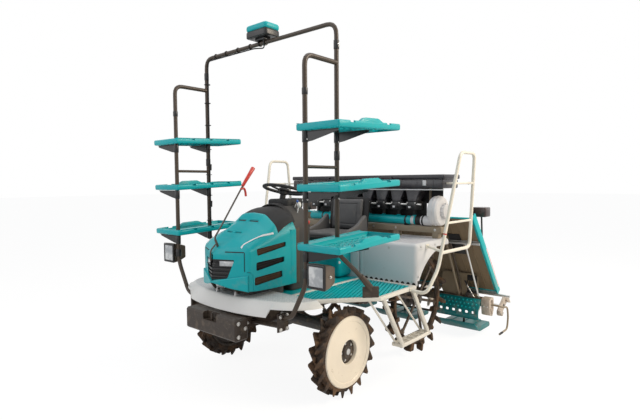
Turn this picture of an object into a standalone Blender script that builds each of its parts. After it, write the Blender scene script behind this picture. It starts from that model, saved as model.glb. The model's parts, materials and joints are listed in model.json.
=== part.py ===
"""Eight-row riding rice transplanter with side fertiliser hopper and spare seedling racks.

Metres. X runs forward from the rear axle, Y to the machine's left, Z up from the ground.
Every piece is modelled in that frame and hangs on one empty, which moves the whole machine
so that the middle of its footprint is at the world's origin.
"""
import bpy
import bmesh
import math
from mathutils import Matrix, Vector

# Running gear
WHEELBASE = 1.166
FRONT_TREAD = 1.312
REAR_TREAD = 1.198
FRONT_R = 0.325
REAR_R = 0.475
FRONT_TYRE_W = 0.112
REAR_PADDLE_W = 0.130
AXLE_R = 0.020
KINGPIN_Y = 0.520
KINGPIN_R = 0.024
FRONT_TUBE_R = 0.045
REAR_TUBE_R = 0.045

# Fits
SEAM = 0.0003
RUN = 0.001

# Frame
RAIL_Y = 0.170
RAIL_W = 0.060
RAIL_BOTTOM = REAR_R + REAR_TUBE_R + SEAM
RAIL_TOP = 0.600
FRONT_REACH = 1.860
RAIL_FRONT = FRONT_REACH - 0.115
RAIL_REAR = -0.160
BEAM_TOP = 0.685
BEAM_H = 0.025
BEAM_W = 0.050
BEAM_X = (0.520, 1.060)

# Decks
DECK_TOP = 0.715
DECK_T = DECK_TOP - BEAM_TOP - SEAM
DECK_HALF = 0.865
BEAM_REACH = DECK_HALF - 0.125
DECK_REAR = 0.472
FLOOR_HALF = 0.300
FLOOR_FRONT = 1.400
LIP_FRONT = 1.780
LIP_DROP = 0.100
LIP_OUT = 0.060
LIP_TOP = 0.745
SHEET = 0.012

# Bonnet
BONNET_REAR = 1.250
BONNET_HALF = 0.268
BONNET_BOTTOM = 0.785
BONNET_TOP = 1.335
BONNET_WALL = 0.008
NOSE_FRONT = 1.828
HINGE_X = 1.700
HINGE_Z = 0.766
HINGE_PIN_R = 0.006
GRILLE_LOW = 0.865
GRILLE_HIGH = 1.015

# Racks
POST_Y = DECK_HALF - 0.139
POST_R = 0.0165
FRONT_POST_X = 1.632
REAR_POST_X = 1.316
RACK_TOP = 2.351
ARCH_TOP = 2.620
SLEEVE_Z = ARCH_TOP - 0.180
TRAY_LENGTH = 0.680
TRAY_WIDTH = 0.352
TRAY_RIM = 0.045
TRAY_FRONT = 1.662
TRAY_INNER = POST_Y - 0.054
TRAY_TILT = math.radians(2.5)
TRAY_Z = {"low": 1.115, "mid": 1.492, "top": 1.874}

# Fertiliser unit
HOPPER_FRONT = 0.080
HOPPER_REAR = -0.220
HOPPER_HALF = 0.890
HOPPER_TOP = 1.600
HOPPER_BOTTOM = 1.490
LID_T = 0.030
FUNNEL_BOTTOM = 1.376
METER_H = 0.082
DUCT_R = 0.040
DUCT_Z = 1.200
DUCT_X = 0.010
FEED_BEAM_TOP = 1.152

# Lift linkage and planting unit
LINK_X = -0.190
LINK_LOW_Z = 0.440
LINK_RISE = 0.300
LINK_LENGTH = 0.500
LINK_DROOP = math.radians(22.0)
PIN_R = 0.012
HORN = 0.110
BARREL_X = 0.100
BARREL_Z = 0.660
TOOLBAR_X = -0.720
TOOLBAR_Z = 0.360
TOOLBAR_S = 0.080
TOOLBAR_HALF = 0.930
ROW_PITCH = 0.280
ROTOR_X = -1.100
ROTOR_Z = 0.250
ROTOR_R = 0.165
GEAR_CASE_W = 0.060
TABLE_TOP = (-0.300, 1.220)
TABLE_END = (-0.930, 0.420)
TABLE_HALF = 1.120
TABLE_SHIFT = -0.120
RAIL_TUBE_R = 0.014
FLOAT_BOTTOM = 0.050

REAR_REACH = ROTOR_X - ROTOR_R
RIGHT_REACH = TABLE_SHIFT - TABLE_HALF - 0.006
LEFT_REACH = 1.130
ORIGIN = Vector((-(FRONT_REACH + REAR_REACH) / 2, -(LEFT_REACH + RIGHT_REACH) / 2, 0))

SIDES = (("left", 1), ("right", -1))

for old in list(bpy.data.objects):
    bpy.data.objects.remove(old, do_unlink=True)
PARTS = bpy.data.collections.new("rice_transplanter")
TOOLS = bpy.data.collections.new("cutters")
bpy.context.scene.collection.children.link(PARTS)
bpy.context.scene.collection.children.link(TOOLS)
STAND = bpy.data.objects.new("machine_frame", None)
STAND.location = ORIGIN
PARTS.objects.link(STAND)


def material(name, colour, roughness, metallic=0.0):
    made = bpy.data.materials.new(name)
    made.use_nodes = True
    shader = made.node_tree.nodes["Principled BSDF"]
    shader.inputs["Base Color"].default_value = (*colour, 1.0)
    shader.inputs["Roughness"].default_value = roughness
    shader.inputs["Metallic"].default_value = metallic
    return made


TEAL = material("teal_plastic", (0.01, 0.42, 0.42), 0.40)
CREAM = material("cream_paint", (0.80, 0.76, 0.66), 0.45)
WHITE = material("pale_grey_plastic", (0.62, 0.66, 0.72), 0.45)
BROWN = material("brown_tube", (0.07, 0.045, 0.03), 0.50, 0.2)
BLACK = material("black_plastic", (0.02, 0.02, 0.02), 0.55)
RUBBER = material("rubber", (0.045, 0.025, 0.015), 0.80)
CASTING = material("aluminium_casting", (0.55, 0.52, 0.47), 0.45, 0.8)
STEEL = material("bright_steel", (0.60, 0.60, 0.60), 0.30, 1.0)
GREY = material("dark_grey", (0.10, 0.10, 0.11), 0.60)
BEIGE = material("beige_paint", (0.36, 0.28, 0.18), 0.55)
CLEAR = material("lamp_lens", (0.80, 0.85, 0.88), 0.10)


def tool(mesh, name="tool"):
    """A scratch solid, kept out of the machine until it is fused or cut away."""
    made = bpy.data.objects.new(name, mesh)
    made.hide_render = True
    made.display_type = "WIRE"
    TOOLS.objects.link(made)
    return made


def tidy(mesh):
    work = bmesh.new()
    work.from_mesh(mesh)
    bmesh.ops.remove_doubles(work, verts=work.verts, dist=0.00001)
    bmesh.ops.recalc_face_normals(work, faces=work.faces)
    work.to_mesh(mesh)
    work.free()
    return mesh


def evaluated(source):
    """The mesh of an object with its modifiers, or of a curve, in the machine's frame."""
    bpy.context.view_layer.update()
    graph = bpy.context.evaluated_depsgraph_get()
    mesh = bpy.data.meshes.new_from_object(source.evaluated_get(graph))
    mesh.transform(source.matrix_world)
    return tidy(mesh)


def settle(source):
    """Turns a curve or a modified object into a plain scratch solid."""
    mesh = evaluated(source)
    bpy.data.objects.remove(source, do_unlink=True)
    return tool(mesh)


def block(x, y, z, bevel=0.0):
    """A box between pairs of limits, with its edges rounded if asked."""
    work = bmesh.new()
    bmesh.ops.create_cube(work, size=1.0)
    size = Matrix.Diagonal((x[1] - x[0], y[1] - y[0], z[1] - z[0], 1.0))
    middle = Vector(((x[0] + x[1]) / 2, (y[0] + y[1]) / 2, (z[0] + z[1]) / 2))
    work.transform(Matrix.Translation(middle) @ size)
    if bevel:
        bmesh.ops.bevel(work, geom=work.edges[:], offset=bevel, segments=1, affect="EDGES")
    mesh = bpy.data.meshes.new("block")
    work.to_mesh(mesh)
    work.free()
    return tool(mesh)


def rod(start, end, radius, sides=12, end_radius=None):
    """A round bar or cone between two points."""
    start, end = Vector(start), Vector(end)
    along = end - start
    work = bmesh.new()
    far = radius if end_radius is None else end_radius
    bmesh.ops.create_cone(work, cap_ends=True, segments=sides, radius1=radius, radius2=far,
                          depth=along.length)
    turn = along.to_track_quat("Z", "Y").to_matrix().to_4x4()
    work.transform(Matrix.Translation((start + end) / 2) @ turn)
    mesh = bpy.data.meshes.new("rod")
    work.to_mesh(mesh)
    work.free()
    return tool(mesh)


def rounded(points, radius, steps=2):
    """A route with its inner corners turned into arcs."""
    points = [Vector(p) for p in points]
    route = [points[0]]
    for before, here, after in zip(points, points[1:], points[2:]):
        into, out = (before - here), (after - here)
        reach = min(radius, 0.45 * into.length, 0.45 * out.length)
        first, last = here + into.normalized() * reach, here + out.normalized() * reach
        for i in range(steps + 1):
            t = i / steps
            route.append(first * (1 - t) ** 2 + here * (2 * t * (1 - t)) + last * t ** 2)
    return route + [points[-1]]


def tube(points, radius, corner=0.0, sides=6, closed=False):
    """A bent round tube as a bevelled curve, made a solid."""
    curve = bpy.data.curves.new("tube", "CURVE")
    curve.dimensions = "3D"
    curve.bevel_depth = radius
    curve.bevel_resolution = max(0, sides // 2 - 2)
    curve.use_fill_caps = not closed
    route = rounded(points, corner) if corner else [Vector(p) for p in points]
    spline = curve.splines.new("POLY")
    spline.points.add(len(route) - 1)
    for point, place in zip(spline.points, route):
        point.co = (*place, 1.0)
    spline.use_cyclic_u = closed
    made = bpy.data.objects.new("tube", curve)
    TOOLS.objects.link(made)
    return settle(made)


PLANES = {
    "x": Matrix(((0, 0, 1, 0), (1, 0, 0, 0), (0, 1, 0, 0), (0, 0, 0, 1))),
    "y": Matrix(((1, 0, 0, 0), (0, 0, -1, 0), (0, 1, 0, 0), (0, 0, 0, 1))),
    "z": Matrix.Identity(4),
}


def plate(outline, along, low, high, holes=()):
    """A flat outline, drawn across the axis along, as thick as low to high on that axis.

    Across x the outline is (y, z), across y it is (x, z), and across z it is (x, y).
    """
    curve = bpy.data.curves.new("plate", "CURVE")
    curve.dimensions = "2D"
    curve.fill_mode = "BOTH"
    curve.extrude = (high - low) / 2
    for loop in (outline, *holes):
        spline = curve.splines.new("POLY")
        spline.points.add(len(loop) - 1)
        for point, place in zip(spline.points, loop):
            point.co = (place[0], place[1], 0.0, 1.0)
        spline.use_cyclic_u = True
    made = bpy.data.objects.new("plate", curve)
    middle = (low + high) / 2
    if along == "y":
        middle = -middle
    made.matrix_world = PLANES[along] @ Matrix.Translation((0, 0, middle))
    TOOLS.objects.link(made)
    return settle(made)


def circle(u, v, radius, sides=16, start=0.0, sweep=2 * math.pi):
    """Points on a circle, or on an arc with both its ends."""
    whole = abs(sweep) > 6.28
    last = sides if whole else sides + 1
    return [(u + radius * math.cos(start + sweep * i / sides),
             v + radius * math.sin(start + sweep * i / sides)) for i in range(last)]


def turned(profile, centre, steps=32):
    """A closed half section of (radius, offset) points turned about a lateral axle."""
    mesh = bpy.data.meshes.new("turned")
    work = bmesh.new()
    ring = [work.verts.new((r, 0.0, s)) for r, s in profile]
    for a, b in zip(ring, ring[1:] + ring[:1]):
        work.edges.new((a, b))
    work.to_mesh(mesh)
    work.free()
    made = bpy.data.objects.new("turned", mesh)
    TOOLS.objects.link(made)
    screw = made.modifiers.new("Screw", "SCREW")
    screw.steps = steps
    screw.render_steps = steps
    screw.use_merge_vertices = True
    screw.merge_threshold = 0.00001
    made.matrix_world = Matrix.Translation(centre) @ Matrix.Rotation(-math.pi / 2, 4, "X")
    return settle(made)


def loft(sections):
    """A closed skin through rings that have the same number of points."""
    work = bmesh.new()
    rings = [[work.verts.new(p) for p in ring] for ring in sections]
    for one, two in zip(rings, rings[1:]):
        for i in range(len(one)):
            j = (i + 1) % len(one)
            work.faces.new((one[i], one[j], two[j], two[i]))
    work.faces.new(rings[0])
    work.faces.new(rings[-1])
    mesh = bpy.data.meshes.new("loft")
    bmesh.ops.recalc_face_normals(work, faces=work.faces)
    work.to_mesh(mesh)
    work.free()
    return tool(mesh)


def moved(piece, matrix):
    piece.data.transform(matrix)
    if matrix.determinant() < 0:
        piece.data.flip_normals()
    return piece


def mirrored(piece):
    """The same solid on the other side of the machine."""
    return moved(tool(piece.data.copy()), Matrix.Diagonal((1, -1, 1, 1)))


def pair(make):
    """Both sides of a piece that is drawn on the left."""
    first = make()
    return [first, mirrored(first)]


def combine(base, others, operation):
    """One exact Boolean of a solid with several others."""
    if not others:
        return base
    group = bpy.data.collections.new("operands")
    bpy.context.scene.collection.children.link(group)
    for other in others:
        TOOLS.objects.unlink(other)
        group.objects.link(other)
    joint = base.modifiers.new("Boolean", "BOOLEAN")
    joint.operation = operation
    joint.solver = "EXACT"
    joint.operand_type = "COLLECTION"
    joint.collection = group
    mesh = evaluated(base)
    base.modifiers.clear()
    base.data = mesh
    base.matrix_world = Matrix.Identity(4)
    for other in list(group.objects):
        bpy.data.objects.remove(other, do_unlink=True)
    bpy.data.collections.remove(group)
    return base


def fuse(pieces, cuts=()):
    pieces = list(pieces)
    joined = combine(pieces[0], pieces[1:], "UNION")
    return combine(joined, list(cuts), "DIFFERENCE")


def merged_flats(mesh):
    """Joins the faces that lie in one plane, which Booleans leave in pieces."""
    work = bmesh.new()
    work.from_mesh(mesh)
    bmesh.ops.dissolve_limit(work, angle_limit=0.002, verts=work.verts, edges=work.edges)
    bmesh.ops.triangulate(work, faces=[f for f in work.faces if len(f.verts) > 4])
    work.to_mesh(mesh)
    work.free()
    return mesh


def part(name, look, solid, pivot=(0.0, 0.0, 0.0), smooth=35.0):
    """Files a finished solid as a named piece, its origin on its joint's axis."""
    mesh = merged_flats(solid.data)
    mesh.transform(Matrix.Translation(-Vector(pivot)))
    mesh.name = name
    mesh.materials.clear()
    mesh.materials.append(look)
    mesh.shade_smooth()
    mesh.set_sharp_from_angle(angle=math.radians(smooth))
    bpy.data.objects.remove(solid, do_unlink=True)
    made = bpy.data.objects.new(name, mesh)
    made.location = pivot
    made.parent = STAND
    PARTS.objects.link(made)
    return made


def about(point, angle, axis="Y"):
    """A turn about a line through a point."""
    there = Matrix.Translation(point)
    return there @ Matrix.Rotation(angle, 4, axis) @ there.inverted()


# Chassis frame: two box rails, cross members, deck beams, hitch plates and the rack arms
RACK_ARM_X = 1.625
RACK_ARM_Y = 0.500
RACK_ARM_Z = 0.560
PLATE_T = 0.010


def chassis_frame():
    rails = pair(lambda: block((RAIL_REAR, RAIL_FRONT), (RAIL_Y - RAIL_W / 2, RAIL_Y + RAIL_W / 2),
                               (RAIL_BOTTOM, RAIL_TOP)))
    cross = [block((x - 0.03, x + 0.03), (-RAIL_Y, RAIL_Y), (RAIL_BOTTOM + 0.004, RAIL_TOP - 0.004))
             for x in (BARREL_X, 0.62, 1.20, RACK_ARM_X)]
    beams = [block((x - BEAM_W / 2, x + BEAM_W / 2), (-BEAM_REACH, BEAM_REACH),
                   (BEAM_TOP - BEAM_H, BEAM_TOP)) for x in BEAM_X]
    posts = [block((x - 0.018, x + 0.018), (s * RAIL_Y - 0.018, s * RAIL_Y + 0.018),
                   (RAIL_TOP - 0.01, BEAM_TOP - 0.01)) for x in BEAM_X for _, s in SIDES]
    hitch_y = RAIL_Y - RAIL_W / 2
    hitch = pair(lambda: plate([(RAIL_REAR + 0.06, 0.40), (RAIL_REAR + 0.06, 0.72),
                                (LINK_X + 0.03, 0.78), (LINK_X - 0.03, 0.78),
                                (LINK_X - 0.03, LINK_LOW_Z - 0.04), (LINK_X + 0.03, 0.40)],
                               "y", hitch_y - PLATE_T, hitch_y + 0.012))
    tie = block((RAIL_REAR - 0.01, RAIL_REAR + 0.03), (-hitch_y, hitch_y), (0.56, 0.62))
    low_pin = rod((LINK_X, -RAIL_Y - 0.075, LINK_LOW_Z), (LINK_X, RAIL_Y + 0.075, LINK_LOW_Z), PIN_R)
    top_z = LINK_LOW_Z + LINK_RISE
    top_pin = rod((LINK_X, -hitch_y, top_z), (LINK_X, hitch_y, top_z), PIN_R)
    ears = pair(lambda: plate([(BARREL_X - 0.03, RAIL_TOP - 0.03), (BARREL_X + 0.03, RAIL_TOP - 0.03),
                               (BARREL_X + 0.022, BARREL_Z + 0.02), (BARREL_X - 0.022, BARREL_Z + 0.02)],
                              "y", 0.026, 0.036))
    eye_pin = rod((BARREL_X, -0.030, BARREL_Z), (BARREL_X, 0.030, BARREL_Z), PIN_R)
    arms = pair(lambda: rod((RACK_ARM_X, RAIL_Y, RACK_ARM_Z), (RACK_ARM_X, RACK_ARM_Y - 0.004, RACK_ARM_Z + 0.020), 0.019, 10))
    pads = pair(lambda: block((RACK_ARM_X - 0.045, RACK_ARM_X + 0.045), (RACK_ARM_Y - PLATE_T, RACK_ARM_Y),
                              (0.545, 0.668)))
    seat_legs = [block((x - 0.02, x + 0.02), (s * RAIL_Y - 0.02, s * RAIL_Y + 0.02),
                       (RAIL_TOP - 0.01, BEAM_TOP - 0.005)) for x in (0.30, 0.80) for _, s in SIDES]
    seat_bars = [block((x - 0.02, x + 0.02), (-RAIL_Y - 0.05, RAIL_Y + 0.05),
                       (BEAM_TOP - BEAM_H, BEAM_TOP - 0.0001)) for x in (0.30, 0.80)]
    return part("chassis_frame", BROWN,
                fuse([*rails, *cross, *beams, *posts, *hitch, tie, low_pin, top_pin, *ears, eye_pin,
                      *arms, *pads, *seat_legs, *seat_bars]))


# Front axle: a cross tube under the rails with a vertical kingpin sleeve at each end
FRONT_TUBE_Z = RAIL_BOTTOM - SEAM - FRONT_TUBE_R
SLEEVE_R = 0.050
SLEEVE_LOW = FRONT_TUBE_Z - FRONT_TUBE_R - 0.005
SLEEVE_HIGH = 0.560


def front_axle():
    tube_body = rod((WHEELBASE, -KINGPIN_Y, FRONT_TUBE_Z), (WHEELBASE, KINGPIN_Y, FRONT_TUBE_Z),
                    FRONT_TUBE_R, 14)
    box = block((WHEELBASE - 0.07, WHEELBASE + 0.07), (-0.10, 0.10),
                (FRONT_TUBE_Z - 0.075, FRONT_TUBE_Z + 0.040), 0.015)
    sleeves = pair(lambda: rod((WHEELBASE, KINGPIN_Y, SLEEVE_LOW), (WHEELBASE, KINGPIN_Y, SLEEVE_HIGH),
                               SLEEVE_R, 14))
    bores = pair(lambda: rod((WHEELBASE, KINGPIN_Y, SLEEVE_LOW - 0.02),
                             (WHEELBASE, KINGPIN_Y, SLEEVE_HIGH - 0.015), KINGPIN_R + RUN, 14))
    return part("front_axle", GREY, fuse([tube_body, box, *sleeves], bores))


def knuckle(side, s):
    """Kingpin, drop case and stub axle of one steered wheel."""
    pin_top = SLEEVE_HIGH - 0.018
    case_top = SLEEVE_LOW - RUN
    tread = FRONT_TREAD / 2
    inner = tread - 0.058
    pin = rod((WHEELBASE, s * KINGPIN_Y, case_top - 0.02), (WHEELBASE, s * KINGPIN_Y, pin_top), KINGPIN_R, 14)
    case = rod((WHEELBASE, s * KINGPIN_Y, FRONT_R - 0.055), (WHEELBASE, s * KINGPIN_Y, case_top), 0.048, 14)
    stub = rod((WHEELBASE, s * KINGPIN_Y, FRONT_R), (WHEELBASE, s * inner, FRONT_R), 0.044, 14)
    axle = rod((WHEELBASE, s * inner - s * 0.01, FRONT_R), (WHEELBASE, s * (tread + 0.034), FRONT_R), AXLE_R, 14)
    return part("knuckle_" + side, GREY, fuse([pin, case, stub, axle]), (WHEELBASE, s * KINGPIN_Y, FRONT_R))


# Front wheels: lugged tyre on a rim with a flat cover disc and an open centre
FRONT_RIM_R = 0.247
FRONT_CARCASS_R = 0.284
COVER_HOLE_R = 0.087
FRONT_LUGS = 18
LUG_SWEEP = math.radians(13.0)
# half section of the wheel as (radius, offset outwards from the tyre's middle)
FRONT_SECTION = (
    (AXLE_R + RUN, -0.034), (0.222, -0.034), (0.228, -0.048), (FRONT_CARCASS_R, -0.044),
    (FRONT_CARCASS_R, 0.0), (FRONT_CARCASS_R, 0.044), (0.262, 0.054), (COVER_HOLE_R, 0.054),
    (COVER_HOLE_R, 0.028), (0.042, 0.028), (0.042, 0.044), (AXLE_R + RUN, 0.044),
)
TREAD_MIDDLE = 4


def front_wheel(side, s):
    """Rings of the half section, skewed outside the tread's middle, with a lug on every other cell."""
    centre = Vector((WHEELBASE, s * FRONT_TREAD / 2, FRONT_R))
    cells = 2 * FRONT_LUGS
    section = [(r, s * y) for r, y in FRONT_SECTION]

    start = -math.pi / 2 - 2 * math.pi * 0.34 / cells - 0.04 * LUG_SWEEP

    def place(r, y, angle):
        return centre + Vector((r * math.cos(start + angle), y, r * math.sin(start + angle)))

    def skew(i):
        return 0.0 if i == TREAD_MIDDLE else LUG_SWEEP

    work = bmesh.new()
    rings = [[work.verts.new(place(r, y, 2 * math.pi * k / cells + skew(i))) for k in range(cells)]
             for i, (r, y) in enumerate(section)]
    for i in range(len(section)):
        j = (i + 1) % len(section)
        for k in range(cells):
            n = (k + 1) % cells
            corners = (rings[i][k], rings[j][k], rings[j][n], rings[i][n])
            on_tread = i in (TREAD_MIDDLE - 1, TREAD_MIDDLE)
            if not on_tread or (k + i - TREAD_MIDDLE) % 2:
                work.faces.new(corners)
                continue
            edge = i if i != TREAD_MIDDLE else j
            half = section[edge][1]
            tip = math.copysign(FRONT_TYRE_W / 2, half)
            grown = []
            for r, low, high, outer in ((FRONT_CARCASS_R, 0.22, 0.78, half * 0.97), (FRONT_R, 0.34, 0.66, tip)):
                spots = []
                for share, u in ((0.04, low), (1.0, low), (1.0, high), (0.04, high)):
                    angle = 2 * math.pi * (k + u) / cells + LUG_SWEEP * share
                    flat = r if r == FRONT_R else r * math.cos(math.pi / cells) / math.cos(
                        2 * math.pi * (u - 0.5) / cells)
                    spots.append(work.verts.new(place(flat, outer * share, angle)))
                if i != TREAD_MIDDLE:
                    spots = [spots[1], spots[0], spots[3], spots[2]]
                grown.append(spots)
            base, crown = grown
            for a in range(4):
                b = (a + 1) % 4
                work.faces.new((corners[a], corners[b], base[b], base[a]))
                work.faces.new((base[a], base[b], crown[b], crown[a]))
            work.faces.new(crown)
    bmesh.ops.recalc_face_normals(work, faces=work.faces)
    mesh = bpy.data.meshes.new("wheel")
    work.to_mesh(mesh)
    work.free()
    return part("front_wheel_" + side, RUBBER, tool(mesh), centre)


# Rear axle and paddle wheels
REAR_RING_IN = 0.372
REAR_RING_OUT = 0.412
REAR_RING_W = 0.046
REAR_HUB_R = 0.062
REAR_PADDLES = 14
REAR_SPOKES = 6


def rear_axle():
    flange_y = REAR_TREAD / 2 - 0.075
    body = rod((0, -flange_y, REAR_R), (0, flange_y, REAR_R), REAR_TUBE_R, 14)
    box = block((-0.10, 0.13), (-0.125, 0.125), (REAR_R - 0.11, REAR_R + REAR_TUBE_R - 0.002), 0.02)
    flanges = pair(lambda: rod((0, flange_y - 0.03, REAR_R), (0, flange_y, REAR_R), 0.085, 16))
    stubs = pair(lambda: rod((0, flange_y - 0.01, REAR_R), (0, REAR_TREAD / 2 + 0.04, REAR_R), AXLE_R, 14))
    return part("rear_axle", GREY, fuse([body, box, *flanges, *stubs]))


def rear_wheel(side, s):
    """A narrow rubbered ring on tube spokes, with wide paddles in turn left and right."""
    centre = Vector((0.0, s * REAR_TREAD / 2, REAR_R))
    half = REAR_RING_W / 2
    ring = turned([(REAR_RING_IN, -half * 0.7), (REAR_RING_IN, half * 0.7), (REAR_RING_OUT, half),
                   (REAR_RING_OUT, -half)], centre, 2 * REAR_PADDLES)
    hub = turned([(AXLE_R + RUN, -0.045), (REAR_HUB_R, -0.045), (REAR_HUB_R, 0.030), (AXLE_R + RUN, 0.030)],
                 centre, 14)
    spokes = []
    for i in range(REAR_SPOKES):
        a = 2 * math.pi * (i + 0.25) / REAR_SPOKES
        way = Vector((math.cos(a), 0, math.sin(a)))
        spokes.append(rod(centre + way * (REAR_HUB_R - 0.02), centre + way * (REAR_RING_IN + 0.012), 0.013, 6))
    paddles = []
    start = -math.pi / 2 - 1.4 * 0.055 + 0.008 / REAR_R
    for i in range(REAR_PADDLES):
        for edge in (1, -1):
            shift = 0.0 if edge > 0 else 0.5
            mid = start + 2 * math.pi * (i + shift) / REAR_PADDLES
            rings = []
            for y, root, tip, lean in ((-0.010, REAR_RING_OUT - 0.028, REAR_R, 0.0),
                                       (REAR_PADDLE_W / 2, REAR_RING_OUT - 0.004, REAR_R, 0.055)):
                thick, thin = 0.015 / root, 0.008 / tip
                rings.append([centre + Vector((r * math.cos(a), edge * y, r * math.sin(a)))
                              for r, a in ((root, mid + lean - thick), (tip, mid + lean * 1.4 - thin),
                                           (tip, mid + lean * 1.4 + thin), (root, mid + lean + thick))])
            paddles.append(loft(rings))
    return part("rear_wheel_" + side, RUBBER, fuse([ring, hub, *spokes, *paddles]), centre)


# Engine and front ballast
ENGINE_FRONT = 1.600


def engine_block():
    low = block((1.275, ENGINE_FRONT), (-0.165, 0.165), (RAIL_TOP + SEAM, 0.860), 0.012)
    head = block((1.290, ENGINE_FRONT - 0.04), (-0.110, 0.110), (0.840, 1.010), 0.012)
    return part("engine_block", GREY, fuse([low, head]))


def front_bumper():
    back = RAIL_FRONT + SEAM
    body = block((back, FRONT_REACH), (-0.290, 0.290), (0.478, 0.632), 0.012)
    notch = block((FRONT_REACH - 0.045, FRONT_REACH + 0.02), (-0.075, 0.075), (0.578, 0.66))
    return part("front_bumper", BROWN, fuse([body], [notch]))


# White front deck: a flanged crescent that wraps the bonnet's foot
def crescent(front, half, z, tail):
    """Half-round front edge, closed by a straight tail."""
    depth = front - tail
    arc = [(tail + depth * math.cos(a) ** 0.8, half * math.sin(a) if a < 1.5 else half)
           for a in (math.radians(d) for d in (0, 15, 30, 45, 60, 75, 86))]
    right = [(x, -y) for x, y in arc[1:]]
    return [Vector((x, y, z)) for x, y in list(reversed(right)) + arc]


LIP_HALF = 0.650
LIP_GATE = 0.700
LIP_TAIL = FLOOR_FRONT + SEAM


def front_deck():
    low = LIP_TOP - LIP_DROP
    outer = loft([crescent(LIP_FRONT, LIP_HALF + LIP_OUT, low, LIP_TAIL),
                  crescent(LIP_FRONT - LIP_OUT, LIP_HALF, LIP_TOP, LIP_TAIL)])
    inner = loft([crescent(LIP_FRONT - SHEET * 1.4, LIP_HALF + LIP_OUT - SHEET, low - 0.010, LIP_TAIL - 0.02),
                  crescent(LIP_FRONT - LIP_OUT - SHEET * 0.6, LIP_HALF - SHEET, LIP_TOP - SHEET, LIP_TAIL - 0.02)])
    well = block((LIP_TAIL - 0.02, ENGINE_FRONT + 0.03), (-RAIL_Y - 0.01, RAIL_Y + 0.01), (low - 0.02, LIP_TOP + 0.02))
    legs = pair(lambda: block((RACK_ARM_X - 0.01, RACK_ARM_X + 0.05), (RAIL_Y - 0.012, RAIL_Y + 0.028),
                              (RAIL_TOP + SEAM, LIP_TOP - 0.004)))
    ears = pair(lambda: plate([(HINGE_X - 0.018, LIP_TOP - 0.006), (HINGE_X + 0.014, LIP_TOP - 0.006),
                               *circle(HINGE_X, HINGE_Z, 0.014, 6, 0.0, math.pi)], "y", 0.100, 0.112))
    bores = [rod((HINGE_X, -0.2, HINGE_Z), (HINGE_X, 0.2, HINGE_Z), HINGE_PIN_R + RUN, 10)]
    gate = pair(lambda: block((LIP_TAIL + 0.02, LIP_FRONT), (RACK_ARM_Y - 0.045, LIP_HALF + LIP_OUT + 0.02),
                              (low - 0.02, LIP_GATE)))
    shell = fuse([outer], [inner, well, *gate])
    return part("front_deck", CREAM, fuse([shell, *legs, *ears], bores))


def floor_deck():
    pan = block((DECK_REAR, FLOOR_FRONT), (-FLOOR_HALF, FLOOR_HALF), (BEAM_TOP + SEAM, DECK_TOP))
    well = block((1.262, FLOOR_FRONT + 0.02), (-RAIL_Y - 0.01, RAIL_Y + 0.01), (0.6, DECK_TOP + 0.02))
    return part("floor_deck", TEAL, fuse([pan], [well]))


# Side decks with the step ladders that hang from their outer edge
# plan of the left deck as (x, y)
SIDE_PLAN = (
    (DECK_REAR, FLOOR_HALF + SEAM), (FLOOR_FRONT, FLOOR_HALF + SEAM), (FLOOR_FRONT - 0.01, DECK_HALF - 0.345),
    (1.105, DECK_HALF - 0.105), (0.985, DECK_HALF), (DECK_REAR, DECK_HALF),
)
STEP_TREAD_Z = 0.330
STEP_FRONT_TOP = (0.940, DECK_HALF - 0.020)
STEP_REAR_TOP = (0.520, DECK_HALF - 0.020)
STEP_FRONT_LOW = (0.790, DECK_HALF + 0.060)
STEP_REAR_LOW = (0.395, DECK_HALF + 0.060)
STEP_BRACE_Y = DECK_HALF - 0.075


def side_deck(side, s):
    """Deck tray with an upturned rim, and under it the ladder: two legs, a tread and two braces."""
    slab = plate(SIDE_PLAN, "z", BEAM_TOP + SEAM, DECK_TOP)
    middle = Vector((0.86, (FLOOR_HALF + DECK_HALF) / 2))
    inset = [tuple(Vector(p) + (middle - Vector(p)).normalized() * 0.040) for p in SIDE_PLAN]
    tray = plate(inset, "z", DECK_TOP - 0.008, DECK_TOP + 0.02)
    hang = DECK_TOP - 0.012
    ladder = []
    for top, low in ((STEP_FRONT_TOP, STEP_FRONT_LOW), (STEP_REAR_TOP, STEP_REAR_LOW)):
        ladder.append(loft([[Vector((top[0] + dx, top[1] + dy, hang)) for dx, dy in
                             ((-0.022, -0.008), (0.022, -0.008), (0.022, 0.010), (-0.022, 0.010))],
                            [Vector((low[0] + dx, low[1] + dy, STEP_TREAD_Z - 0.012)) for dx, dy in
                             ((-0.016, -0.008), (0.016, -0.008), (0.016, 0.010), (-0.016, 0.010))]]))
    ladder.append(block((STEP_REAR_LOW[0], STEP_FRONT_LOW[0]),
                        (STEP_REAR_LOW[1] - 0.075, STEP_REAR_LOW[1] + 0.014),
                        (STEP_TREAD_Z - 0.022, STEP_TREAD_Z + 0.006), 0.004))
    for top, low in (((1.045, STEP_BRACE_Y), STEP_FRONT_LOW), ((0.680, STEP_BRACE_Y), STEP_REAR_LOW)):
        ladder.append(tube([(top[0], top[1], hang), (low[0], low[1] - 0.055, STEP_TREAD_Z)], 0.008, sides=8))
    solid = fuse([fuse([slab], [tray]), *ladder])
    if s < 0:
        moved(solid, Matrix.Diagonal((1, -1, 1, 1)))
    return part("side_deck_" + side, TEAL, solid)


# Rear fender covers, seat base and seat
FENDER_FRONT = DECK_REAR
FENDER_WALL = 0.022
FENDER_TOP = 1.050
FENDER_REAR = -0.120
FENDER_HALF = DECK_HALF - 0.003
WHEEL_GAP = 0.030


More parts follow.
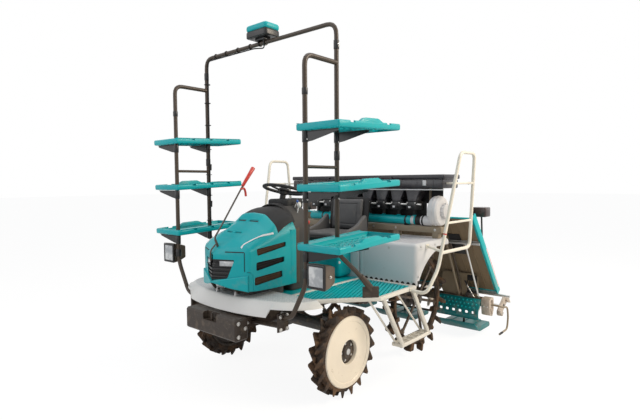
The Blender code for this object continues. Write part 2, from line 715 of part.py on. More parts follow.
def rear_fender(side, s):
    """Front wall and top of the cover over one rear wheel, with a side wall cut round the wheel."""
    inner = FLOOR_HALF - 0.016 + SEAM
    shell = [block((FENDER_REAR, FENDER_FRONT - SEAM), (inner, FENDER_HALF), (BEAM_TOP + 0.06, FENDER_TOP), 0.014)]
    foot = block((FENDER_FRONT - FENDER_WALL, FENDER_FRONT - SEAM), (inner, FENDER_HALF),
                 (BEAM_TOP - 0.004, FENDER_TOP - 0.1))
    inside = block((FENDER_REAR - 0.02, FENDER_FRONT - FENDER_WALL), (inner + FENDER_WALL, FENDER_HALF - FENDER_WALL),
                   (BEAM_TOP - 0.02, FENDER_TOP - FENDER_WALL))
    arch = rod((0.0, inner - 0.05, REAR_R), (0.0, FENDER_HALF + 0.05, REAR_R), REAR_R + WHEEL_GAP, 36)
    cut = block((FENDER_REAR - 0.05, 0.130), (inner - 0.05, FENDER_HALF + 0.05), (BEAM_TOP - 0.05, FENDER_TOP - 0.055))
    solid = fuse([fuse(shell + [foot], [inside])], [arch, cut])
    if s < 0:
        moved(solid, Matrix.Diagonal((1, -1, 1, 1)))
    return part("rear_fender_" + side, WHITE, solid)


SEAT_FRONT = 0.720
SEAT_REAR = 0.215
SEAT_BASE_TOP = 1.020


def seat_base():
    low = block((0.215, DECK_REAR - SEAM), (-FLOOR_HALF + 0.016, FLOOR_HALF - 0.016),
                (BEAM_TOP + SEAM, SEAT_BASE_TOP), 0.012)
    nose = block((DECK_REAR - 0.02, 0.640), (-0.200, 0.200), (DECK_TOP + SEAM, SEAT_BASE_TOP - 0.01), 0.03)
    return part("seat_base", WHITE, fuse([low, nose]))


def seat():
    """Bucket seat: cushion, raked back and low wings."""
    z = SEAT_BASE_TOP + SEAM
    pan = block((SEAT_REAR + 0.03, SEAT_FRONT), (-0.235, 0.235), (z, z + 0.095), 0.022)
    back = block((SEAT_REAR, SEAT_REAR + 0.095), (-0.225, 0.225), (z + 0.03, z + 0.385), 0.028)
    moved(back, about((SEAT_REAR, 0, z + 0.05), math.radians(-7)))
    wings = pair(lambda: plate([(SEAT_REAR + 0.03, z + 0.02), (SEAT_FRONT - 0.14, z + 0.02),
                                (SEAT_FRONT - 0.20, z + 0.135), (SEAT_REAR + 0.06, z + 0.230)],
                               "y", 0.205, 0.245))
    return part("seat", BLACK, fuse([pan, back, *wings]))


# Dash cowl, steering column and wheel
DASH_REAR = 0.985
COLUMN_FOOT = Vector((1.150, 0.0, 1.320))
STEER_CENTRE = Vector((1.105, 0.0, 1.492))
STEER_R = 0.165


def dash_cowl():
    """Console between the bonnet and the driver, with the instrument head on top."""
    front = BONNET_REAR - 0.012
    def ring(x0, x1, half, z):
        return [Vector((x0, -half, z)), Vector((x1, -half, z)), Vector((x1, half, z)), Vector((x0, half, z))]
    console = loft([ring(DASH_REAR + 0.06, front, 0.205, DECK_TOP + SEAM), ring(DASH_REAR + 0.02, front, 0.215, 1.150),
                    ring(DASH_REAR, front, 0.190, 1.270), ring(DASH_REAR + 0.03, front, 0.130, 1.365)])
    head = block((DASH_REAR + 0.005, 1.190), (-0.115, 0.115), (1.330, 1.420), 0.022)
    axis = (STEER_CENTRE - COLUMN_FOOT).normalized()
    column = rod(COLUMN_FOOT - axis * 0.04, STEER_CENTRE - axis * 0.041, 0.028, 12)
    return part("dash_cowl", GREY, fuse([console, head, column]))


def steering_wheel():
    axis = (STEER_CENTRE - COLUMN_FOOT).normalized()
    turn = Matrix.Translation(STEER_CENTRE) @ axis.to_track_quat("Z", "Y").to_matrix().to_4x4()
    rim = tube([(STEER_R * math.cos(a), STEER_R * math.sin(a), 0) for a in
                (2 * math.pi * i / 20 for i in range(20))], 0.013, sides=6, closed=True)
    hub = rod((0, 0, -0.040), (0, 0, 0.012), 0.034, 12)
    spokes = [rod((0.02 * math.cos(a), 0.02 * math.sin(a), -0.012), (STEER_R * math.cos(a), STEER_R * math.sin(a), 0),
                  0.009, 6) for a in (math.radians(d) for d in (90, 210, 330))]
    solid = moved(fuse([rim, hub, *spokes]), turn)
    return part("steering_wheel", BLACK, solid, STEER_CENTRE)


# Bonnet: lofted hollow hood with side vents, top slots and a grille opening
# stations from back to front as (x, half width, bottom, shoulder, top)
BONNET_STATIONS = (
    (BONNET_REAR, BONNET_HALF, BONNET_BOTTOM, BONNET_TOP - 0.135, BONNET_TOP),
    (BONNET_REAR + 0.190, BONNET_HALF, BONNET_BOTTOM, BONNET_TOP - 0.185, BONNET_TOP),
    (BONNET_REAR + 0.250, BONNET_HALF - 0.001, BONNET_BOTTOM, BONNET_TOP - 0.200, BONNET_TOP - 0.067),
    (NOSE_FRONT - 0.188, BONNET_HALF - 0.004, BONNET_BOTTOM + 0.004, BONNET_TOP - 0.237, BONNET_TOP - 0.145),
    (NOSE_FRONT - 0.123, BONNET_HALF - 0.010, BONNET_BOTTOM + 0.010, BONNET_TOP - 0.260, BONNET_TOP - 0.180),
    (NOSE_FRONT - 0.058, BONNET_HALF - 0.138, BONNET_BOTTOM + 0.030, BONNET_TOP - 0.283, BONNET_TOP - 0.227),
    (NOSE_FRONT, 0.012, BONNET_BOTTOM + 0.065, BONNET_TOP - 0.297, BONNET_TOP - 0.275),
)


def hood(offset=0.0, drop=0.0, ends=(0.0, 0.0)):
    """Solid inside the bonnet's skin, an offset in from it, with its tail and nose moved."""
    rings = []
    for i, (x, half, low, shoulder, top) in enumerate(BONNET_STATIONS):
        x = x + (ends[0] if i == 0 else 0.0) - (ends[1] * min(1.0, max(0.0, (x - NOSE_FRONT + 0.228) / 0.2)))
        w = max(half - offset, 0.004)
        rise = (top - shoulder)
        rings.append([Vector((x, y, z)) for y, z in (
            (-w, low - drop), (w, low - drop), (w, shoulder - offset * 0.8), (w * 0.86, shoulder + rise * 0.45 - offset),
            (w * 0.45, shoulder + rise * 0.88 - offset), (-w * 0.45, shoulder + rise * 0.88 - offset),
            (-w * 0.86, shoulder + rise * 0.45 - offset), (-w, shoulder - offset * 0.8))])
    return loft(rings)


# side vents as (front x, its low and high z, rear x, its low and high z)
VENTS = (
    (NOSE_FRONT - 0.190, BONNET_TOP - 0.299, BONNET_TOP - 0.252, BONNET_REAR + 0.107, BONNET_TOP - 0.257, BONNET_TOP - 0.223),
    (NOSE_FRONT - 0.183, BONNET_TOP - 0.405, BONNET_TOP - 0.344, BONNET_REAR + 0.123, BONNET_TOP - 0.369, BONNET_TOP - 0.331),
    (NOSE_FRONT - 0.168, BONNET_TOP - 0.507, BONNET_TOP - 0.449, BONNET_REAR + 0.144, BONNET_TOP - 0.481, BONNET_TOP - 0.433),
)
# slots in the top as (rear x, front x, inner y, outer y)
TOP_SLOTS = ((NOSE_FRONT - 0.324, NOSE_FRONT - 0.270, 0.056, 0.112), (NOSE_FRONT - 0.211, NOSE_FRONT - 0.172, 0.025, 0.077))
# left half of the grille opening as (y, z), from the chin outwards and up to the middle
GRILLE_PLAN = ((0.0, GRILLE_LOW), (0.109, GRILLE_LOW + 0.015), (0.160, GRILLE_HIGH - 0.002), (0.0, GRILLE_HIGH))
SLAT_PITCH = 0.027
LAMP_INNER = 0.054
LAMP_OUTER = 0.150
GRILLE_BACK = NOSE_FRONT - 0.108


def grille_front(inset, back):
    """Prism ahead of a plane, with the outline of the grille opening drawn in by an inset."""
    middle = Vector((0.0, (GRILLE_LOW + GRILLE_HIGH) / 2))
    half = [Vector(p) + (middle - Vector(p)).normalized() * inset for p in GRILLE_PLAN]
    outline = [(p.x, p.y) for p in half] + [(-p.x, p.y) for p in reversed(half[1:-1])]
    return plate(outline, "x", back, NOSE_FRONT + 0.05)


def bonnet():
    shell = fuse([hood()], [hood(BONNET_WALL, 0.05, (-0.03, BONNET_WALL * 2.0))])
    cuts = [grille_front(0.0, GRILLE_BACK)]
    for x, low, high, rear_x, rear_low, rear_high in VENTS:
        cuts.extend(pair(lambda: plate([(rear_x, rear_low), (x, low), (x, high), (rear_x, rear_high)],
                                       "y", BONNET_HALF - 0.03, BONNET_HALF + 0.02)))
    for rear_x, x, inner, outer in TOP_SLOTS:
        cuts.extend(pair(lambda: block((rear_x, x), (inner, outer), (BONNET_TOP - 0.200, BONNET_TOP - 0.035))))
    tabs = pair(lambda: plate([(HINGE_X - 0.008, HINGE_Z), (HINGE_X + 0.008, HINGE_Z), (HINGE_X + 0.062, 0.832),
                               (HINGE_X + 0.030, 0.842)], "y", 0.122, 0.136))
    pins = pair(lambda: rod((HINGE_X, 0.096, HINGE_Z), (HINGE_X, 0.134, HINGE_Z), HINGE_PIN_R, 10))
    return part("bonnet", TEAL, fuse([fuse([shell], cuts), *tabs, *pins]), (HINGE_X, 0, HINGE_Z))


def grille():
    """Black nose liner behind the bonnet's front opening, with slats and two lamps that stand forward in it."""
    liner = combine(hood(BONNET_WALL + SEAM, 0.05, (0.0, BONNET_WALL * 2.2)),
                    [block((NOSE_FRONT - 0.178, NOSE_FRONT + 0.05), (-0.30, 0.30), (GRILLE_LOW - 0.020, GRILLE_HIGH + 0.012))],
                    "INTERSECT")
    bars = []
    for i in range(3):
        low = GRILLE_LOW + 0.020 + SLAT_PITCH * i
        bars.append(block((GRILLE_BACK + 0.006, NOSE_FRONT + 0.05), (-0.30, 0.30), (low, low + SLAT_PITCH * 0.45)))
    bars.extend(pair(lambda: block((GRILLE_BACK + 0.006, NOSE_FRONT + 0.05), (LAMP_INNER, LAMP_OUTER),
                                   (GRILLE_HIGH - 0.050, GRILLE_HIGH - 0.010))))
    front = combine(hood(0.003, 0.05, (0.0, 0.006)), [grille_front(0.004, GRILLE_BACK + 0.003)], "INTERSECT")
    front = combine(front, [fuse(bars)], "INTERSECT")
    hollow = hood(BONNET_WALL + 0.022, 0.20, (-0.2, BONNET_WALL * 2.2 + 0.028))
    return part("grille", BLACK, fuse([liner, front], [hollow]), (HINGE_X, 0, HINGE_Z))


def centre_pole():
    """Sighting pole on the nose: foot, cranked stem and a red grip."""
    def at(back, rise):
        return Vector((NOSE_FRONT - back, 0.0, BONNET_TOP + rise))
    foot = rod(at(0.063, -0.265), at(0.033, -0.185), 0.013, 10)
    stem = tube([at(0.038, -0.205), at(0.028, -0.170), at(0.083, -0.100), at(0.268, 0.165)], 0.007, 0.05)
    grip = rod(at(0.262, 0.156), at(0.398, 0.329), 0.012, 10, 0.017)
    solid = fuse([fuse([foot], [hood(-SEAM, 0.05, (0.0, -SEAM))]), stem, grip])
    return part("centre_pole", STEEL, solid, (HINGE_X, 0, HINGE_Z))


# Spare seedling racks
TRAY_ARM_H = 0.022


def tray_floor(level, x):
    """Underside of a tray at a place along the machine, on its tilt."""
    return TRAY_Z[level] + (TRAY_FRONT - x) * math.tan(TRAY_TILT)


def tray(level):
    """Open seedling tray on its tilt, with a raised handle bump on the outer rim."""
    z = TRAY_Z[level]
    x0, x1 = TRAY_FRONT - TRAY_LENGTH, TRAY_FRONT
    y0, y1 = TRAY_INNER, TRAY_INNER + TRAY_WIDTH
    body = block((x0, x1), (y0, y1), (z, z + TRAY_RIM))
    bump = plate([(x0 + 0.09, z + 0.01), (x0 + 0.27, z + 0.01), (x0 + 0.24, z + TRAY_RIM + 0.022),
                  (x0 + 0.12, z + TRAY_RIM + 0.022)], "y", y1 - 0.030, y1 - 0.003)
    pan = block((x0 + 0.016, x1 - 0.016), (y0 + 0.090, y1 - 0.014), (z + 0.008, z + 0.2))
    slots = [block((x0 + 0.09, x1 - 0.09), (y0 + 0.145 + dy, y0 + 0.185 + dy), (z - 0.02, z + 0.02))
             for dy in (0.0, 0.085)]
    solid = fuse([fuse([body], [pan]), bump], slots)
    return moved(solid, about((x1, 0, z), TRAY_TILT))


def rack(side, s):
    """Front and rear posts of one side in one bent run, a tie, and an arm under each tray."""
    foot = RACK_ARM_Y + SEAM
    front = tube([(RACK_ARM_X, foot + 0.0075, 0.636), (FRONT_POST_X, foot + 0.095, 0.662),
                  (FRONT_POST_X, POST_Y, 0.900), (FRONT_POST_X, POST_Y, RACK_TOP),
                  (REAR_POST_X - 0.002, POST_Y, RACK_TOP)], POST_R, 0.07, 8)
    flange = block((RACK_ARM_X - 0.045, RACK_ARM_X + 0.045), (foot, foot + PLATE_T), (0.550, 0.664))
    corner, away = Vector((*SIDE_PLAN[3], 0)), Vector((*SIDE_PLAN[4], 0))
    along = (away - corner).normalized()
    inward = Vector((-along.y, along.x, 0))
    spot = corner + along * 0.085 + inward * 0.013
    rear = tube([(spot.x, spot.y, 0.765), (1.130, POST_Y + 0.046, 0.895), (REAR_POST_X, POST_Y, 1.065),
                 (REAR_POST_X, POST_Y, SLEEVE_Z)], POST_R, 0.06, 8)
    shoe = loft([[corner + along * d + inward * w + Vector((0, 0, z)) for d, w in
                  ((a, 0.003), (b, 0.003), (b, 0.023), (a, 0.023))]
                 for a, b, z in ((0.030, 0.140, DECK_TOP + SEAM), (0.066, 0.104, 0.795))])
    tie = rod((REAR_POST_X, POST_Y, 1.650), (FRONT_POST_X, POST_Y, 1.650), 0.011, 8)
    arms = []
    for level in TRAY_Z:
        for x in (FRONT_POST_X, REAR_POST_X):
            z = tray_floor(level, x)
            arms.append(plate([(POST_Y, z - TRAY_ARM_H - 0.050), (POST_Y, z + 0.004),
                               (TRAY_INNER + TRAY_WIDTH - 0.03, z + 0.004),
                               (TRAY_INNER + TRAY_WIDTH - 0.03, z - 0.014)], "x", x - 0.010, x + 0.010))
    notch = block((REAR_POST_X - 0.010, REAR_POST_X + 0.010), (TRAY_INNER - 0.02, POST_Y - POST_R - 0.0004),
                  (TRAY_Z["low"] - 0.02, TRAY_Z["top"] + 0.15))
    solid = fuse([front, flange, rear, shoe, tie, *arms, *[tray(level) for level in TRAY_Z]], [notch])
    if s < 0:
        moved(solid, Matrix.Diagonal((1, -1, 1, 1)))
    return part("rack_" + side, TEAL, solid)


def work_lamp(side, s):
    y0, y1 = POST_Y + POST_R + SEAM, POST_Y + POST_R + 0.165
    shell = block((1.520, 1.665), (y0 + 0.012, y1), (0.880, 1.045), 0.016)
    bore = rod((1.640, (y0 + y1) / 2 + 0.006, 0.962), (1.70, (y0 + y1) / 2 + 0.006, 0.962), 0.060, 14)
    lens = rod((1.630, (y0 + y1) / 2 + 0.006, 0.962), (1.655, (y0 + y1) / 2 + 0.006, 0.962), 0.052, 14, 0.046)
    clamp = block((FRONT_POST_X - 0.016, FRONT_POST_X + 0.016), (y0, y0 + 0.03), (0.940, 1.000))
    solid = fuse([fuse([shell, clamp], [bore]), lens])
    if s < 0:
        moved(solid, Matrix.Diagonal((1, -1, 1, 1)))
    return part("work_lamp_" + side, BLACK, solid)


def rack_arch():
    """Tube over the machine, plugged on the rear posts."""
    z = SLEEVE_Z + SEAM
    arch = tube([(REAR_POST_X, -POST_Y, z), (REAR_POST_X, -POST_Y, ARCH_TOP), (REAR_POST_X, POST_Y, ARCH_TOP),
                 (REAR_POST_X, POST_Y, z)], POST_R - 0.001, 0.09, 8)
    return part("rack_arch", BROWN, arch)


ANTENNA_Z = ARCH_TOP + 0.035


def antenna():
    saddle = block((REAR_POST_X - 0.035, REAR_POST_X + 0.035), (-0.05, 0.05), (ARCH_TOP + POST_R + SEAM, ANTENNA_Z + 0.01))
    base = block((REAR_POST_X - 0.078, REAR_POST_X + 0.078), (-0.115, 0.115), (ANTENNA_Z, ANTENNA_Z + 0.050), 0.012)
    dome = block((REAR_POST_X - 0.074, REAR_POST_X + 0.074), (-0.110, 0.110), (ANTENNA_Z + 0.02, ANTENNA_Z + 0.098), 0.028)
    return part("antenna", TEAL, fuse([saddle, base, dome]))


CABLE_R = 0.005


def antenna_cable():
    """Lead from the antenna, tied under the arch and down the inside of the right rear post."""
    off = POST_R + CABLE_R + 0.001
    x, y, z = REAR_POST_X, -POST_Y + off, ARCH_TOP - off
    lead = tube([(x - 0.05, -0.04, ANTENNA_Z - SEAM), (x - 0.05, -0.04, z), (x, -0.10, z), (x, y, z), (x, y, 1.12)],
                CABLE_R, 0.07)
    return part("antenna_cable", BLACK, lead)


# Fertiliser unit
METER_PITCH = 0.165
METER_Y = tuple(METER_PITCH * (i - 3.5) for i in range(8))


def fertiliser_frame():
    """Lateral carrier beam on four feet, with two uprights to the hopper."""
    beam = block((DUCT_X - 0.035, DUCT_X + 0.035), (-0.860, 0.860), (FEED_BEAM_TOP - 0.055, FEED_BEAM_TOP))
    feet = [block((DUCT_X - 0.03, DUCT_X + 0.03), (s * y - 0.03, s * y + 0.03), (FENDER_TOP + SEAM, FEED_BEAM_TOP - 0.02))
            for _, s in SIDES for y in (0.40, 0.80)]
    end = METER_Y[-1] + METER_PITCH / 2 + 0.010
    arms = pair(lambda: block((DUCT_X - 0.130, DUCT_X - 0.02), (end, end + 0.020), (FEED_BEAM_TOP - 0.045, FEED_BEAM_TOP - 0.006)))
    ends = pair(lambda: block((DUCT_X - 0.130, DUCT_X - 0.095), (end + 0.002, end + 0.018), (FEED_BEAM_TOP - 0.03, HOPPER_BOTTOM - SEAM)))
    return part("fertiliser_frame", BEIGE, fuse([beam, *feet, *arms, *ends]))


def hopper():
    """Long open trough with one funnel for each row."""
    body = block((HOPPER_REAR, HOPPER_FRONT), (-HOPPER_HALF, HOPPER_HALF), (HOPPER_BOTTOM, HOPPER_TOP - LID_T), 0.012)
    inside = block((HOPPER_REAR + 0.008, HOPPER_FRONT - 0.008), (-HOPPER_HALF + 0.008, HOPPER_HALF - 0.008),
                   (HOPPER_BOTTOM + 0.010, HOPPER_TOP + 0.02))
    middle = (HOPPER_REAR + HOPPER_FRONT) / 2
    funnels = []
    for y in METER_Y:
        funnels.append(loft([
            [Vector((middle + dx, y + dy, HOPPER_BOTTOM + 0.006)) for dx, dy in
             ((-0.12, -0.078), (0.12, -0.078), (0.12, 0.078), (-0.12, 0.078))],
            [Vector((DUCT_X + dx, y + dy, FUNNEL_BOTTOM)) for dx, dy in
             ((-0.05, -0.045), (0.05, -0.045), (0.05, 0.045), (-0.05, 0.045))]]))
    hinge = pair(lambda: rod((HOPPER_FRONT + 0.010, 0.30, HOPPER_TOP - LID_T), (HOPPER_FRONT + 0.010, 0.36, HOPPER_TOP - LID_T), 0.008, 8))
    lugs = pair(lambda: block((HOPPER_FRONT - 0.006, HOPPER_FRONT + 0.012), (0.31, 0.35), (HOPPER_TOP - LID_T - 0.03, HOPPER_TOP - LID_T)))
    return part("fertiliser_hopper", GREY, fuse([fuse([body], [inside]), *funnels, *hinge, *lugs]))


LID_PIVOT = (HOPPER_FRONT + 0.010, 0.0, HOPPER_TOP - LID_T)


def hopper_lid():
    low = HOPPER_TOP - LID_T + SEAM
    top = block((HOPPER_REAR - 0.012, HOPPER_FRONT + 0.004), (-HOPPER_HALF - 0.012, HOPPER_HALF + 0.012),
                (low, HOPPER_TOP + 0.012), 0.010)
    under = block((HOPPER_REAR + 0.012, HOPPER_FRONT - 0.012), (-HOPPER_HALF + 0.012, HOPPER_HALF - 0.012),
                  (low - 0.02, HOPPER_TOP - 0.002))
    arms = pair(lambda: block((HOPPER_FRONT - 0.002, HOPPER_FRONT + 0.016), (0.365, 0.385), (low - 0.010, HOPPER_TOP + 0.002)))
    return part("hopper_lid", GREY, fuse([fuse([top], [under]), *arms]), LID_PIVOT)


def metering_units():
    """Eight feed-roll boxes on one drive shaft, each with an outlet down to the duct."""
    top = FUNNEL_BOTTOM - SEAM
    units = [block((DUCT_X - 0.062, DUCT_X + 0.062), (y - 0.060, y + 0.060), (top - METER_H, top)) for y in METER_Y]
    spouts = [block((DUCT_X - 0.008, DUCT_X + 0.008), (y - 0.024, y + 0.024), (DUCT_Z + DUCT_R + SEAM, top - METER_H + 0.01)) for y in METER_Y]
    shaft = rod((DUCT_X + 0.045, METER_Y[0] - 0.09, top - 0.03), (DUCT_X + 0.045, METER_Y[-1] + 0.09, top - 0.03), 0.010, 6)
    return part("metering_units", BLACK, fuse([shaft, *units, *spouts]))


DUCT_END = 0.655


def air_duct():
    pipe = rod((DUCT_X, -METER_Y[-1] - 0.09, DUCT_Z), (DUCT_X, DUCT_END, DUCT_Z), DUCT_R, 16)
    cradles = [block((DUCT_X - 0.025, DUCT_X + 0.025), (y - 0.02, y + 0.02), (FEED_BEAM_TOP + SEAM, DUCT_Z - 0.01))
               for y in (-0.5, 0.0, 0.5)]
    return part("air_duct", TEAL, fuse([pipe, *cradles]))


def blower():
    """Fan housing at the left end of the duct, its motor on the outer face."""
    y0 = DUCT_END + SEAM
    neck = rod((DUCT_X, y0, DUCT_Z), (DUCT_X, y0 + 0.13, DUCT_Z), DUCT_R + 0.005, 16)
    volute = rod((DUCT_X - 0.01, y0 + 0.100, 1.290), (DUCT_X - 0.01, y0 + 0.205, 1.290), 0.132, 24)
    motor = rod((DUCT_X - 0.01, y0 + 0.15, 1.290), (DUCT_X - 0.01, y0 + 0.235, 1.290), 0.070, 14)
    foot = block((DUCT_X - 0.03, DUCT_X + 0.03), (y0 + 0.11, y0 + 0.17), (FEED_BEAM_TOP + SEAM, 1.20))
    return part("blower", WHITE, fuse([neck, volute, motor, foot]))


# Rear handrails
RAIL_PIPE_R = 0.0145
GRIP_Y = HOPPER_HALF + 0.220
# the two legs of the left hoop as (x, y, z), foot and top
FRONT_LEG = (Vector((0.430, DECK_HALF + 0.165, 0.860)), Vector((0.215, GRIP_Y, 1.785)))
REAR_LEG = (Vector((-0.085, GRIP_Y - 0.050, 0.985)), Vector((-0.055, GRIP_Y, 1.785)))
HOOP_FOOT_Y = DECK_HALF + 0.135
STAY_END = Vector((0.395, HOOP_FOOT_Y + 0.036, 0.985))


def on_leg(leg, z):
    """The point of a leg at a height."""
    foot, top = leg
    return foot.lerp(top, (z - foot.z) / (top.z - foot.z))


def handrail(side, s):
    """Tall hoop beside the hopper, footed on the deck's edge and stayed to the fender."""
    hoop = tube([(0.565, DECK_HALF + SEAM + 0.004, 0.694), (0.565, HOOP_FOOT_Y, 0.680), *FRONT_LEG, *reversed(REAR_LEG),
                 STAY_END], RAIL_PIPE_R, 0.06)
    bar = rod(on_leg(REAR_LEG, 1.220), on_leg(FRONT_LEG, 1.220), 0.010, 8)
    stay = rod((0.300, FENDER_HALF + SEAM + 0.005, 1.015), REAR_LEG[0].lerp(STAY_END, 0.90), 0.012, 8)
    flanges = [block((0.540, 0.590), (DECK_HALF + SEAM, DECK_HALF + 0.008), (BEAM_TOP + 0.002, DECK_TOP - 0.002)),
               block((0.275, 0.325), (FENDER_HALF + SEAM, FENDER_HALF + 0.008), (0.997, 1.033))]
    cross = rod(on_leg(REAR_LEG, 1.535), on_leg(FRONT_LEG, 1.535), 0.009, 8)
    reach = rod((0.010, HOPPER_HALF + SEAM, 1.535), (0.010, GRIP_Y - 0.002, 1.535), 0.008, 8)
    solid = fuse([hoop, bar, stay, cross, reach, *flanges])
    if s < 0:
        moved(solid, Matrix.Diagonal((1, -1, 1, 1)))
    return part("handrail_" + side, CREAM, solid)


# Lift linkage, drawn level about its front pin and then drooped
LINK_TOP_Z = LINK_LOW_Z + LINK_RISE
LOW_PIVOT = Vector((LINK_X, 0, LINK_LOW_Z))
TOP_PIVOT = Vector((LINK_X, 0, LINK_TOP_Z))
LINK_END = Vector((-LINK_LENGTH * math.cos(LINK_DROOP), 0, -LINK_LENGTH * math.sin(LINK_DROOP)))


def link_bar(pivot, y0, y1, deep=0.034):
    """One flat bar with round eyes, from its front pin to its rear pin."""
    far = pivot.x - LINK_LENGTH
    outline = circle(pivot.x, pivot.z, deep, 6, -math.pi / 2, math.pi) + circle(far, pivot.z, deep, 6, math.pi / 2, math.pi)
    bar = plate(outline, "y", y0, y1)
    return bar


def upper_link():
    """Single top link with the horn that the lift cylinder pulls."""
    bar = link_bar(TOP_PIVOT, -0.040, 0.040, 0.028)
    horn = [plate([(TOP_PIVOT.x - 0.028, TOP_PIVOT.z), (TOP_PIVOT.x + 0.028, TOP_PIVOT.z),
                   *circle(TOP_PIVOT.x, TOP_PIVOT.z + HORN, 0.020, 6, 0, math.pi)], "y", y - 0.005, y + 0.005)
            for y in (-0.033, 0.033)]
    pin = rod((TOP_PIVOT.x, -0.034, TOP_PIVOT.z + HORN), (TOP_PIVOT.x, 0.034, TOP_PIVOT.z + HORN), 0.009, 10)
    bores = [rod((TOP_PIVOT.x - d, -0.1, TOP_PIVOT.z), (TOP_PIVOT.x - d, 0.1, TOP_PIVOT.z), PIN_R + RUN, 12)
             for d in (0, LINK_LENGTH)]
    solid = fuse([bar, *horn, pin], bores)
    moved(solid, about(TOP_PIVOT, -LINK_DROOP))
    return part("upper_link", BROWN, solid, TOP_PIVOT)


LOW_LINK_Y = RAIL_Y + RAIL_W / 2 + 0.012


def lower_links():
    """Two outer links with a cross tube, so that they lift as one."""
    bars = pair(lambda: link_bar(LOW_PIVOT, LOW_LINK_Y, LOW_LINK_Y + 0.014, 0.028))
    cross = rod((LOW_PIVOT.x - 0.30, -LOW_LINK_Y - 0.006, LOW_PIVOT.z), (LOW_PIVOT.x - 0.30, LOW_LINK_Y + 0.006, LOW_PIVOT.z), 0.018, 10)
    bores = [rod((LOW_PIVOT.x - d, -0.3, LOW_PIVOT.z), (LOW_PIVOT.x - d, 0.3, LOW_PIVOT.z), PIN_R + RUN, 12)
             for d in (0, LINK_LENGTH)]
    solid = fuse([*bars, cross], bores)
    moved(solid, about(LOW_PIVOT, -LINK_DROOP))
    return part("lower_links", BROWN, solid, LOW_PIVOT)


BARREL_PIVOT = Vector((BARREL_X, 0, BARREL_Z))
HORN_PIN = TOP_PIVOT + HORN * Vector((-math.sin(LINK_DROOP), 0, math.cos(LINK_DROOP)))
STROKE_WAY = (HORN_PIN - BARREL_PIVOT).normalized()
BARREL_LENGTH = 0.235
BARREL_R = 0.026
CYL_ROD_R = 0.010


def lift_cylinder():
    eye = rod(BARREL_PIVOT + Vector((0, -0.022, 0)), BARREL_PIVOT + Vector((0, 0.022, 0)), 0.024, 14)
    barrel = rod(BARREL_PIVOT + STROKE_WAY * 0.012, BARREL_PIVOT + STROKE_WAY * BARREL_LENGTH, BARREL_R, 14)
    bores = [rod(BARREL_PIVOT + Vector((0, -0.05, 0)), BARREL_PIVOT + Vector((0, 0.05, 0)), PIN_R + RUN, 12),
             rod(BARREL_PIVOT + STROKE_WAY * 0.060, BARREL_PIVOT + STROKE_WAY * (BARREL_LENGTH + 0.02), CYL_ROD_R + RUN, 12)]
    return part("lift_cylinder", GREY, fuse([eye, barrel], bores), BARREL_PIVOT)


def lift_rod():
    """Rod with a wide eye, whose pin is the horn's."""
    shaft = rod(BARREL_PIVOT + STROKE_WAY * 0.160, HORN_PIN - STROKE_WAY * 0.024, CYL_ROD_R, 12)
    eye = rod(HORN_PIN + Vector((0, -0.018, 0)), HORN_PIN + Vector((0, 0.018, 0)), 0.030, 14)
    bore = rod(HORN_PIN + Vector((0, -0.05, 0)), HORN_PIN + Vector((0, 0.05, 0)), 0.0175, 14)
    return part("lift_rod", STEEL, fuse([shaft, eye], [bore]), BARREL_PIVOT)


# Planting frame: hitch plates, toolbar, gear cases, table supports and the bottom rail
LOW_END = LOW_PIVOT + LINK_END
TOP_END = TOP_PIVOT + LINK_END
TABLE_SLOPE = Vector((TABLE_END[0] - TABLE_TOP[0], 0, TABLE_END[1] - TABLE_TOP[1]))
TABLE_LENGTH = TABLE_SLOPE.length
TABLE_DOWN = TABLE_SLOPE.normalized()
TABLE_OUT = Vector((TABLE_DOWN.z, 0, -TABLE_DOWN.x))
TABLE_T = 0.016
CASE_Y = tuple(ROW_PITCH * d for d in (-3, -1, 1, 3))


def on_table(down, out=0.0, y=0.0):
    """A point by its distance down the table's slope and out of its upper face."""
    return Vector((TABLE_TOP[0], y, TABLE_TOP[1])) + TABLE_DOWN * down + TABLE_OUT * out


UNDER = -0.020
COVER_INNER = 0.490
COVER_OUTER = 0.880
COVER_TOP = 0.625
PULLEY_Y = 0.800
GUIDE_DOWN = 0.300
FOOT_DOWN = TABLE_LENGTH - 0.010


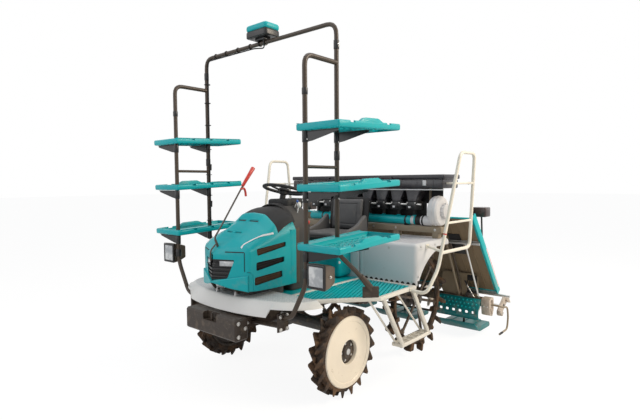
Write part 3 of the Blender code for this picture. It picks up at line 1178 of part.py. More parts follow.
def planting_frame():
    """Toolbar with hitch plates, four gear cases, table rails on stays, and an end hoop each side."""
    half = TOOLBAR_S / 2
    bar = block((TOOLBAR_X - half, TOOLBAR_X + half), (-TOOLBAR_HALF, TOOLBAR_HALF),
                (TOOLBAR_Z - half, TOOLBAR_Z + half))
    hitch = pair(lambda: plate([(TOOLBAR_X - 0.02, 0.30), (TOOLBAR_X - 0.02, 0.44), (TOP_END.x - 0.03, TOP_END.z + 0.03),
                                (TOP_END.x + 0.028, TOP_END.z + 0.03), (TOP_END.x + 0.028, LOW_END.z - 0.03),
                                (LOW_END.x - 0.03, LOW_END.z - 0.03)], "y", 0.150, 0.162))
    low_pin = rod((LOW_END.x, -LOW_LINK_Y - 0.02, LOW_END.z), (LOW_END.x, LOW_LINK_Y + 0.02, LOW_END.z), PIN_R, 12)
    top_pin = rod((TOP_END.x, -0.155, TOP_END.z), (TOP_END.x, 0.155, TOP_END.z), PIN_R, 12)
    cases = []
    for y in CASE_Y:
        nose = circle(ROTOR_X, ROTOR_Z, 0.042, 6, math.pi / 2, math.pi)
        cases.append(plate([(TOOLBAR_X - half + 0.004, TOOLBAR_Z + 0.032), *nose,
                            (TOOLBAR_X - half + 0.004, TOOLBAR_Z - 0.036)], "y", y - GEAR_CASE_W / 2, y + GEAR_CASE_W / 2))
    bores = [rod((ROTOR_X, y - 0.08, ROTOR_Z), (ROTOR_X, y + 0.08, ROTOR_Z), PIN_R + RUN, 12) for y in CASE_Y]
    stays = []
    for y in (-0.70, -0.21, 0.21, 0.70):
        foot = on_table(FOOT_DOWN, UNDER - RAIL_TUBE_R, y)
        guide = on_table(GUIDE_DOWN, UNDER - RAIL_TUBE_R, y)
        knee = Vector((TOOLBAR_X + 0.030, y, TOOLBAR_Z + 0.20))
        stays.append(tube([(TOOLBAR_X, y, TOOLBAR_Z), knee, guide], 0.012))
        stays.append(rod((TOOLBAR_X, y, TOOLBAR_Z), foot, 0.012, 6))
    rails = []
    for down in (GUIDE_DOWN, FOOT_DOWN):
        a, b = on_table(down, UNDER - RAIL_TUBE_R, -LEFT_REACH), on_table(down, UNDER - RAIL_TUBE_R, LEFT_REACH)
        rails.append(rod(a, b, RAIL_TUBE_R, 10))
    struts = pair(lambda: rod((TOOLBAR_X + 0.004, TOOLBAR_HALF - 0.030, TOOLBAR_Z),
                              on_table(GUIDE_DOWN, UNDER - RAIL_TUBE_R, TOOLBAR_HALF - 0.075), 0.009, 6))
    pulleys = pair(lambda: rod((TOOLBAR_X + 0.015, PULLEY_Y, TOOLBAR_Z + half - 0.002),
                               (TOOLBAR_X + 0.015, PULLEY_Y, TOOLBAR_Z + half + 0.032), 0.044, 12, 0.038))
    castings = pair(lambda: plate([(TOOLBAR_X - 0.060, TOOLBAR_Z + 0.048), (TOOLBAR_X + 0.030, TOOLBAR_Z + 0.048),
                                   (TOOLBAR_X + 0.055, TOOLBAR_Z + 0.010), (TOOLBAR_X + 0.030, TOOLBAR_Z - 0.120),
                                   (TOOLBAR_X - 0.035, TOOLBAR_Z - 0.140), (TOOLBAR_X - 0.070, TOOLBAR_Z - 0.070)],
                                  "y", TOOLBAR_HALF - 0.002, TOOLBAR_HALF + 0.085))
    low, high = TOOLBAR_Z + half - 0.004, COVER_TOP
    covers = pair(lambda: plate([(COVER_INNER, low), (COVER_OUTER, low), (COVER_OUTER, high - 0.060),
                                 *circle(COVER_OUTER - 0.060, high - 0.060, 0.060, 3, 0.0, math.pi / 2),
                                 *circle(COVER_INNER + 0.060, high - 0.060, 0.060, 3, math.pi / 2, math.pi / 2)],
                                "x", TOOLBAR_X - 0.004, TOOLBAR_X + 0.004,
                                [[(COVER_OUTER - 0.105, low + 0.060), (COVER_OUTER - 0.020, low + 0.060),
                                  (COVER_OUTER - 0.020, high - 0.070), (COVER_OUTER - 0.105, high - 0.070)]]))
    out = TOOLBAR_HALF + 0.190
    hoops = pair(lambda: tube([(TOOLBAR_X, TOOLBAR_HALF - 0.01, TOOLBAR_Z - 0.01), (TOOLBAR_X - 0.005, out, TOOLBAR_Z - 0.025),
                               (-0.860, out, 0.310), (-0.885, out, 0.200), (-0.860, out, 0.090), (-0.660, out, 0.085)],
                              0.009, 0.04))
    return part("planting_frame", BEIGE, fuse([bar, *hitch, low_pin, top_pin, *cases, *stays, *rails, *struts,
                                                *pulleys, *castings, *covers, *hoops], bores))


def rotor(index, y):
    """A pair of rotary cases on one shaft, each with two planting arms a half turn apart."""
    centre = Vector((ROTOR_X, y, ROTOR_Z))
    shaft = rod(centre + Vector((0, -ROW_PITCH / 2 - 0.01, 0)), centre + Vector((0, ROW_PITCH / 2 + 0.01, 0)), PIN_R, 12)
    pieces = []
    for s in (1, -1):
        mid = y + s * ROW_PITCH / 2
        lean = math.pi - 0.62 + (0.0 if s > 0 else math.pi / 2)
        def at(r, a):
            return (ROTOR_X + r * math.cos(a), ROTOR_Z + r * math.sin(a))
        u, v = at(0.085, lean)
        p, q = at(0.085, lean + math.pi)
        case = circle(u, v, 0.040, 5, lean - math.pi / 2, math.pi) + circle(p, q, 0.040, 5, lean + math.pi / 2, math.pi)
        pieces.append(plate(case, "y", mid - 0.017, mid + 0.017))
        for turn in (0, math.pi):
            a = lean + turn
            arm = [at(0.070, a - 0.35), at(0.118, a - 0.25), at(0.128, a + 0.1), at(ROTOR_R, a + 0.62), at(0.118, a + 0.50)]
            pieces.append(plate(arm, "y", mid - 0.013 + s * 0.023, mid + 0.013 + s * 0.023))
    return part("rotor_%d" % index, CASTING, fuse([shaft, *pieces]), centre)


LAMP_DOWN = 0.350
LAMP_Z = 1.262


def seedling_table():
    """Sloped table: panel, lane ribs, side plates and tail lamps on stalks, slid to its right-hand end."""
    half = TABLE_HALF
    def sloped(down, out, y):
        corners = []
        for d, o in ((down[0], out[0]), (down[1], out[0]), (down[1], out[1]), (down[0], out[1])):
            corners.append(on_table(d, o))
        return plate([(c.x, c.z) for c in corners], "y", y[0], y[1])
    panel = sloped((0.0, TABLE_LENGTH), (-0.010, TABLE_T - 0.010), (-half, half))
    lane = 2 * (half - 0.006) / 8
    ribs = [sloped((0.02, TABLE_LENGTH - 0.02), (0.0, 0.034), (y - 0.004, y + 0.004))
            for y in (lane * (i - 3) for i in range(7))]
    sides = [sloped((-0.01, TABLE_LENGTH + 0.005), (-0.018, 0.052), (min(a, b), max(a, b)))
             for a, b in ((half - 0.008, half + 0.006), (-half + 0.008, -half - 0.006))]
    joists = [sloped((d, d + 0.030), (UNDER + SEAM, -0.004), (-half + 0.01, half - 0.01)) for d in (GUIDE_DOWN - 0.015, FOOT_DOWN - 0.020)]
    root = on_table(LAMP_DOWN, 0.0)
    stalks = pair(lambda: rod((root.x, half - 0.004, root.z), (root.x + 0.020, half - 0.004, LAMP_Z), 0.009, 6))
    lamps = pair(lambda: block((root.x - 0.040, root.x + 0.075), (half - 0.050, half + 0.004), (LAMP_Z - 0.045, LAMP_Z + 0.048)))
    solid = fuse([panel, *ribs, *sides, *joists, *stalks, *lamps])
    moved(solid, Matrix.Translation((0, TABLE_SHIFT, 0)))
    return part("seedling_table", TEAL, solid, on_table(0.0, 0.0, TABLE_SHIFT))


def mud_guard(side, s):
    """Perforated teal plate under the front of the toolbar, curled back along its foot."""
    y0, y1 = 0.480, TOOLBAR_HALF - 0.004
    front = TOOLBAR_X + TOOLBAR_S / 2 + SEAM
    outline = [(front, TOOLBAR_Z + 0.030), (front + 0.012, TOOLBAR_Z + 0.030), (front + 0.060, 0.300), (front + 0.072, 0.235),
               (front + 0.050, 0.190), (front - 0.010, 0.180), (front - 0.006, 0.192), (front + 0.040, 0.204),
               (front + 0.057, 0.240), (front + 0.046, 0.296), (front, TOOLBAR_Z - 0.030)]
    body = plate(outline, "y", y0, y1)
    holes = [rod((front - 0.03, y0 + 0.055 + 0.068 * i, 0.262), (front + 0.12, y0 + 0.055 + 0.068 * i, 0.262), 0.014, 6) for i in range(6)]
    solid = fuse([body], holes)
    if s < 0:
        moved(solid, Matrix.Diagonal((1, -1, 1, 1)))
    return part("mud_guard_" + side, TEAL, solid)


def floats():
    """Three floats on one cross pipe, which hangs from the toolbar."""
    boats = []
    for y, half, front in ((0.0, 0.20, -0.50), (0.70, 0.20, -0.60), (-0.70, 0.20, -0.60)):
        boats.append(plate([(front, 0.145), (front + 0.004, 0.160), (front - 0.09, 0.105), (-0.970, 0.100), (-0.985, 0.070),
                             (-0.970, FLOAT_BOTTOM), (front - 0.14, FLOAT_BOTTOM)], "y", y - half, y + half))
    pipe = rod((-0.80, -0.84, 0.150), (-0.80, 0.84, 0.150), 0.012, 8)
    ears = [block((-0.815, -0.785), (y - 0.006, y + 0.006), (0.09, 0.165)) for y in (-0.70, 0.0, 0.70)]
    hangers = [plate([(-0.812, 0.140), (-0.788, 0.140), (TOOLBAR_X - 0.020, TOOLBAR_Z - TOOLBAR_S / 2 - SEAM),
                      (TOOLBAR_X - 0.044 + 0.006, TOOLBAR_Z - TOOLBAR_S / 2 - SEAM)], "y", y - 0.006, y + 0.006)
               for y in (-0.42, 0.42)]
    return part("floats", TEAL, fuse([*boats, pipe, *ears, *hangers]))


chassis_frame()
front_axle()
rear_axle()
engine_block()
front_bumper()
front_deck()
floor_deck()
seat_base()
seat()
dash_cowl()
steering_wheel()
bonnet()
grille()
centre_pole()
rack_arch()
antenna()
antenna_cable()
fertiliser_frame()
hopper()
hopper_lid()
metering_units()
air_duct()
blower()
upper_link()
lower_links()
lift_cylinder()
lift_rod()
planting_frame()
seedling_table()
floats()
for side, s in SIDES:
    knuckle(side, s)
    front_wheel(side, s)
    rear_wheel(side, s)
    side_deck(side, s)
    rear_fender(side, s)
    rack(side, s)
    work_lamp(side, s)
    handrail(side, s)
    mud_guard(side, s)
for index, y in enumerate(CASE_Y):
    rotor(index + 1, y)
bpy.context.view_layer.update()
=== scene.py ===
import json
import math

import bpy
from mathutils import Matrix, Vector


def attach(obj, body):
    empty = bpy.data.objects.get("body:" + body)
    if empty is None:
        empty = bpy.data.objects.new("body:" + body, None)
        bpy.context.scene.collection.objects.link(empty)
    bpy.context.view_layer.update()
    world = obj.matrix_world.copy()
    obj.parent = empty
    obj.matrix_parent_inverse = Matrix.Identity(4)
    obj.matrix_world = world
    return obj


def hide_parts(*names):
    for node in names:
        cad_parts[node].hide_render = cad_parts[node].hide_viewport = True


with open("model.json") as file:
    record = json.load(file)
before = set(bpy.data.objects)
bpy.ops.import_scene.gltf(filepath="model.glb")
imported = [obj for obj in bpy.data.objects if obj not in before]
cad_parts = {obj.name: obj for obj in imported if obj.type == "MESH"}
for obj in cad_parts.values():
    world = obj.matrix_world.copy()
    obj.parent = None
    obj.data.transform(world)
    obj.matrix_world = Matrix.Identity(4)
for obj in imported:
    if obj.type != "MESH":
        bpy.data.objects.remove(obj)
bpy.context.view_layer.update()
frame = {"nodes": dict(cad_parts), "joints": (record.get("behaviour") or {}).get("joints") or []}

# Camera and studio. Every length below is taken from the point on the ground under the rear
# axle, x forward and y to the driver's left. TO_FRAME moves a finished piece into the frame.
pins = {j["name"]: j.get("pos_m") for j in frame["joints"]}
left_pin, right_pin = pins["spin_rear_left"], pins["spin_rear_right"]
TO_FRAME = Vector((left_pin[0], (left_pin[1] + right_pin[1]) / 2, 0))
EYE = Vector((3.8504, 2.7738, 1.5513)) + TO_FRAME
YAW, PITCH, ROLL = -2.42608, -0.05833, -0.00654
FOCAL_PX, PHOTO_WIDTH, SENSOR_MM = 476.94, 640, 36.0

look = Vector((math.cos(PITCH) * math.cos(YAW), math.cos(PITCH) * math.sin(YAW), math.sin(PITCH)))
level_right = look.cross((0, 0, 1)).normalized()
level_up = level_right.cross(look)
right = level_right * math.cos(ROLL) + level_up * math.sin(ROLL)
up = -level_right * math.sin(ROLL) + level_up * math.cos(ROLL)
turn = Matrix((right, up, -look)).transposed().to_4x4()
bpy.ops.object.camera_add()
camera = bpy.context.object
camera.name = "camera"
camera.matrix_world = Matrix.Translation(EYE) @ turn
camera.data.sensor_width = SENSOR_MM
camera.data.lens = FOCAL_PX / PHOTO_WIDTH * SENSOR_MM
camera.data.clip_end = 200
bpy.context.scene.camera = camera
bpy.context.scene.view_settings.view_transform = "Standard"


class Feed:
    """A value inside a material. Sums and products of feeds add the Math nodes they need."""

    def __init__(self, tree, socket):
        self.tree, self.socket = tree, socket

    def node(self, kind, settings=None, feeds=None, out=0):
        """A new node with its settings and inputs, as the Feed of one of its outputs."""
        made = self.tree.nodes.new("ShaderNode" + kind)
        for name, value in (settings or {}).items():
            setattr(made, name, value)
        for name, value in (feeds or {}).items():
            if isinstance(value, Feed):
                self.tree.links.new(value.socket, made.inputs[name])
            else:
                made.inputs[name].default_value = value
        return Feed(self.tree, made.outputs[out])

    def reckon(self, operation, other):
        """A Math node of this value and another."""
        return self.node("Math", {"operation": operation}, {0: self, 1: other})

    def __add__(self, other):
        return self.reckon("ADD", other)

    def __mul__(self, other):
        return self.reckon("MULTIPLY", other)

    def ease(self, low, high, start=0.0, end=1.0):
        """Runs softly from start to end while this value goes from low to high."""
        return self.node("MapRange", {"interpolation_type": "SMOOTHSTEP"},
                         {"Value": self, "From Min": low, "From Max": high, "To Min": start, "To Max": end})

    def blend(self, low, high):
        """This value as the share of colour high over colour low."""
        colours = [c if isinstance(c, Feed) else (*c, 1.0) for c in (low, high)]
        return self.node("Mix", {"data_type": "RGBA"}, {0: self, 6: colours[0], 7: colours[1]}, 2)

    def noise(self, scale, detail=2.0, rough=0.5):
        return self.node("TexNoise", None,
                         {"Vector": self, "Scale": scale, "Detail": detail, "Roughness": rough})

    def axis(self, letter):
        return self.node("SeparateXYZ", None, {0: self}, "XYZ".index(letter))


def material(name, colour, roughness, metallic=0.0, coat=0.0, coat_roughness=0.2):
    """A new finish: its shader's sockets by name, and Object coordinates as a Feed."""
    made = bpy.data.materials.new(name)
    made.use_nodes = True
    tree = made.node_tree
    shader = tree.nodes["Principled BSDF"]
    shader.inputs["Base Color"].default_value = (*colour, 1.0)
    shader.inputs["Roughness"].default_value = roughness
    shader.inputs["Metallic"].default_value = metallic
    shader.inputs["Specular IOR Level"].default_value = 0.28
    shader.inputs["Coat Weight"].default_value = coat
    shader.inputs["Coat Roughness"].default_value = coat_roughness
    place = Feed(tree, tree.nodes.new("ShaderNodeTexCoord").outputs["Object"])

    def into(socket, value):
        tree.links.new(value.socket, shader.inputs[socket])

    def bump(height, strength, distance=0.001):
        into("Normal", height.node("Bump", None,
                                   {"Height": height, "Strength": strength, "Distance": distance}))

    return made, place, into, bump


# The studio: a pale floor that keeps the machine's soft shadow, a bright backdrop that only the
# camera sees, one large warm light on the side that the photograph has it, and two fills.
def studio_floor():
    made = material("floor_pale", (0.8, 0.8, 0.79), 0.9)[0]
    tree = made.node_tree
    shader = tree.nodes["Principled BSDF"]
    rays = tree.nodes.new("ShaderNodeLightPath")
    seen = (Feed(tree, rays.outputs["Is Camera Ray"]) * 0.84).reckon("MAXIMUM",
        Feed(tree, rays.outputs["Is Glossy Ray"]) * 0.4)
    glow = seen.node("Emission", None, {"Color": (1, 1, 1, 1), "Strength": 1.09})
    mix = seen.node("MixShader", None, {0: seen, 1: Feed(tree, shader.outputs[0]), 2: glow})
    tree.links.new(mix.socket, tree.nodes["Material Output"].inputs["Surface"])
    return made


bpy.ops.mesh.primitive_plane_add(size=120)
floor = bpy.context.object
floor.name = "studio_floor"
floor.data.materials.append(studio_floor())

world = bpy.data.worlds.new("studio")
bpy.context.scene.world = world
world.use_nodes = True
sky = world.node_tree
rays = sky.nodes.new("ShaderNodeLightPath")
seen = Feed(sky, rays.outputs["Is Camera Ray"]).reckon("MAXIMUM", Feed(sky, rays.outputs["Is Glossy Ray"]))
seen = seen.reckon("MAXIMUM", Feed(sky, rays.outputs["Is Transmission Ray"]))
plain = seen.node("Background", None, {"Color": (0.94, 0.96, 1.0, 1), "Strength": 0.42})
white = seen.node("Background", None, {"Color": (1, 1, 1, 1), "Strength": 1.0})
chosen = seen.node("MixShader", None, {0: seen, 1: plain, 2: white})
sky.links.new(chosen.socket, sky.nodes["World Output"].inputs["Surface"])

for name, place, power, width, tint in (("key_light", (-1.8, 5.2, 4.4), 310, 3.0, (1.0, 0.87, 0.7)),
                                        ("fill_light", (5.0, -1.5, 3.2), 68, 4.5, (0.96, 0.97, 1.0)),
                                        ("top_light", (0.5, 0.3, 6.5), 90, 5.0, (0.97, 0.98, 1.0))):
    bpy.ops.object.light_add(type="AREA", location=place)
    lamp = bpy.context.object
    lamp.name = name
    lamp.data.energy, lamp.data.size, lamp.data.color = power, width, tint
    lamp.rotation_euler = (Vector((0, 0, 1.0)) - Vector(place)).to_track_quat("-Z", "Y").to_euler()


# Frame, axles and engine. Square box rails and round axle cases of welded and cast steel in a
# dark satin enamel, dusty low down, with bright bolts where the plates are joined.
def let_go():
    """Deselects everything, in object mode."""
    if bpy.context.object and bpy.context.object.mode != "OBJECT":
        bpy.ops.object.mode_set(mode="OBJECT")
    bpy.ops.object.select_all(action="DESELECT")


def hold(piece):
    let_go()
    piece.select_set(True)
    bpy.context.view_layer.objects.active = piece
    return piece


def opened():
    """Goes into edit mode with the whole mesh selected."""
    bpy.ops.object.mode_set(mode="EDIT")
    bpy.ops.mesh.select_all(action="SELECT")


def shut():
    """Turns every face outwards and leaves edit mode."""
    bpy.ops.mesh.select_all(action="SELECT")
    bpy.ops.mesh.normals_make_consistent(inside=False)
    bpy.ops.object.mode_set(mode="OBJECT")


def settled(name):
    """Names the piece just made and puts its place into its mesh."""
    piece = bpy.context.object
    piece.name = piece.data.name = name
    bpy.ops.object.transform_apply(location=True, rotation=True, scale=True)
    return piece


def eased(piece, edge, rounds=2, angle=30):
    """Rounds every edge sharper than the angle."""
    hold(piece)
    bevel = piece.modifiers.new("edge", "BEVEL")
    bevel.width, bevel.segments = edge, rounds
    bevel.limit_method, bevel.angle_limit = "ANGLE", math.radians(angle)
    bpy.ops.object.modifier_apply(modifier=bevel.name)
    return piece


def stock(name, low, high, edge=0.0, rounds=2):
    """A block between two corners, its edges eased."""
    low, high = Vector(low), Vector(high)
    let_go()
    bpy.ops.mesh.primitive_cube_add(size=1, location=(low + high) / 2)
    bpy.context.object.scale = high - low
    piece = settled(name)
    return eased(piece, edge, rounds) if edge else piece


def bar(name, start, end, radius, sides=16, end_radius=None, edge=0.0):
    """A round bar, or a cone, between two points."""
    start, end = Vector(start), Vector(end)
    let_go()
    bpy.ops.mesh.primitive_cone_add(vertices=sides, radius1=radius, radius2=radius
                                    if end_radius is None else end_radius, depth=(end - start).length,
                                    location=(start + end) / 2,
                                    rotation=(end - start).to_track_quat("Z", "Y").to_euler())
    piece = settled(name)
    return eased(piece, edge) if edge else piece


def bent(route, corner, steps=5):
    """A route of points with its inner corners turned into arcs."""
    route = [Vector(p) for p in route]
    path = [route[0]]
    for before, here, after in zip(route, route[1:], route[2:]):
        into, out = before - here, after - here
        reach = min(corner, 0.48 * into.length, 0.48 * out.length)
        first, last = here + into.normalized() * reach, here + out.normalized() * reach
        for i in range(steps + 1):
            t = i / steps
            path.append(first * (1 - t) ** 2 + here * (2 * t * (1 - t)) + last * t ** 2)
    return path + [route[-1]]


def pipe(name, route, radius, corner=0.0, sides=12, closed=False):
    """A bent tube with closed ends."""
    let_go()
    bpy.ops.curve.primitive_bezier_curve_add()
    curve = bpy.context.object.data
    curve.splines.clear()
    path = bent(route, corner) if corner else [Vector(p) for p in route]
    spline = curve.splines.new("POLY")
    spline.points.add(len(path) - 1)
    for point, place in zip(spline.points, path):
        point.co = (*place, 1.0)
    spline.use_cyclic_u = closed
    curve.bevel_depth, curve.bevel_resolution, curve.use_fill_caps = radius, sides // 2 - 2, not closed
    bpy.ops.object.convert(target="MESH")
    return settled(name)


def cut_sheet(name, outline, across, low, high, edge=0.0):
    """Sheet cut to an outline: (y, z) across x, (x, z) across y, (x, y) across z."""
    let_go()
    bpy.ops.mesh.primitive_circle_add(vertices=len(outline), fill_type="NGON")
    piece = bpy.context.object
    spots = {"x": lambda u, v: (low, u, v), "y": lambda u, v: (u, low, v), "z": lambda u, v: (u, v, low)}
    for corner, (u, v) in zip(piece.data.vertices, outline):
        corner.co = spots[across](u, v)
    opened()
    step = Vector([high - low if axis == across else 0.0 for axis in "xyz"])
    bpy.ops.mesh.extrude_region_move(TRANSFORM_OT_translate={"value": step})
    shut()
    piece = settled(name)
    return eased(piece, edge) if edge else piece


def spun(name, profile, centre, steps=48):
    """A closed half section of (radius, offset) points spun about a line across the machine."""
    centre = Vector(centre)
    let_go()
    bpy.ops.mesh.primitive_circle_add(vertices=len(profile), fill_type="NOTHING")
    piece = bpy.context.object
    for corner, (radius, offset) in zip(piece.data.vertices, profile):
        corner.co = centre + Vector((radius, offset, 0))
    opened()
    bpy.ops.mesh.spin(steps=steps, angle=2 * math.pi, center=centre, axis=(0, 1, 0))
    bpy.ops.mesh.select_all(action="SELECT")
    bpy.ops.mesh.remove_doubles(threshold=0.00002)
    shut()
    return settled(name)


def copy_at(piece, matrix):
    """A copy with its own mesh, moved or mirrored by a matrix."""
    made = piece.copy()
    made.data = piece.data.copy()
    bpy.context.collection.objects.link(made)
    made.data.transform(matrix)
    if matrix.determinant() < 0:
        made.data.flip_normals()
    return made


MIRROR = Matrix.Diagonal((1, -1, 1, 1))


def both_sides(*pieces):
    """Each piece followed by its mirror image."""
    return [p for piece in pieces for p in (piece, copy_at(piece, MIRROR))]


def coated(piece, finish):
    """Gives a piece one finish in place of any others."""
    piece.data.materials.clear()
    piece.data.materials.append(finish)
    return piece


def joined(name, pieces):
    """Several pieces as one, each keeping its own finish."""
    hold(pieces[0])
    for piece in pieces:
        piece.select_set(True)
    bpy.ops.object.join()
    pieces[0].name = pieces[0].data.name = name
    return pieces[0]


def carved(piece, cutters, operation="DIFFERENCE"):
    """Cuts the piece with others, or keeps only what it shares with them."""
    tool = joined("cutter", cutters) if len(cutters) > 1 else cutters[0]
    hold(piece)
    cut = piece.modifiers.new("cut", "BOOLEAN")
    cut.operation, cut.object, cut.solver = operation, tool, "EXACT"
    bpy.ops.object.modifier_apply(modifier=cut.name)
    bpy.data.objects.remove(tool, do_unlink=True)
    return piece


def fitted(piece, body, slot, *nodes, crease=35):
    """Smooths a piece, moves it into the frame and hangs it on its body, in place of nodes named."""
    hold(piece)
    bpy.ops.object.shade_smooth_by_angle(angle=math.radians(crease))
    piece.data.transform(Matrix.Translation(TO_FRAME))
    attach(piece, body)
    if nodes:
        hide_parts(*nodes)


def painted(*nodes, finish):
    """Gives CAD nodes that stay their finish."""
    for node in nodes:
        piece = frame["nodes"][node]
        piece.data.materials.clear()
        piece.data.materials.append(finish)


def enamel(name, colour, roughness, dust=(0.3, 0.23, 0.16), dusty=0.5, metallic=0.0, coat=0.0, chips=0.0):
    """Paint on steel: cloudy tone, orange peel, small chips, and dust that thins out upwards."""
    made, place, into, bump = material(name, colour, roughness, metallic, coat)
    cloud = place.noise(5.0, 3.0)
    fine = place.noise(260.0, 2.0)
    low = place.axis("Z").ease(0.15, 1.0, 1.0, 0.25)
    dirt = place.noise(14.0, 5.0, 0.6).ease(0.48, 0.72) * low * dusty
    tone = cloud.blend(tuple(c * 0.86 for c in colour), tuple(min(1.0, c * 1.12) for c in colour))
    tone = dirt.blend(tone, dust)
    if chips:
        bare = place.noise(90.0, 3.0).ease(0.715, 0.735) * chips
        tone = bare.blend(tone, (0.42, 0.4, 0.38))
    into("Base Color", tone)
    into("Roughness", dirt * 0.35 + fine * 0.12 + (roughness - 0.06))
    bump(fine + place.noise(900.0) * 0.4, 0.1, 0.0006)
    return made


BROWN = enamel("brown_enamel", (0.046, 0.033, 0.025), 0.45, dusty=0.45, coat=0.12, chips=0.6)
CASE_GREY = enamel("case_grey", (0.085, 0.08, 0.078), 0.5, dusty=0.8, chips=0.4)
STEEL, place, into, bump = material("bright_steel", (0.62, 0.61, 0.59), 0.28, 1.0)
streak = place.node("Mapping", None, {"Vector": place, "Scale": (40, 40, 400)}).noise(4.0, 3.0)
into("Roughness", streak * 0.2 + 0.2)
bump(streak, 0.05, 0.0004)

painted("chassis_frame", finish=BROWN)
painted("front_axle", "rear_axle", "knuckle_left", "knuckle_right", "engine_block", finish=CASE_GREY)


def bolt(name, spot, way, radius=0.009, deep=0.007):
    """Hexagon head on a washer."""
    spot, way = Vector(spot), Vector(way).normalized()
    washer = bar(name, spot, spot + way * 0.002, radius * 1.45, 16)
    head = bar(name, spot + way * 0.002, spot + way * (0.002 + deep), radius, 6, edge=0.0009)
    return coated(joined(name, [washer, head]), STEEL)


rack_foot_bolts = [bolt("b", (1.625 + dx, 0.5108, z), (0, 1, 0), 0.01) for dx in (-0.03, 0.03)
                   for z in (0.562, 0.652)]
plate_bolts = [bolt("b", (x, 0.2004, 0.56), (0, 1, 0), 0.009) for x in (0.05, 0.42, 0.93, 1.34, 1.68)]
fitted(joined("frame_bolts", both_sides(*rack_foot_bolts, *plate_bolts)), "machine", "bright_steel")

# Front wheels. A narrow tyre with tall slanting bars for mud, on a rim whose outer side is closed
# by a pressed, cream painted disc with an open middle. The hub is bolted up in that opening.
FRONT_AXLE = Vector((1.166, 0.656, 0.325))
FRONT_BARS = 18


def mud_rubber():
    made, place, into, bump = material("tyre_rubber", (0.05, 0.035, 0.025), 0.85)
    grain = place.noise(120.0, 4.0)
    cake = place.noise(9.0, 5.0, 0.62).ease(0.42, 0.66)
    worn = place.noise(30.0, 3.0).ease(0.5, 0.7)
    tone = cake.blend((0.04, 0.029, 0.023), (0.15, 0.088, 0.05))
    tone = (worn * 0.5).blend(tone, (0.1, 0.064, 0.042))
    into("Base Color", tone)
    into("Roughness", cake * 0.22 + 0.7)
    bump(grain + cake * 0.8, 0.45, 0.0016)
    return made


def pressed_cream(name, colour=(0.8, 0.76, 0.67)):
    made, place, into, bump = material(name, colour, 0.42, coat=0.35)
    splash = place.noise(26.0, 6.0, 0.65).ease(0.6, 0.72) * place.axis("Z").ease(0.1, 0.75, 0.75, 0.05)
    cloud = place.noise(4.0, 2.0)
    tone = cloud.blend(tuple(c * 0.93 for c in colour), tuple(min(1, c * 1.06) for c in colour))
    into("Base Color", splash.blend(tone, (0.44, 0.33, 0.22)))
    into("Roughness", splash * 0.4 + 0.38)
    bump(place.noise(320.0, 2.0), 0.05, 0.0005)
    return made


RUBBER = mud_rubber()
DISC_CREAM = pressed_cream("disc_cream", (0.86, 0.775, 0.64))


def lug(axle, outwards, root, thick, sweep, across, edge, rounds):
    """A bar of tread or a paddle, from the tyre's middle outwards. root: its radius and how that
    changes to its outer end; thick: half of it at root and crown; sweep: turn and its growth to
    the crown; across: where it starts, its width and how that grows to the crown."""
    piece = stock("lug", (-1, -1, -1), (1, 1, 1))
    for corner in piece.data.vertices:
        along, tall = (corner.co.y + 1) / 2, (corner.co.z + 1) / 2
        radius = (root[0] + root[1] * along) * (1 - tall) + axle.z * tall
        half = thick[0] * (1 - tall) + thick[1] * tall
        angle = sweep[0] * along * (1 + sweep[1] * tall) + corner.co.x * half / radius
        offset = outwards * (across[0] + along * (across[1] + across[2] * tall))
        corner.co = axle + Vector((radius * math.sin(angle), offset, -radius * math.cos(angle)))
    hold(piece)
    opened()
    bpy.ops.mesh.normals_make_consistent(inside=False)
    bpy.ops.mesh.bevel(offset=edge, segments=rounds)
    bpy.ops.object.mode_set(mode="OBJECT")
    return piece


TREAD_BAR = {"root": (0.278, -0.014), "thick": (0.03, 0.009), "sweep": (math.radians(13), 0.0),
             "across": (0.002, 0.046, 0.008), "edge": 0.0035, "rounds": 2}


def turned_about(centre, angle):
    """A turn about a line across the machine."""
    return Matrix.Translation(centre) @ Matrix.Rotation(angle, 4, "Y") @ Matrix.Translation(-Vector(centre))


def ring_of(piece, centre, count, start=0.0):
    """Copies round a line across the machine; the first takes the place of the piece."""
    step = 2 * math.pi / count
    copies = [copy_at(piece, turned_about(centre, start + step * i)) for i in range(count)]
    bpy.data.objects.remove(piece, do_unlink=True)
    return copies


tyre = spun("tyre", [(0.232, -0.04), (0.25, -0.049), (0.268, -0.05), (0.28, -0.044), (0.2855, -0.03),
                     (0.287, 0.0), (0.2855, 0.03), (0.28, 0.044), (0.268, 0.05), (0.25, 0.049),
                     (0.232, 0.04)], FRONT_AXLE, 64)
pitch = 2 * math.pi / FRONT_BARS
tread = ring_of(lug(FRONT_AXLE, 1, **TREAD_BAR), FRONT_AXLE, FRONT_BARS, -0.08 * pitch)
tread += ring_of(lug(FRONT_AXLE, -1, **TREAD_BAR), FRONT_AXLE, FRONT_BARS, -0.58 * pitch)
tyre = coated(joined("tyre", [tyre, *tread]), RUBBER)
disc = spun("disc", [(0.087, 0.03), (0.087, 0.052), (0.0895, 0.056), (0.096, 0.0575), (0.104, 0.055),
                     (0.17, 0.0535), (0.219, 0.0535), (0.223, 0.0578), (0.244, 0.059), (0.254, 0.0575),
                     (0.259, 0.05), (0.256, 0.044), (0.23, 0.046), (0.106, 0.046), (0.093, 0.044),
                     (0.092, 0.03)], FRONT_AXLE, 72)
disc = coated(disc, DISC_CREAM)
rim = coated(spun("rim", [(0.022, -0.034), (0.19, -0.034), (0.216, -0.028), (0.224, -0.046), (0.24, -0.051),
                          (0.244, -0.045), (0.236, -0.03), (0.236, 0.044), (0.226, 0.044), (0.224, -0.016),
                          (0.19, -0.026), (0.022, -0.026)], FRONT_AXLE, 64), BROWN)
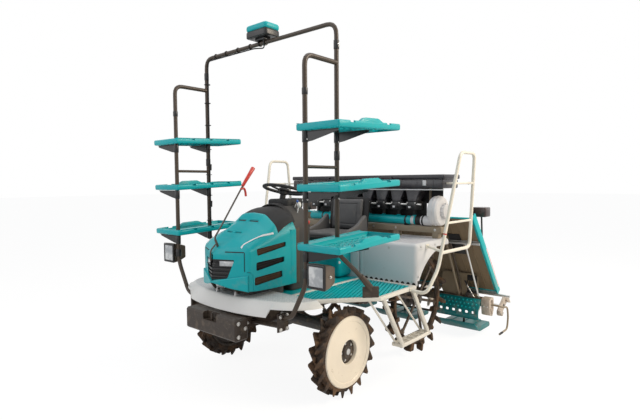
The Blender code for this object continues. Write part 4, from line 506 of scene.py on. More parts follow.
hub = coated(spun("hub", [(0.0215, -0.03), (0.0215, 0.044), (0.04, 0.044), (0.044, 0.04), (0.048, 0.031),
                          (0.09, 0.028), (0.09, 0.022), (0.05, 0.02), (0.048, -0.03)], FRONT_AXLE, 40), BROWN)


def hub_bolts(axle, count, radius, offset, size):
    """Nuts on a circle round an axle, a distance outside the wheel's middle."""
    angles = [2 * math.pi * i / count for i in range(count)]
    return [bolt("nut", axle + Vector((radius * math.cos(a), offset, radius * math.sin(a))), (0, 1, 0), size)
            for a in angles]


def fitted_pair(piece, body, slot, node, crease=35):
    """Fits a piece of the left side, and its mirror image on the right."""
    twin = copy_at(piece, MIRROR)
    twin.name = piece.name.replace("left", "right")
    fitted(piece, body, slot, node, crease=crease)
    fitted(twin, body.replace("left", "right"), slot, node.replace("left", "right"), crease=crease)


nuts = hub_bolts(FRONT_AXLE, 5, 0.062, 0.0275, 0.0085)
cap = coated(bar("cap", FRONT_AXLE + Vector((0, 0.036, 0)), FRONT_AXLE + Vector((0, 0.05, 0)), 0.024, 6,
                 edge=0.002), STEEL)
front_wheel = joined("front_wheel_left_dressed", [tyre, disc, rim, hub, *nuts, cap])
fitted_pair(front_wheel, "left_front_wheel", "rubber", "front_wheel_left")

# Rear wheels. A steel ring covered in rubber on six tube spokes, with wide moulded paddles that
# lean to the left and right in turn and push the machine through flooded soil.
REAR_AXLE = Vector((0.0, 0.599, 0.475))
PADDLES, SPOKES = 14, 6
PADDLE = {"root": (0.384, 0.02), "thick": (0.021, 0.014), "sweep": (0.055, 0.4),
          "across": (-0.01, 0.075, 0.0), "edge": 0.009, "rounds": 3}

ring = spun("ring", [(0.372, -0.012), (0.376, -0.019), (0.39, -0.0225), (0.406, -0.0225), (0.412, -0.016),
                     (0.412, 0.016), (0.406, 0.0225), (0.39, 0.0225), (0.376, 0.019), (0.372, 0.012)],
            REAR_AXLE, 84)
pitch = 2 * math.pi / PADDLES
paddles = ring_of(lug(REAR_AXLE, 1, **PADDLE), REAR_AXLE, PADDLES, 0.06)
paddles += ring_of(lug(REAR_AXLE, -1, **PADDLE), REAR_AXLE, PADDLES, 0.06 + pitch / 2)
ring = coated(joined("ring", [ring, *paddles]), RUBBER)
steel_ring = coated(spun("steel_ring", [(0.364, -0.009), (0.3725, -0.009), (0.3725, 0.009), (0.364, 0.009)],
                         REAR_AXLE, 84), BROWN)
spokes = []
for i in range(SPOKES):
    a = 2 * math.pi * (i + 0.25) / SPOKES
    way = Vector((math.cos(a), 0, math.sin(a)))
    spokes.append(bar("spoke", REAR_AXLE + way * 0.045, REAR_AXLE + way * 0.372, 0.0125, 16))
    spokes.append(stock("gusset", (-0.03, -0.004, -0.018), (0.03, 0.004, 0.018), 0.002))
    spokes[-1].data.transform(Matrix.Translation(REAR_AXLE + way * 0.352)
                              @ Matrix.Rotation(math.pi / 2 - a, 4, "Y"))
wheel_hub = spun("wheel_hub", [(0.0215, -0.045), (0.0215, 0.034), (0.038, 0.034), (0.042, 0.02),
                               (0.06, 0.014), (0.062, 0.0), (0.062, -0.036), (0.058, -0.045)], REAR_AXLE, 40)
spokes = coated(joined("spokes", [*spokes, wheel_hub]), BROWN)
nuts = hub_bolts(REAR_AXLE, 6, 0.05, 0.0155, 0.008)
rear_wheel = joined("rear_wheel_left_dressed", [ring, steel_ring, spokes, *nuts])
fitted_pair(rear_wheel, "left_rear_wheel", "rubber", "rear_wheel_left")

# Front weight. A cast box across the frame's nose with a tow notch, held by bolts through its
# ends, and the brown pin that stands in the notch.
painted("front_bumper", finish=BROWN)
end_bolts = [bolt("b", (x, 0.29, z), (0, 1, 0), 0.01)
             for x, z in ((1.835, 0.604), (1.835, 0.512), (1.775, 0.56))]
fitted(joined("weight_bolts", both_sides(*end_bolts)), "machine", "bright_steel")
tow_pin = bar("tow_pin", (1.836, 0, 0.579), (1.836, 0, 0.629), 0.009, 16, edge=0.001)
fitted(coated(tow_pin, BROWN), "machine", "dark_grey")

# Front deck. One cream moulded crescent with a rounded rim round the foot of the bonnet, and a
# dimpled tread on top.
CRESCENT_FRONT, CRESCENT_HALF, CRESCENT_TAIL = 1.78, 0.71, 1.4003


def crescent(inward, turns=30):
    """Plan of the crescent, a distance in from its widest line."""
    front, half = CRESCENT_FRONT - inward, CRESCENT_HALF - inward
    angles = [math.radians(86.0 * k / turns) for k in range(-turns, turns + 1)]
    return [(CRESCENT_TAIL + (front - CRESCENT_TAIL) * math.cos(a) ** 0.8, half * math.sin(a))
            for a in angles]


def formed(name, rows, wall=0.0):
    """A sheet pressed to rows of points, with its wall's thickness inside it."""
    let_go()
    bpy.ops.mesh.primitive_grid_add(x_subdivisions=len(rows[0]) - 1, y_subdivisions=len(rows) - 1)
    piece = bpy.context.object
    for corner, spot in zip(piece.data.vertices, [p for row in rows for p in row]):
        corner.co = spot
    if wall:
        hold(piece)
        thick = piece.modifiers.new("wall", "SOLIDIFY")
        thick.thickness, thick.offset = wall, -1
        bpy.ops.object.modifier_apply(modifier=thick.name)
        opened()
        shut()
    return settled(name)


def dimpled_cream():
    made, place, into, bump = material("dimpled_cream", (0.74, 0.73, 0.7), 0.5, coat=0.15)
    top = place.axis("Z").ease(0.7435, 0.7445)
    cell = place.node("TexVoronoi", {"feature": "F1"}, {"Vector": place, "Scale": 42.0, "Randomness": 0.25})
    studs = cell.ease(0.2, 0.42, 1.0, 0.0) * top
    mud = place.noise(18.0, 6.0, 0.62).ease(0.55, 0.72)
    cloud = place.noise(3.0, 2.0)
    tone = cloud.blend((0.7, 0.69, 0.665), (0.8, 0.785, 0.75))
    tone = (top * 0.7).blend(tone, (0.52, 0.52, 0.53))
    # The studs are painted lighter than the tread around them: painted highlights on the dimples.
    tone = (studs * 0.75).blend(tone, (0.86, 0.83, 0.79))
    tone = (mud * (top * 0.35 + 0.07)).blend(tone, (0.42, 0.36, 0.29))
    into("Base Color", tone)
    into("Roughness", mud * 0.25 + 0.45)
    bump(studs + place.noise(300.0) * 0.06, 0.6, 0.0018)
    return made


DECK_CREAM = dimpled_cream()
RIM_LINE = ((0.01, 0.652), (0.0, 0.6455), (0.003, 0.656), (0.01, 0.668), (0.034, 0.706), (0.048, 0.729),
            (0.056, 0.7395), (0.066, 0.7445), (0.08, 0.7455), (0.1, 0.745))


def rim_height(y, z):
    """Height of the rim, which is cut short beside the feet of the seedling racks."""
    share = max(0.0, min(1.0, (abs(y) - 0.43) / 0.025))
    return z + share * (max(z, 0.705 + (z - 0.6455) * 0.4) - z)


rim = formed("deck_rim", [[(x, y, rim_height(y, z)) for x, y in crescent(inward, 60)]
                          for inward, z in RIM_LINE], 0.007)
tread_plate = cut_sheet("deck_tread", crescent(0.096), "z", 0.737, 0.745)
well = stock("well", (1.38, -0.175, 0.7), (1.63, 0.175, 0.8))
tread_plate = carved(tread_plate, [well])
tail = stock("deck_tail", (1.438, -0.64, 0.7), (1.445, 0.64, 0.745), 0.002)
tail = carved(tail, [stock("well", (1.38, -0.175, 0.6), (1.63, 0.175, 0.8))])
deck_ears = both_sides(cut_sheet("ear",
                                 [(1.682, 0.738), (1.714, 0.738), (1.713, 0.77), (1.706, 0.779),
                                  (1.694, 0.779), (1.687, 0.77)], "y", 0.1, 0.112, 0.001))
front_deck = joined("front_deck_dressed", [rim, tread_plate, tail, *deck_ears])
fitted(coated(front_deck, DECK_CREAM), "machine", "cream_paint", "front_deck", crease=40)

# Floor and side decks. Teal moulded mats with slanting ribs and drain slots, each side one framed
# by a rounded cream rim, and cream step ladders of bent channel under their outer edges.
DECK_TOP, BEAM_TOP, DECK_HALF, DECK_REAR, FLOOR_HALF = 0.715, 0.6853, 0.865, 0.472, 0.3003
SIDE_PLAN = ((DECK_REAR, FLOOR_HALF), (1.4, FLOOR_HALF), (1.39, 0.52), (1.105, 0.76), (0.985, DECK_HALF),
             (DECK_REAR, DECK_HALF))


def teal_plastic(name, depth=1.0):
    # A depth below 1 darkens every tone: a painted shade copy of the same plastic.
    made, place, into, bump = material(name, (0.0, 0.42 * depth, 0.44 * depth), 0.42, coat=0.12)
    cloud = place.noise(3.0, 3.0)
    scuff = place.node("Mapping", None, {"Vector": place, "Scale": (1.0, 6.0, 1.0)}).noise(60.0,
        4.0).ease(0.66, 0.74)
    dust = place.noise(11.0, 6.0, 0.62).ease(0.52, 0.74) * place.axis("Z").ease(0.3, 1.1, 0.55, 0.1)
    tone = cloud.blend((0.0, 0.365 * depth, 0.41 * depth), (0.001, 0.44 * depth, 0.465 * depth))
    tone = (scuff * 0.25).blend(tone, (0.06, 0.52 * depth, 0.5 * depth))
    tone = dust.blend(tone, (0.3, 0.29, 0.24))
    into("Base Color", tone)
    into("Roughness", dust * 0.4 + scuff * 0.15 + 0.38)
    bump(place.noise(420.0, 2.0), 0.06, 0.0005)
    return made


# The second teal is the same plastic darkened as painted shade, for parts low in the machine's shadow.
TEAL, TEAL_PAINTED_SHADE = teal_plastic("teal_plastic_dressed"), teal_plastic("teal_plastic_low", 0.45)
MAT_BLACK = enamel("mat_black", (0.022, 0.021, 0.02), 0.6, dusty=0.5)
PANEL_CREAM = pressed_cream("panel_cream", (0.74, 0.71, 0.64))


def drawn_in(outline, inset):
    """The outline with each side moved in by the inset."""
    made = []
    middle = sum((Vector(p) for p in outline), Vector((0, 0))) / len(outline)
    for before, here, after in zip(outline[-1:] + outline[:-1], outline, outline[1:] + outline[:1]):
        here = Vector(here)
        one, two = (here - Vector(before)).normalized(), (Vector(after) - here).normalized()
        normals = [Vector((-w.y, w.x)) for w in (one, two)]
        normals = [n if n.dot(middle - here) > 0 else -n for n in normals]
        push = normals[0] + normals[1]
        made.append(tuple(here + push * (inset / max(0.25, push.dot(normals[0])))))
    return made


def slanted_ribs(outline, low, high, pitch, width, lean):
    """Ribs across the whole of an outline, cut off at its edge."""
    xs, ys = [p[0] for p in outline], [p[1] for p in outline]
    middle = Vector(((min(xs) + max(xs)) / 2, (min(ys) + max(ys)) / 2, 0))
    reach = Vector((max(xs) - min(xs), max(ys) - min(ys))).length / 2
    ribs = []
    for i in range(int(-reach / pitch), int(reach / pitch) + 1):
        rib = stock("rib", (i * pitch - width / 2, -reach, low), (i * pitch + width / 2, reach, high))
        rib.data.transform(Matrix.Translation(middle) @ Matrix.Rotation(lean, 4, "Z"))
        ribs.append(rib)
    return carved(joined("ribs", ribs), [cut_sheet("edge", outline, "z", low - 0.01, high + 0.01)],
                  "INTERSECT")


inner_plan = drawn_in(list(SIDE_PLAN), 0.034)
# The black base shows between the ribs as painted shade, the dark seen through the drain slots.
base = coated(cut_sheet("mat_base", inner_plan, "z", BEAM_TOP, DECK_TOP - 0.016), MAT_BLACK)
ribs = coated(slanted_ribs(inner_plan, DECK_TOP - 0.0165, DECK_TOP - 0.005, 0.03, 0.0205, math.radians(-68)),
              TEAL)
rim = carved(cut_sheet("rim", list(SIDE_PLAN), "z", BEAM_TOP, DECK_TOP),
             [cut_sheet("hole", inner_plan, "z", 0.6, 0.8)])
rim = coated(eased(rim, 0.006, 3, 40), PANEL_CREAM)


def channel(top, low, width, deep):
    """A leg of bent channel, open towards the inside, from a top point to a low one."""
    top, low = Vector(top), Vector(low)
    leg = stock("leg", (-width / 2, -deep / 2, 0), (width / 2, deep / 2, (top - low).length), 0.003)
    leg = carved(leg, [stock("groove", (-width / 2 + 0.006, -deep, 0.012),
                             (width / 2 - 0.006, deep / 2 - 0.007, (top - low).length - 0.012))])
    leg.data.transform(Matrix.Translation(low) @ (top - low).to_track_quat("Z", "Y").to_matrix().to_4x4()
                       @ Matrix.Rotation(math.pi, 4, "Z"))
    return leg


LADDER = (((0.94, 0.846, 0.704), (0.79, 0.926, 0.322)), ((0.52, 0.846, 0.704), (0.395, 0.926, 0.322)))
ladder = [channel(top, low, 0.042, 0.026) for top, low in LADDER]
step = stock("step", (0.372, 0.846, 0.308), (0.813, 0.942, 0.336), 0.006, 3)
step = carved(step, [stock("s", (0.4 + 0.072 * i, 0.862, 0.2), (0.452 + 0.072 * i, 0.928, 0.5))
                     for i in range(5)])
ladder += [step, pipe("brace", [(1.045, 0.79, 0.703), (0.795, 0.872, 0.33)], 0.008),
           pipe("brace", [(0.68, 0.79, 0.703), (0.41, 0.872, 0.33)], 0.008)]
grips = [stock("grip", (0.402 + 0.036 * i, 0.852, 0.3355), (0.408 + 0.036 * i, 0.936, 0.3395), 0.001)
         for i in range(11)]
ladder = coated(joined("ladder", ladder + grips), PANEL_CREAM)
side = joined("side_deck_left_dressed", [rim, base, ribs, ladder])
fitted_pair(side, "machine", "teal_plastic", "side_deck_left")

FLOOR_PLAN = [(DECK_REAR + 0.002, -0.298), (1.398, -0.298), (1.398, 0.298), (DECK_REAR + 0.002, 0.298)]
floor_mat = coated(cut_sheet("floor_mat", FLOOR_PLAN, "z", BEAM_TOP, DECK_TOP - 0.006), TEAL)
floor_mat = carved(floor_mat, [stock("well", (1.262, -0.18, 0.6), (1.5, 0.18, 0.8))])
ribs = coated(slanted_ribs([(0.66, -0.285), (1.03, -0.285), (1.03, 0.285), (0.66, 0.285)], DECK_TOP - 0.0065,
                           DECK_TOP, 0.034, 0.012, math.radians(90)), TEAL)
fitted(joined("floor_mat_dressed", [floor_mat, ribs]), "machine", "teal_plastic", "floor_deck")

# Rear fenders and seat plinth. Moulded covers in cool pale grey with a sunlit cream cast, seams
# between their panels, a speckled tread on top and bright screws along the side.
FENDER_FRONT, FENDER_REAR, FENDER_TOP, FENDER_HALF, FENDER_IN = 0.4717, -0.12, 1.05, 0.862, 0.2843


def cover_grey():
    made, place, into, bump = material("cover_grey", (0.62, 0.64, 0.68), 0.45, coat=0.2)
    top = place.axis("Z").ease(FENDER_TOP - 0.004, FENDER_TOP - 0.001)
    speck = place.noise(170.0, 3.0, 0.7).ease(0.56, 0.6) * top
    cloud = place.noise(3.5, 2.0)
    splash = place.noise(24.0, 6.0, 0.6).ease(0.62, 0.74) * place.axis("Z").ease(0.6, 1.0, 0.6, 0.05)
    tone = cloud.blend((0.6, 0.615, 0.64), (0.7, 0.7, 0.7))
    tone = (top * 0.55).blend(tone, (0.36, 0.37, 0.42))
    tone = (speck * 0.75).blend(tone, (0.75, 0.75, 0.78))
    into("Base Color", splash.blend(tone, (0.36, 0.31, 0.25)))
    into("Roughness", top * 0.2 + splash * 0.3 + 0.4)
    bump(speck + place.noise(380.0) * 0.1, 0.35, 0.0009)
    return made


COVER_GREY = cover_grey()
shell = stock("fender", (FENDER_REAR, FENDER_IN, BEAM_TOP - 0.002), (FENDER_FRONT, FENDER_HALF, FENDER_TOP),
              0.034, 4)
inside = stock("inside", (FENDER_REAR - 0.1, FENDER_IN + 0.022, 0.5),
               (FENDER_FRONT - 0.022, FENDER_HALF - 0.022, FENDER_TOP - 0.022), 0.02)
arch = bar("arch", (0, 0.2, REAR_AXLE.z), (0, 1.0, REAR_AXLE.z), REAR_AXLE.z + 0.03, 72)
tail_cut = stock("tail_cut", (-0.3, 0.2, 0.6), (0.13, 1.0, FENDER_TOP - 0.055))
flat_foot = stock("foot", (FENDER_REAR - 0.1, 0.2, 0.6), (FENDER_FRONT - 0.022, 1.0, 0.745))
seam_y, seam_z = 0.344, FENDER_TOP - 0.06
seams = [stock("seam", (FENDER_FRONT - 0.004, seam_y - 0.0022, 0.6),
               (FENDER_FRONT + 0.01, seam_y + 0.0022, FENDER_TOP - 0.03)),
         stock("seam", (0.13, FENDER_HALF - 0.0025, seam_z - 0.002),
               (0.44, FENDER_HALF + 0.01, seam_z + 0.002))]
seams += [stock("seam", (x - 0.002, 0.3, FENDER_TOP - 0.003), (x + 0.002, 0.85, FENDER_TOP + 0.01))
          for x in (0.15, 0.33)]
for cutter in (inside, arch, tail_cut, flat_foot, *seams):
    shell = carved(shell, [cutter])
shell = coated(eased(shell, 0.0018, 2, 50), COVER_GREY)
screws = [bolt("screw", (x, FENDER_HALF + 0.0002, z), (0, 1, 0), 0.007, 0.003)
          for x, z in ((0.4, 1.02), (0.16, 1.015), (0.44, 0.78))]
screws += [bolt("screw", (FENDER_FRONT + 0.0002, y, z), (1, 0, 0), 0.007, 0.003)
           for y, z in ((0.38, 0.74), (0.82, 0.74), (0.6, 1.0))]
scallops = [coated(bar("scallop", (0.4716, 0.37 + 0.052 * i, 0.716), (0.474, 0.37 + 0.052 * i, 0.716), 0.016,
                       20), MAT_BLACK) for i in range(10)]
fender = joined("rear_fender_left_dressed", [shell, *screws, *scallops])
fitted_pair(fender, "machine", "pale_grey_plastic", "rear_fender_left")

plinth = coated(stock("plinth", (0.215, -0.2835, BEAM_TOP), (0.4717, 0.2835, 1.02), 0.012, 3), COVER_GREY)
nose = coated(stock("nose", (0.452, -0.2, 0.7155), (0.64, 0.2, 1.012), 0.034, 4), TEAL)
hatch = coated(stock("hatch", (0.63, -0.12, 0.77), (0.642, 0.12, 0.96), 0.01, 3), TEAL)
latch = coated(stock("latch", (0.64, -0.022, 0.93), (0.649, 0.022, 0.944), 0.003), MAT_BLACK)
fitted(joined("seat_plinth_dressed", [plinth, nose, hatch, latch]), "machine", "pale_grey_plastic",
       "seat_base")

# Dash. A dark moulded console behind the bonnet, with the display and a plate of levers on top,
# and the column of the soft-rimmed steering wheel coming up through it.
HEAD_GREY = enamel("dash_charcoal", (0.05, 0.048, 0.047), 0.55, dusty=0.12)
SOFT_BLACK = enamel("soft_black", (0.02, 0.02, 0.021), 0.62, dusty=0.1)
# This brown is painted sunlight: the lit look of the console's dark plastic.
DASH_PAINTED_SUNLIGHT = enamel("dash_brown", (0.085, 0.062, 0.045), 0.5, dusty=0.25)


def moulding(name, colour, roughness=0.35, metallic=0.0, coat=0.4, grain=500.0, depth=0.03):
    """A smooth finish with a fine grain."""
    made, place, into, bump = material(name, colour, roughness, metallic, coat)
    bump(place.noise(grain), depth, 0.0003)
    return made


WHITE_KNOB = moulding("white_knob", (0.8, 0.79, 0.76))
RED_KNOB, place, into, bump = material("red_knob", (0.62, 0.035, 0.02), 0.35, coat=0.5)
into("Base Color", place.noise(60.0, 3.0).ease(0.35, 0.75).blend((0.58, 0.028, 0.018), (0.7, 0.055, 0.03)))
BLUE_KNOB = moulding("blue_knob", (0.03, 0.12, 0.42))


def skinned(name, rings):
    """A tube-like skin through rings of points, closed at both ends."""
    piece = formed(name, [[*ring, ring[0]] for ring in rings])
    hold(piece)
    opened()
    bpy.ops.mesh.remove_doubles(threshold=0.00005)
    bpy.ops.mesh.select_all(action="DESELECT")
    bpy.ops.mesh.select_non_manifold()
    bpy.ops.mesh.edge_face_add()
    shut()
    return piece


def rounded_ring(x0, x1, half, z, corner=0.035, steps=5):
    """A level rectangle with round corners."""
    ring = []
    for cx, cy, start in ((x1 - corner, half - corner, 0), (x0 + corner, half - corner, 90),
                          (x0 + corner, corner - half, 180), (x1 - corner, corner - half, 270)):
        for k in range(steps + 1):
            a = math.radians(start + 90 * k / steps)
            ring.append((cx + corner * math.cos(a), cy + corner * math.sin(a), z))
    return ring


CONSOLE = ((0.7155, 1.045, 1.238, 0.205, 0.03), (0.8, 1.038, 1.238, 0.206, 0.034),
           (1.15, 1.005, 1.238, 0.213, 0.04), (1.235, 0.992, 1.238, 0.2, 0.046),
           (1.3, 0.992, 1.238, 0.168, 0.05), (1.352, 1.012, 1.236, 0.132, 0.05),
           (1.366, 1.024, 1.228, 0.118, 0.045))
console = skinned("console", [rounded_ring(x0, x1, half, z, corner) for z, x0, x1, half, corner in CONSOLE])
console = coated(carved(console, both_sides(stock("slit", (1.085, 0.198, 0.76), (1.09, 0.3, 1.19)))),
                 HEAD_GREY)
# Brown strips on the console's sides: painted sunlight on its dark plastic.
side_trim = [coated(p, DASH_PAINTED_SUNLIGHT)
             for p in both_sides(stock("side_trim", (1.15, 0.2035, 0.765), (1.222, 0.2135, 1.198), 0.004, 3))]
head = coated(stock("head", (0.992, -0.114, 1.336), (1.188, 0.114, 1.418), 0.024, 4), SOFT_BLACK)
display_glass, place, into, bump = material("display_glass", (0.012, 0.016, 0.018), 0.08, coat=0.6)
bars = place.node("Mapping", None, {"Vector": place, "Scale": (1, 60, 60)}).noise(3.0, 0.0).ease(0.55, 0.57)
into("Roughness", bars * 0.1 + 0.07)
DISPLAY_LEAN = Matrix.Rotation(math.radians(-62), 4, "Y")
display = stock("display", (-0.004, -0.075, -0.03), (0.004, 0.075, 0.03), 0.004, 3)
display.data.transform(Matrix.Translation((1.005, 0, 1.405)) @ DISPLAY_LEAN)
bezel = stock("bezel", (-0.009, -0.085, -0.038), (0.002, 0.085, 0.038), 0.006, 3)
bezel.data.transform(Matrix.Translation((1.004, 0, 1.402)) @ DISPLAY_LEAN)
cowl_top = formed("cowl_top", [[(x, half * t, crest - 0.135 * abs(t) ** 2.6)
                                for t in (i / 10 - 1 for i in range(21))]
                               for x, half, crest in ((1.17, 0.176, 1.374), (1.19, 0.196, 1.381),
                                                      (1.215, 0.212, 1.38), (1.246, 0.222, 1.374))], 0.006)
STEER_FOOT, STEER_CENTRE, STEER_R = Vector((1.15, 0.0, 1.32)), Vector((1.105, 0.0, 1.492)), 0.165
column_way = (STEER_CENTRE - STEER_FOOT).normalized()
column = bar("column", STEER_FOOT - column_way * 0.03, STEER_CENTRE - column_way * 0.042, 0.0275, 24, 0.023,
             0.002)
boot = bar("boot", STEER_FOOT + column_way * 0.06, STEER_FOOT + column_way * 0.1, 0.044, 28, 0.027, 0.003)


def lever(name, foot, top, knob, finish, radius=0.0055):
    """A bright rod with a moulded knob."""
    rod = coated(bar(name, foot, Vector(foot).lerp(Vector(top), 0.92), radius, 12), STEEL)
    let_go()
    bpy.ops.mesh.primitive_uv_sphere_add(segments=20, ring_count=12, radius=knob, location=top)
    bpy.context.object.scale = (0.85, 1.0, 1.25)
    return [rod, coated(settled(name + "_knob"), finish)]


levers = lever("shift", (1.12, 0.15, 1.27), (1.105, 0.168, 1.372), 0.019, WHITE_KNOB) + lever("throttle",
    (1.06, 0.17, 1.15), (1.04, 0.205, 1.232), 0.014, RED_KNOB)
levers += lever("lift_lever", (1.12, 0.12, 1.33), (1.105, 0.15, 1.4), 0.01, BLUE_KNOB,
                0.004) + lever("plant_lever", (1.09, -0.15, 1.27), (1.08, -0.172, 1.385), 0.017, SOFT_BLACK)
slots = [coated(stock("gate", (1.085, s * 0.15 - 0.012, 1.262), (1.165, s * 0.15 + 0.012, 1.3), 0.004),
                SOFT_BLACK) for s in (1, -1)]
dash = joined("dash_dressed", [console, *side_trim, head, coated(bezel, SOFT_BLACK),
                               coated(display, display_glass), coated(cowl_top, SOFT_BLACK),
                               coated(column, SOFT_BLACK), coated(boot, SOFT_BLACK), *slots, *levers])
fitted(dash, "machine", "dark_grey", "dash_cowl")

turn = Matrix.Translation(STEER_CENTRE) @ column_way.to_track_quat("Z", "Y").to_matrix().to_4x4()
wheel_route = [(STEER_R * math.cos(2 * math.pi * i / 64), STEER_R * math.sin(2 * math.pi * i / 64), 0)
               for i in range(64)]
wheel_rim = pipe("wheel_rim", wheel_route, 0.0128, sides=14, closed=True)
wheel_hub = [bar("hub", (0, 0, -0.04), (0, 0, -0.008), 0.033, 32, edge=0.002),
             bar("cap", (0, 0, -0.009), (0, 0, 0.01), 0.052, 40, 0.04, 0.004)]
wheel_spokes = []
for degrees in (90, 210, 330):
    a = math.radians(degrees)
    way = Vector((math.cos(a), math.sin(a), 0))
    wheel_spokes.append(pipe("spoke",
                             [way * 0.03 + Vector((0, 0, -0.012)), way * 0.085 + Vector((0, 0, -0.01)),
                              way * (STEER_R - 0.006)], 0.0085, 0.05))
steering = coated(joined("steering_wheel_dressed", [wheel_rim, *wheel_hub, *wheel_spokes]), SOFT_BLACK)
steering.data.transform(turn)
fitted(steering, "steering", "black_plastic", "steering_wheel")

# Bonnet. A pressed teal hood, creased along its shoulders and drawn to a prow, with slatted vents
# in its sides and slots in its top. It tips forward on two hinges in the deck.
BONNET_STATIONS = ((1.25, 0.268, 0.785, 1.2, 1.335), (1.44, 0.268, 0.785, 1.15, 1.335),
                   (1.5, 0.267, 0.785, 1.135, 1.268), (1.64, 0.264, 0.789, 1.098, 1.19),
                   (1.705, 0.258, 0.795, 1.075, 1.155), (1.77, 0.13, 0.815, 1.052, 1.108),
                   (1.828, 0.012, 0.85, 1.038, 1.06))
NOSE_X = 1.828


def bonnet_at(x):
    """Half width, bottom, shoulder and top of the bonnet at a place, softened at its stations."""
    def plain(x):
        x = min(max(x, BONNET_STATIONS[0][0]), NOSE_X)
        for one, two in zip(BONNET_STATIONS, BONNET_STATIONS[1:]):
            if x <= two[0]:
                share = (x - one[0]) / (two[0] - one[0])
                return Vector([a + (b - a) * share for a, b in zip(one[1:], two[1:])])
    soft = 0.01 if x < NOSE_X - 0.011 else 0.0
    return (plain(x - soft) + plain(x) * 2 + plain(x + soft)) / 4


def bonnet_section(x, out=0.0, corner=0.028):
    """One rib of the skin from its left foot over the top to its right foot."""
    half, low, shoulder, top = bonnet_at(x)
    rise, w = top - shoulder, max(half + out, 0.003)
    left = [(x, w, low), (x, w, shoulder + out * 0.5), (x, w * 0.86, shoulder + rise * 0.45 + out),
            (x, w * 0.45, shoulder + rise * 0.88 + out), (x, 0, top - rise * 0.07 + out)]
    left = bent(left, min(corner, w * 0.12 + 0.002), 4)
    return left + [Vector((p.x, -p.y, p.z)) for p in reversed(left[:-1])]


BONNET_X = [1.25, 1.262, 1.3, 1.34, 1.38, 1.41, 1.428, 1.434, 1.44, 1.446, 1.455, 1.47, 1.485, 1.494, 1.5,
            1.506, 1.52, 1.55, 1.58, 1.61, 1.635, 1.65, 1.67, 1.685, 1.695, 1.7, 1.705, 1.71, 1.715, 1.725,
            1.74, 1.755, 1.77, 1.785, 1.8, 1.813, 1.822, 1.828]
hood = formed("hood", [bonnet_section(x) for x in BONNET_X], 0.007)
VENTS = (((1.357, 1.078), (1.634, 1.036), (1.641, 1.085), (1.357, 1.112)),
         ((1.373, 0.966), (1.645, 0.93), (1.645, 0.991), (1.373, 1.004)),
         ((1.394, 0.854), (1.66, 0.828), (1.66, 0.886), (1.394, 0.902)))


def flat_round(outline, corner):
    """An outline with round corners."""
    loop = [Vector((*p, 0)) for p in outline]
    middle = (loop[0] + loop[-1]) / 2
    return [(p.x, p.y) for p in bent([middle, *loop, middle], corner, 4)[:-1]]


for outline in VENTS:
    hood = carved(hood, both_sides(cut_sheet("vent", flat_round(outline, 0.014), "y", 0.24, 0.29)))
for x, inner, outer in ((1.49, 0.02, 0.112), (1.626, 0.014, 0.082)):
    slot_plan = flat_round(((x - 0.007, inner), (x + 0.009, inner), (x + 0.003, outer), (x - 0.013, outer)),
                           0.005)
    hood = carved(hood, both_sides(cut_sheet("slot", slot_plan, "z", 1.15, 1.31)))
V_PLAN = [(0.0, 0.865), (0.109, 0.88), (0.16, 1.013), (0.0, 1.015), (-0.16, 1.013), (-0.109, 0.88)]
hood = carved(hood, [cut_sheet("v", flat_round(V_PLAN, 0.012), "x", 1.722, 1.9)])


def cheek(y):
    """Place along the machine of the prow's flat cheek."""
    return 1.834 - 0.5 * abs(y)


def groove(points):
    """A round cutter for the seams of the prow."""
    return pipe("groove", points, 0.0045, 0.01, 8)


cheek_seam = [(cheek(y), y, z) for y, z in ((0.094, 1.067), (0.226, 1.067), (0.2256, 0.931))]
hood = carved(hood, both_sides(groove(cheek_seam)))
hood = carved(hood, both_sides(
                               groove([(x, bonnet_at(x)[0], z)
                                       for x, z in ((1.712, 0.931), (1.69, 0.925), (1.676, 0.905),
                                                    (1.672, 0.8))])))
hood = coated(hood, TEAL)
band = [coated(p, TEAL) for p in both_sides(formed("band",
    [[(x, 0.268 + out, z) for z in (0.792, 0.9, 1.0, 1.1, 1.196)]
     for x, out in ((1.2505, 0.004), (1.262, 0.005), (1.29, 0.0046), (1.306, 0.0004))], 0.004))]
MESH_BLACK = enamel("mesh_black", (0.022, 0.018, 0.016), 0.5, dusty=0.2)
MESH_BROWN = enamel("mesh_brown", (0.115, 0.062, 0.034), 0.55, dusty=0.3)
louvres = []
for outline, finish in zip(VENTS, (MESH_BROWN, MESH_BLACK, MESH_BROWN)):
    (rear_x, rear_low), (front_x, front_low), (_, front_high), (_, rear_high) = outline
    grown = [(rear_x - 0.01, rear_low - 0.01), (front_x + 0.006, front_low - 0.01),
             (front_x + 0.006, front_high + 0.01), (rear_x - 0.01, rear_high + 0.01)]
    screen = [cut_sheet("screen", grown, "y", 0.247, 0.25)]
    for i in range(24):
        share = (i + 0.5) / 24
        x = rear_x + (front_x - rear_x) * share
        low, high = rear_low + (front_low - rear_low) * share, rear_high + (front_high - rear_high) * share
        screen.append(stock("rib", (x - 0.0016, 0.25, low - 0.004), (x + 0.0016, 0.2556, high + 0.004)))
    for share in (0.33, 0.67):
        a = Vector((rear_x, 0.2535, rear_low + (rear_high - rear_low) * share))
        b = Vector((front_x, 0.2535, front_low + (front_high - front_low) * share))
        screen.append(bar("rail", a, b, 0.0022, 8))
    louvres += both_sides(coated(joined("screen", screen), finish))
top_screen = cut_sheet("top_screen", [(1.47, -0.12), (1.67, -0.09), (1.67, 0.09), (1.47, 0.12)], "z", 0,
                       0.002)
top_screen.data.transform(Matrix.Translation((1.49, 0, 1.24)) @ Matrix.Rotation(math.radians(28.5), 4, "Y")
                          @ Matrix.Translation((-1.49, 0, 0)))
louvres = joined("louvres", [*louvres, coated(top_screen, MESH_BLACK)])
WHITE_STRIPE = moulding("white_stripe", (0.82, 0.83, 0.82), 0.3, coat=0.6, grain=400.0)


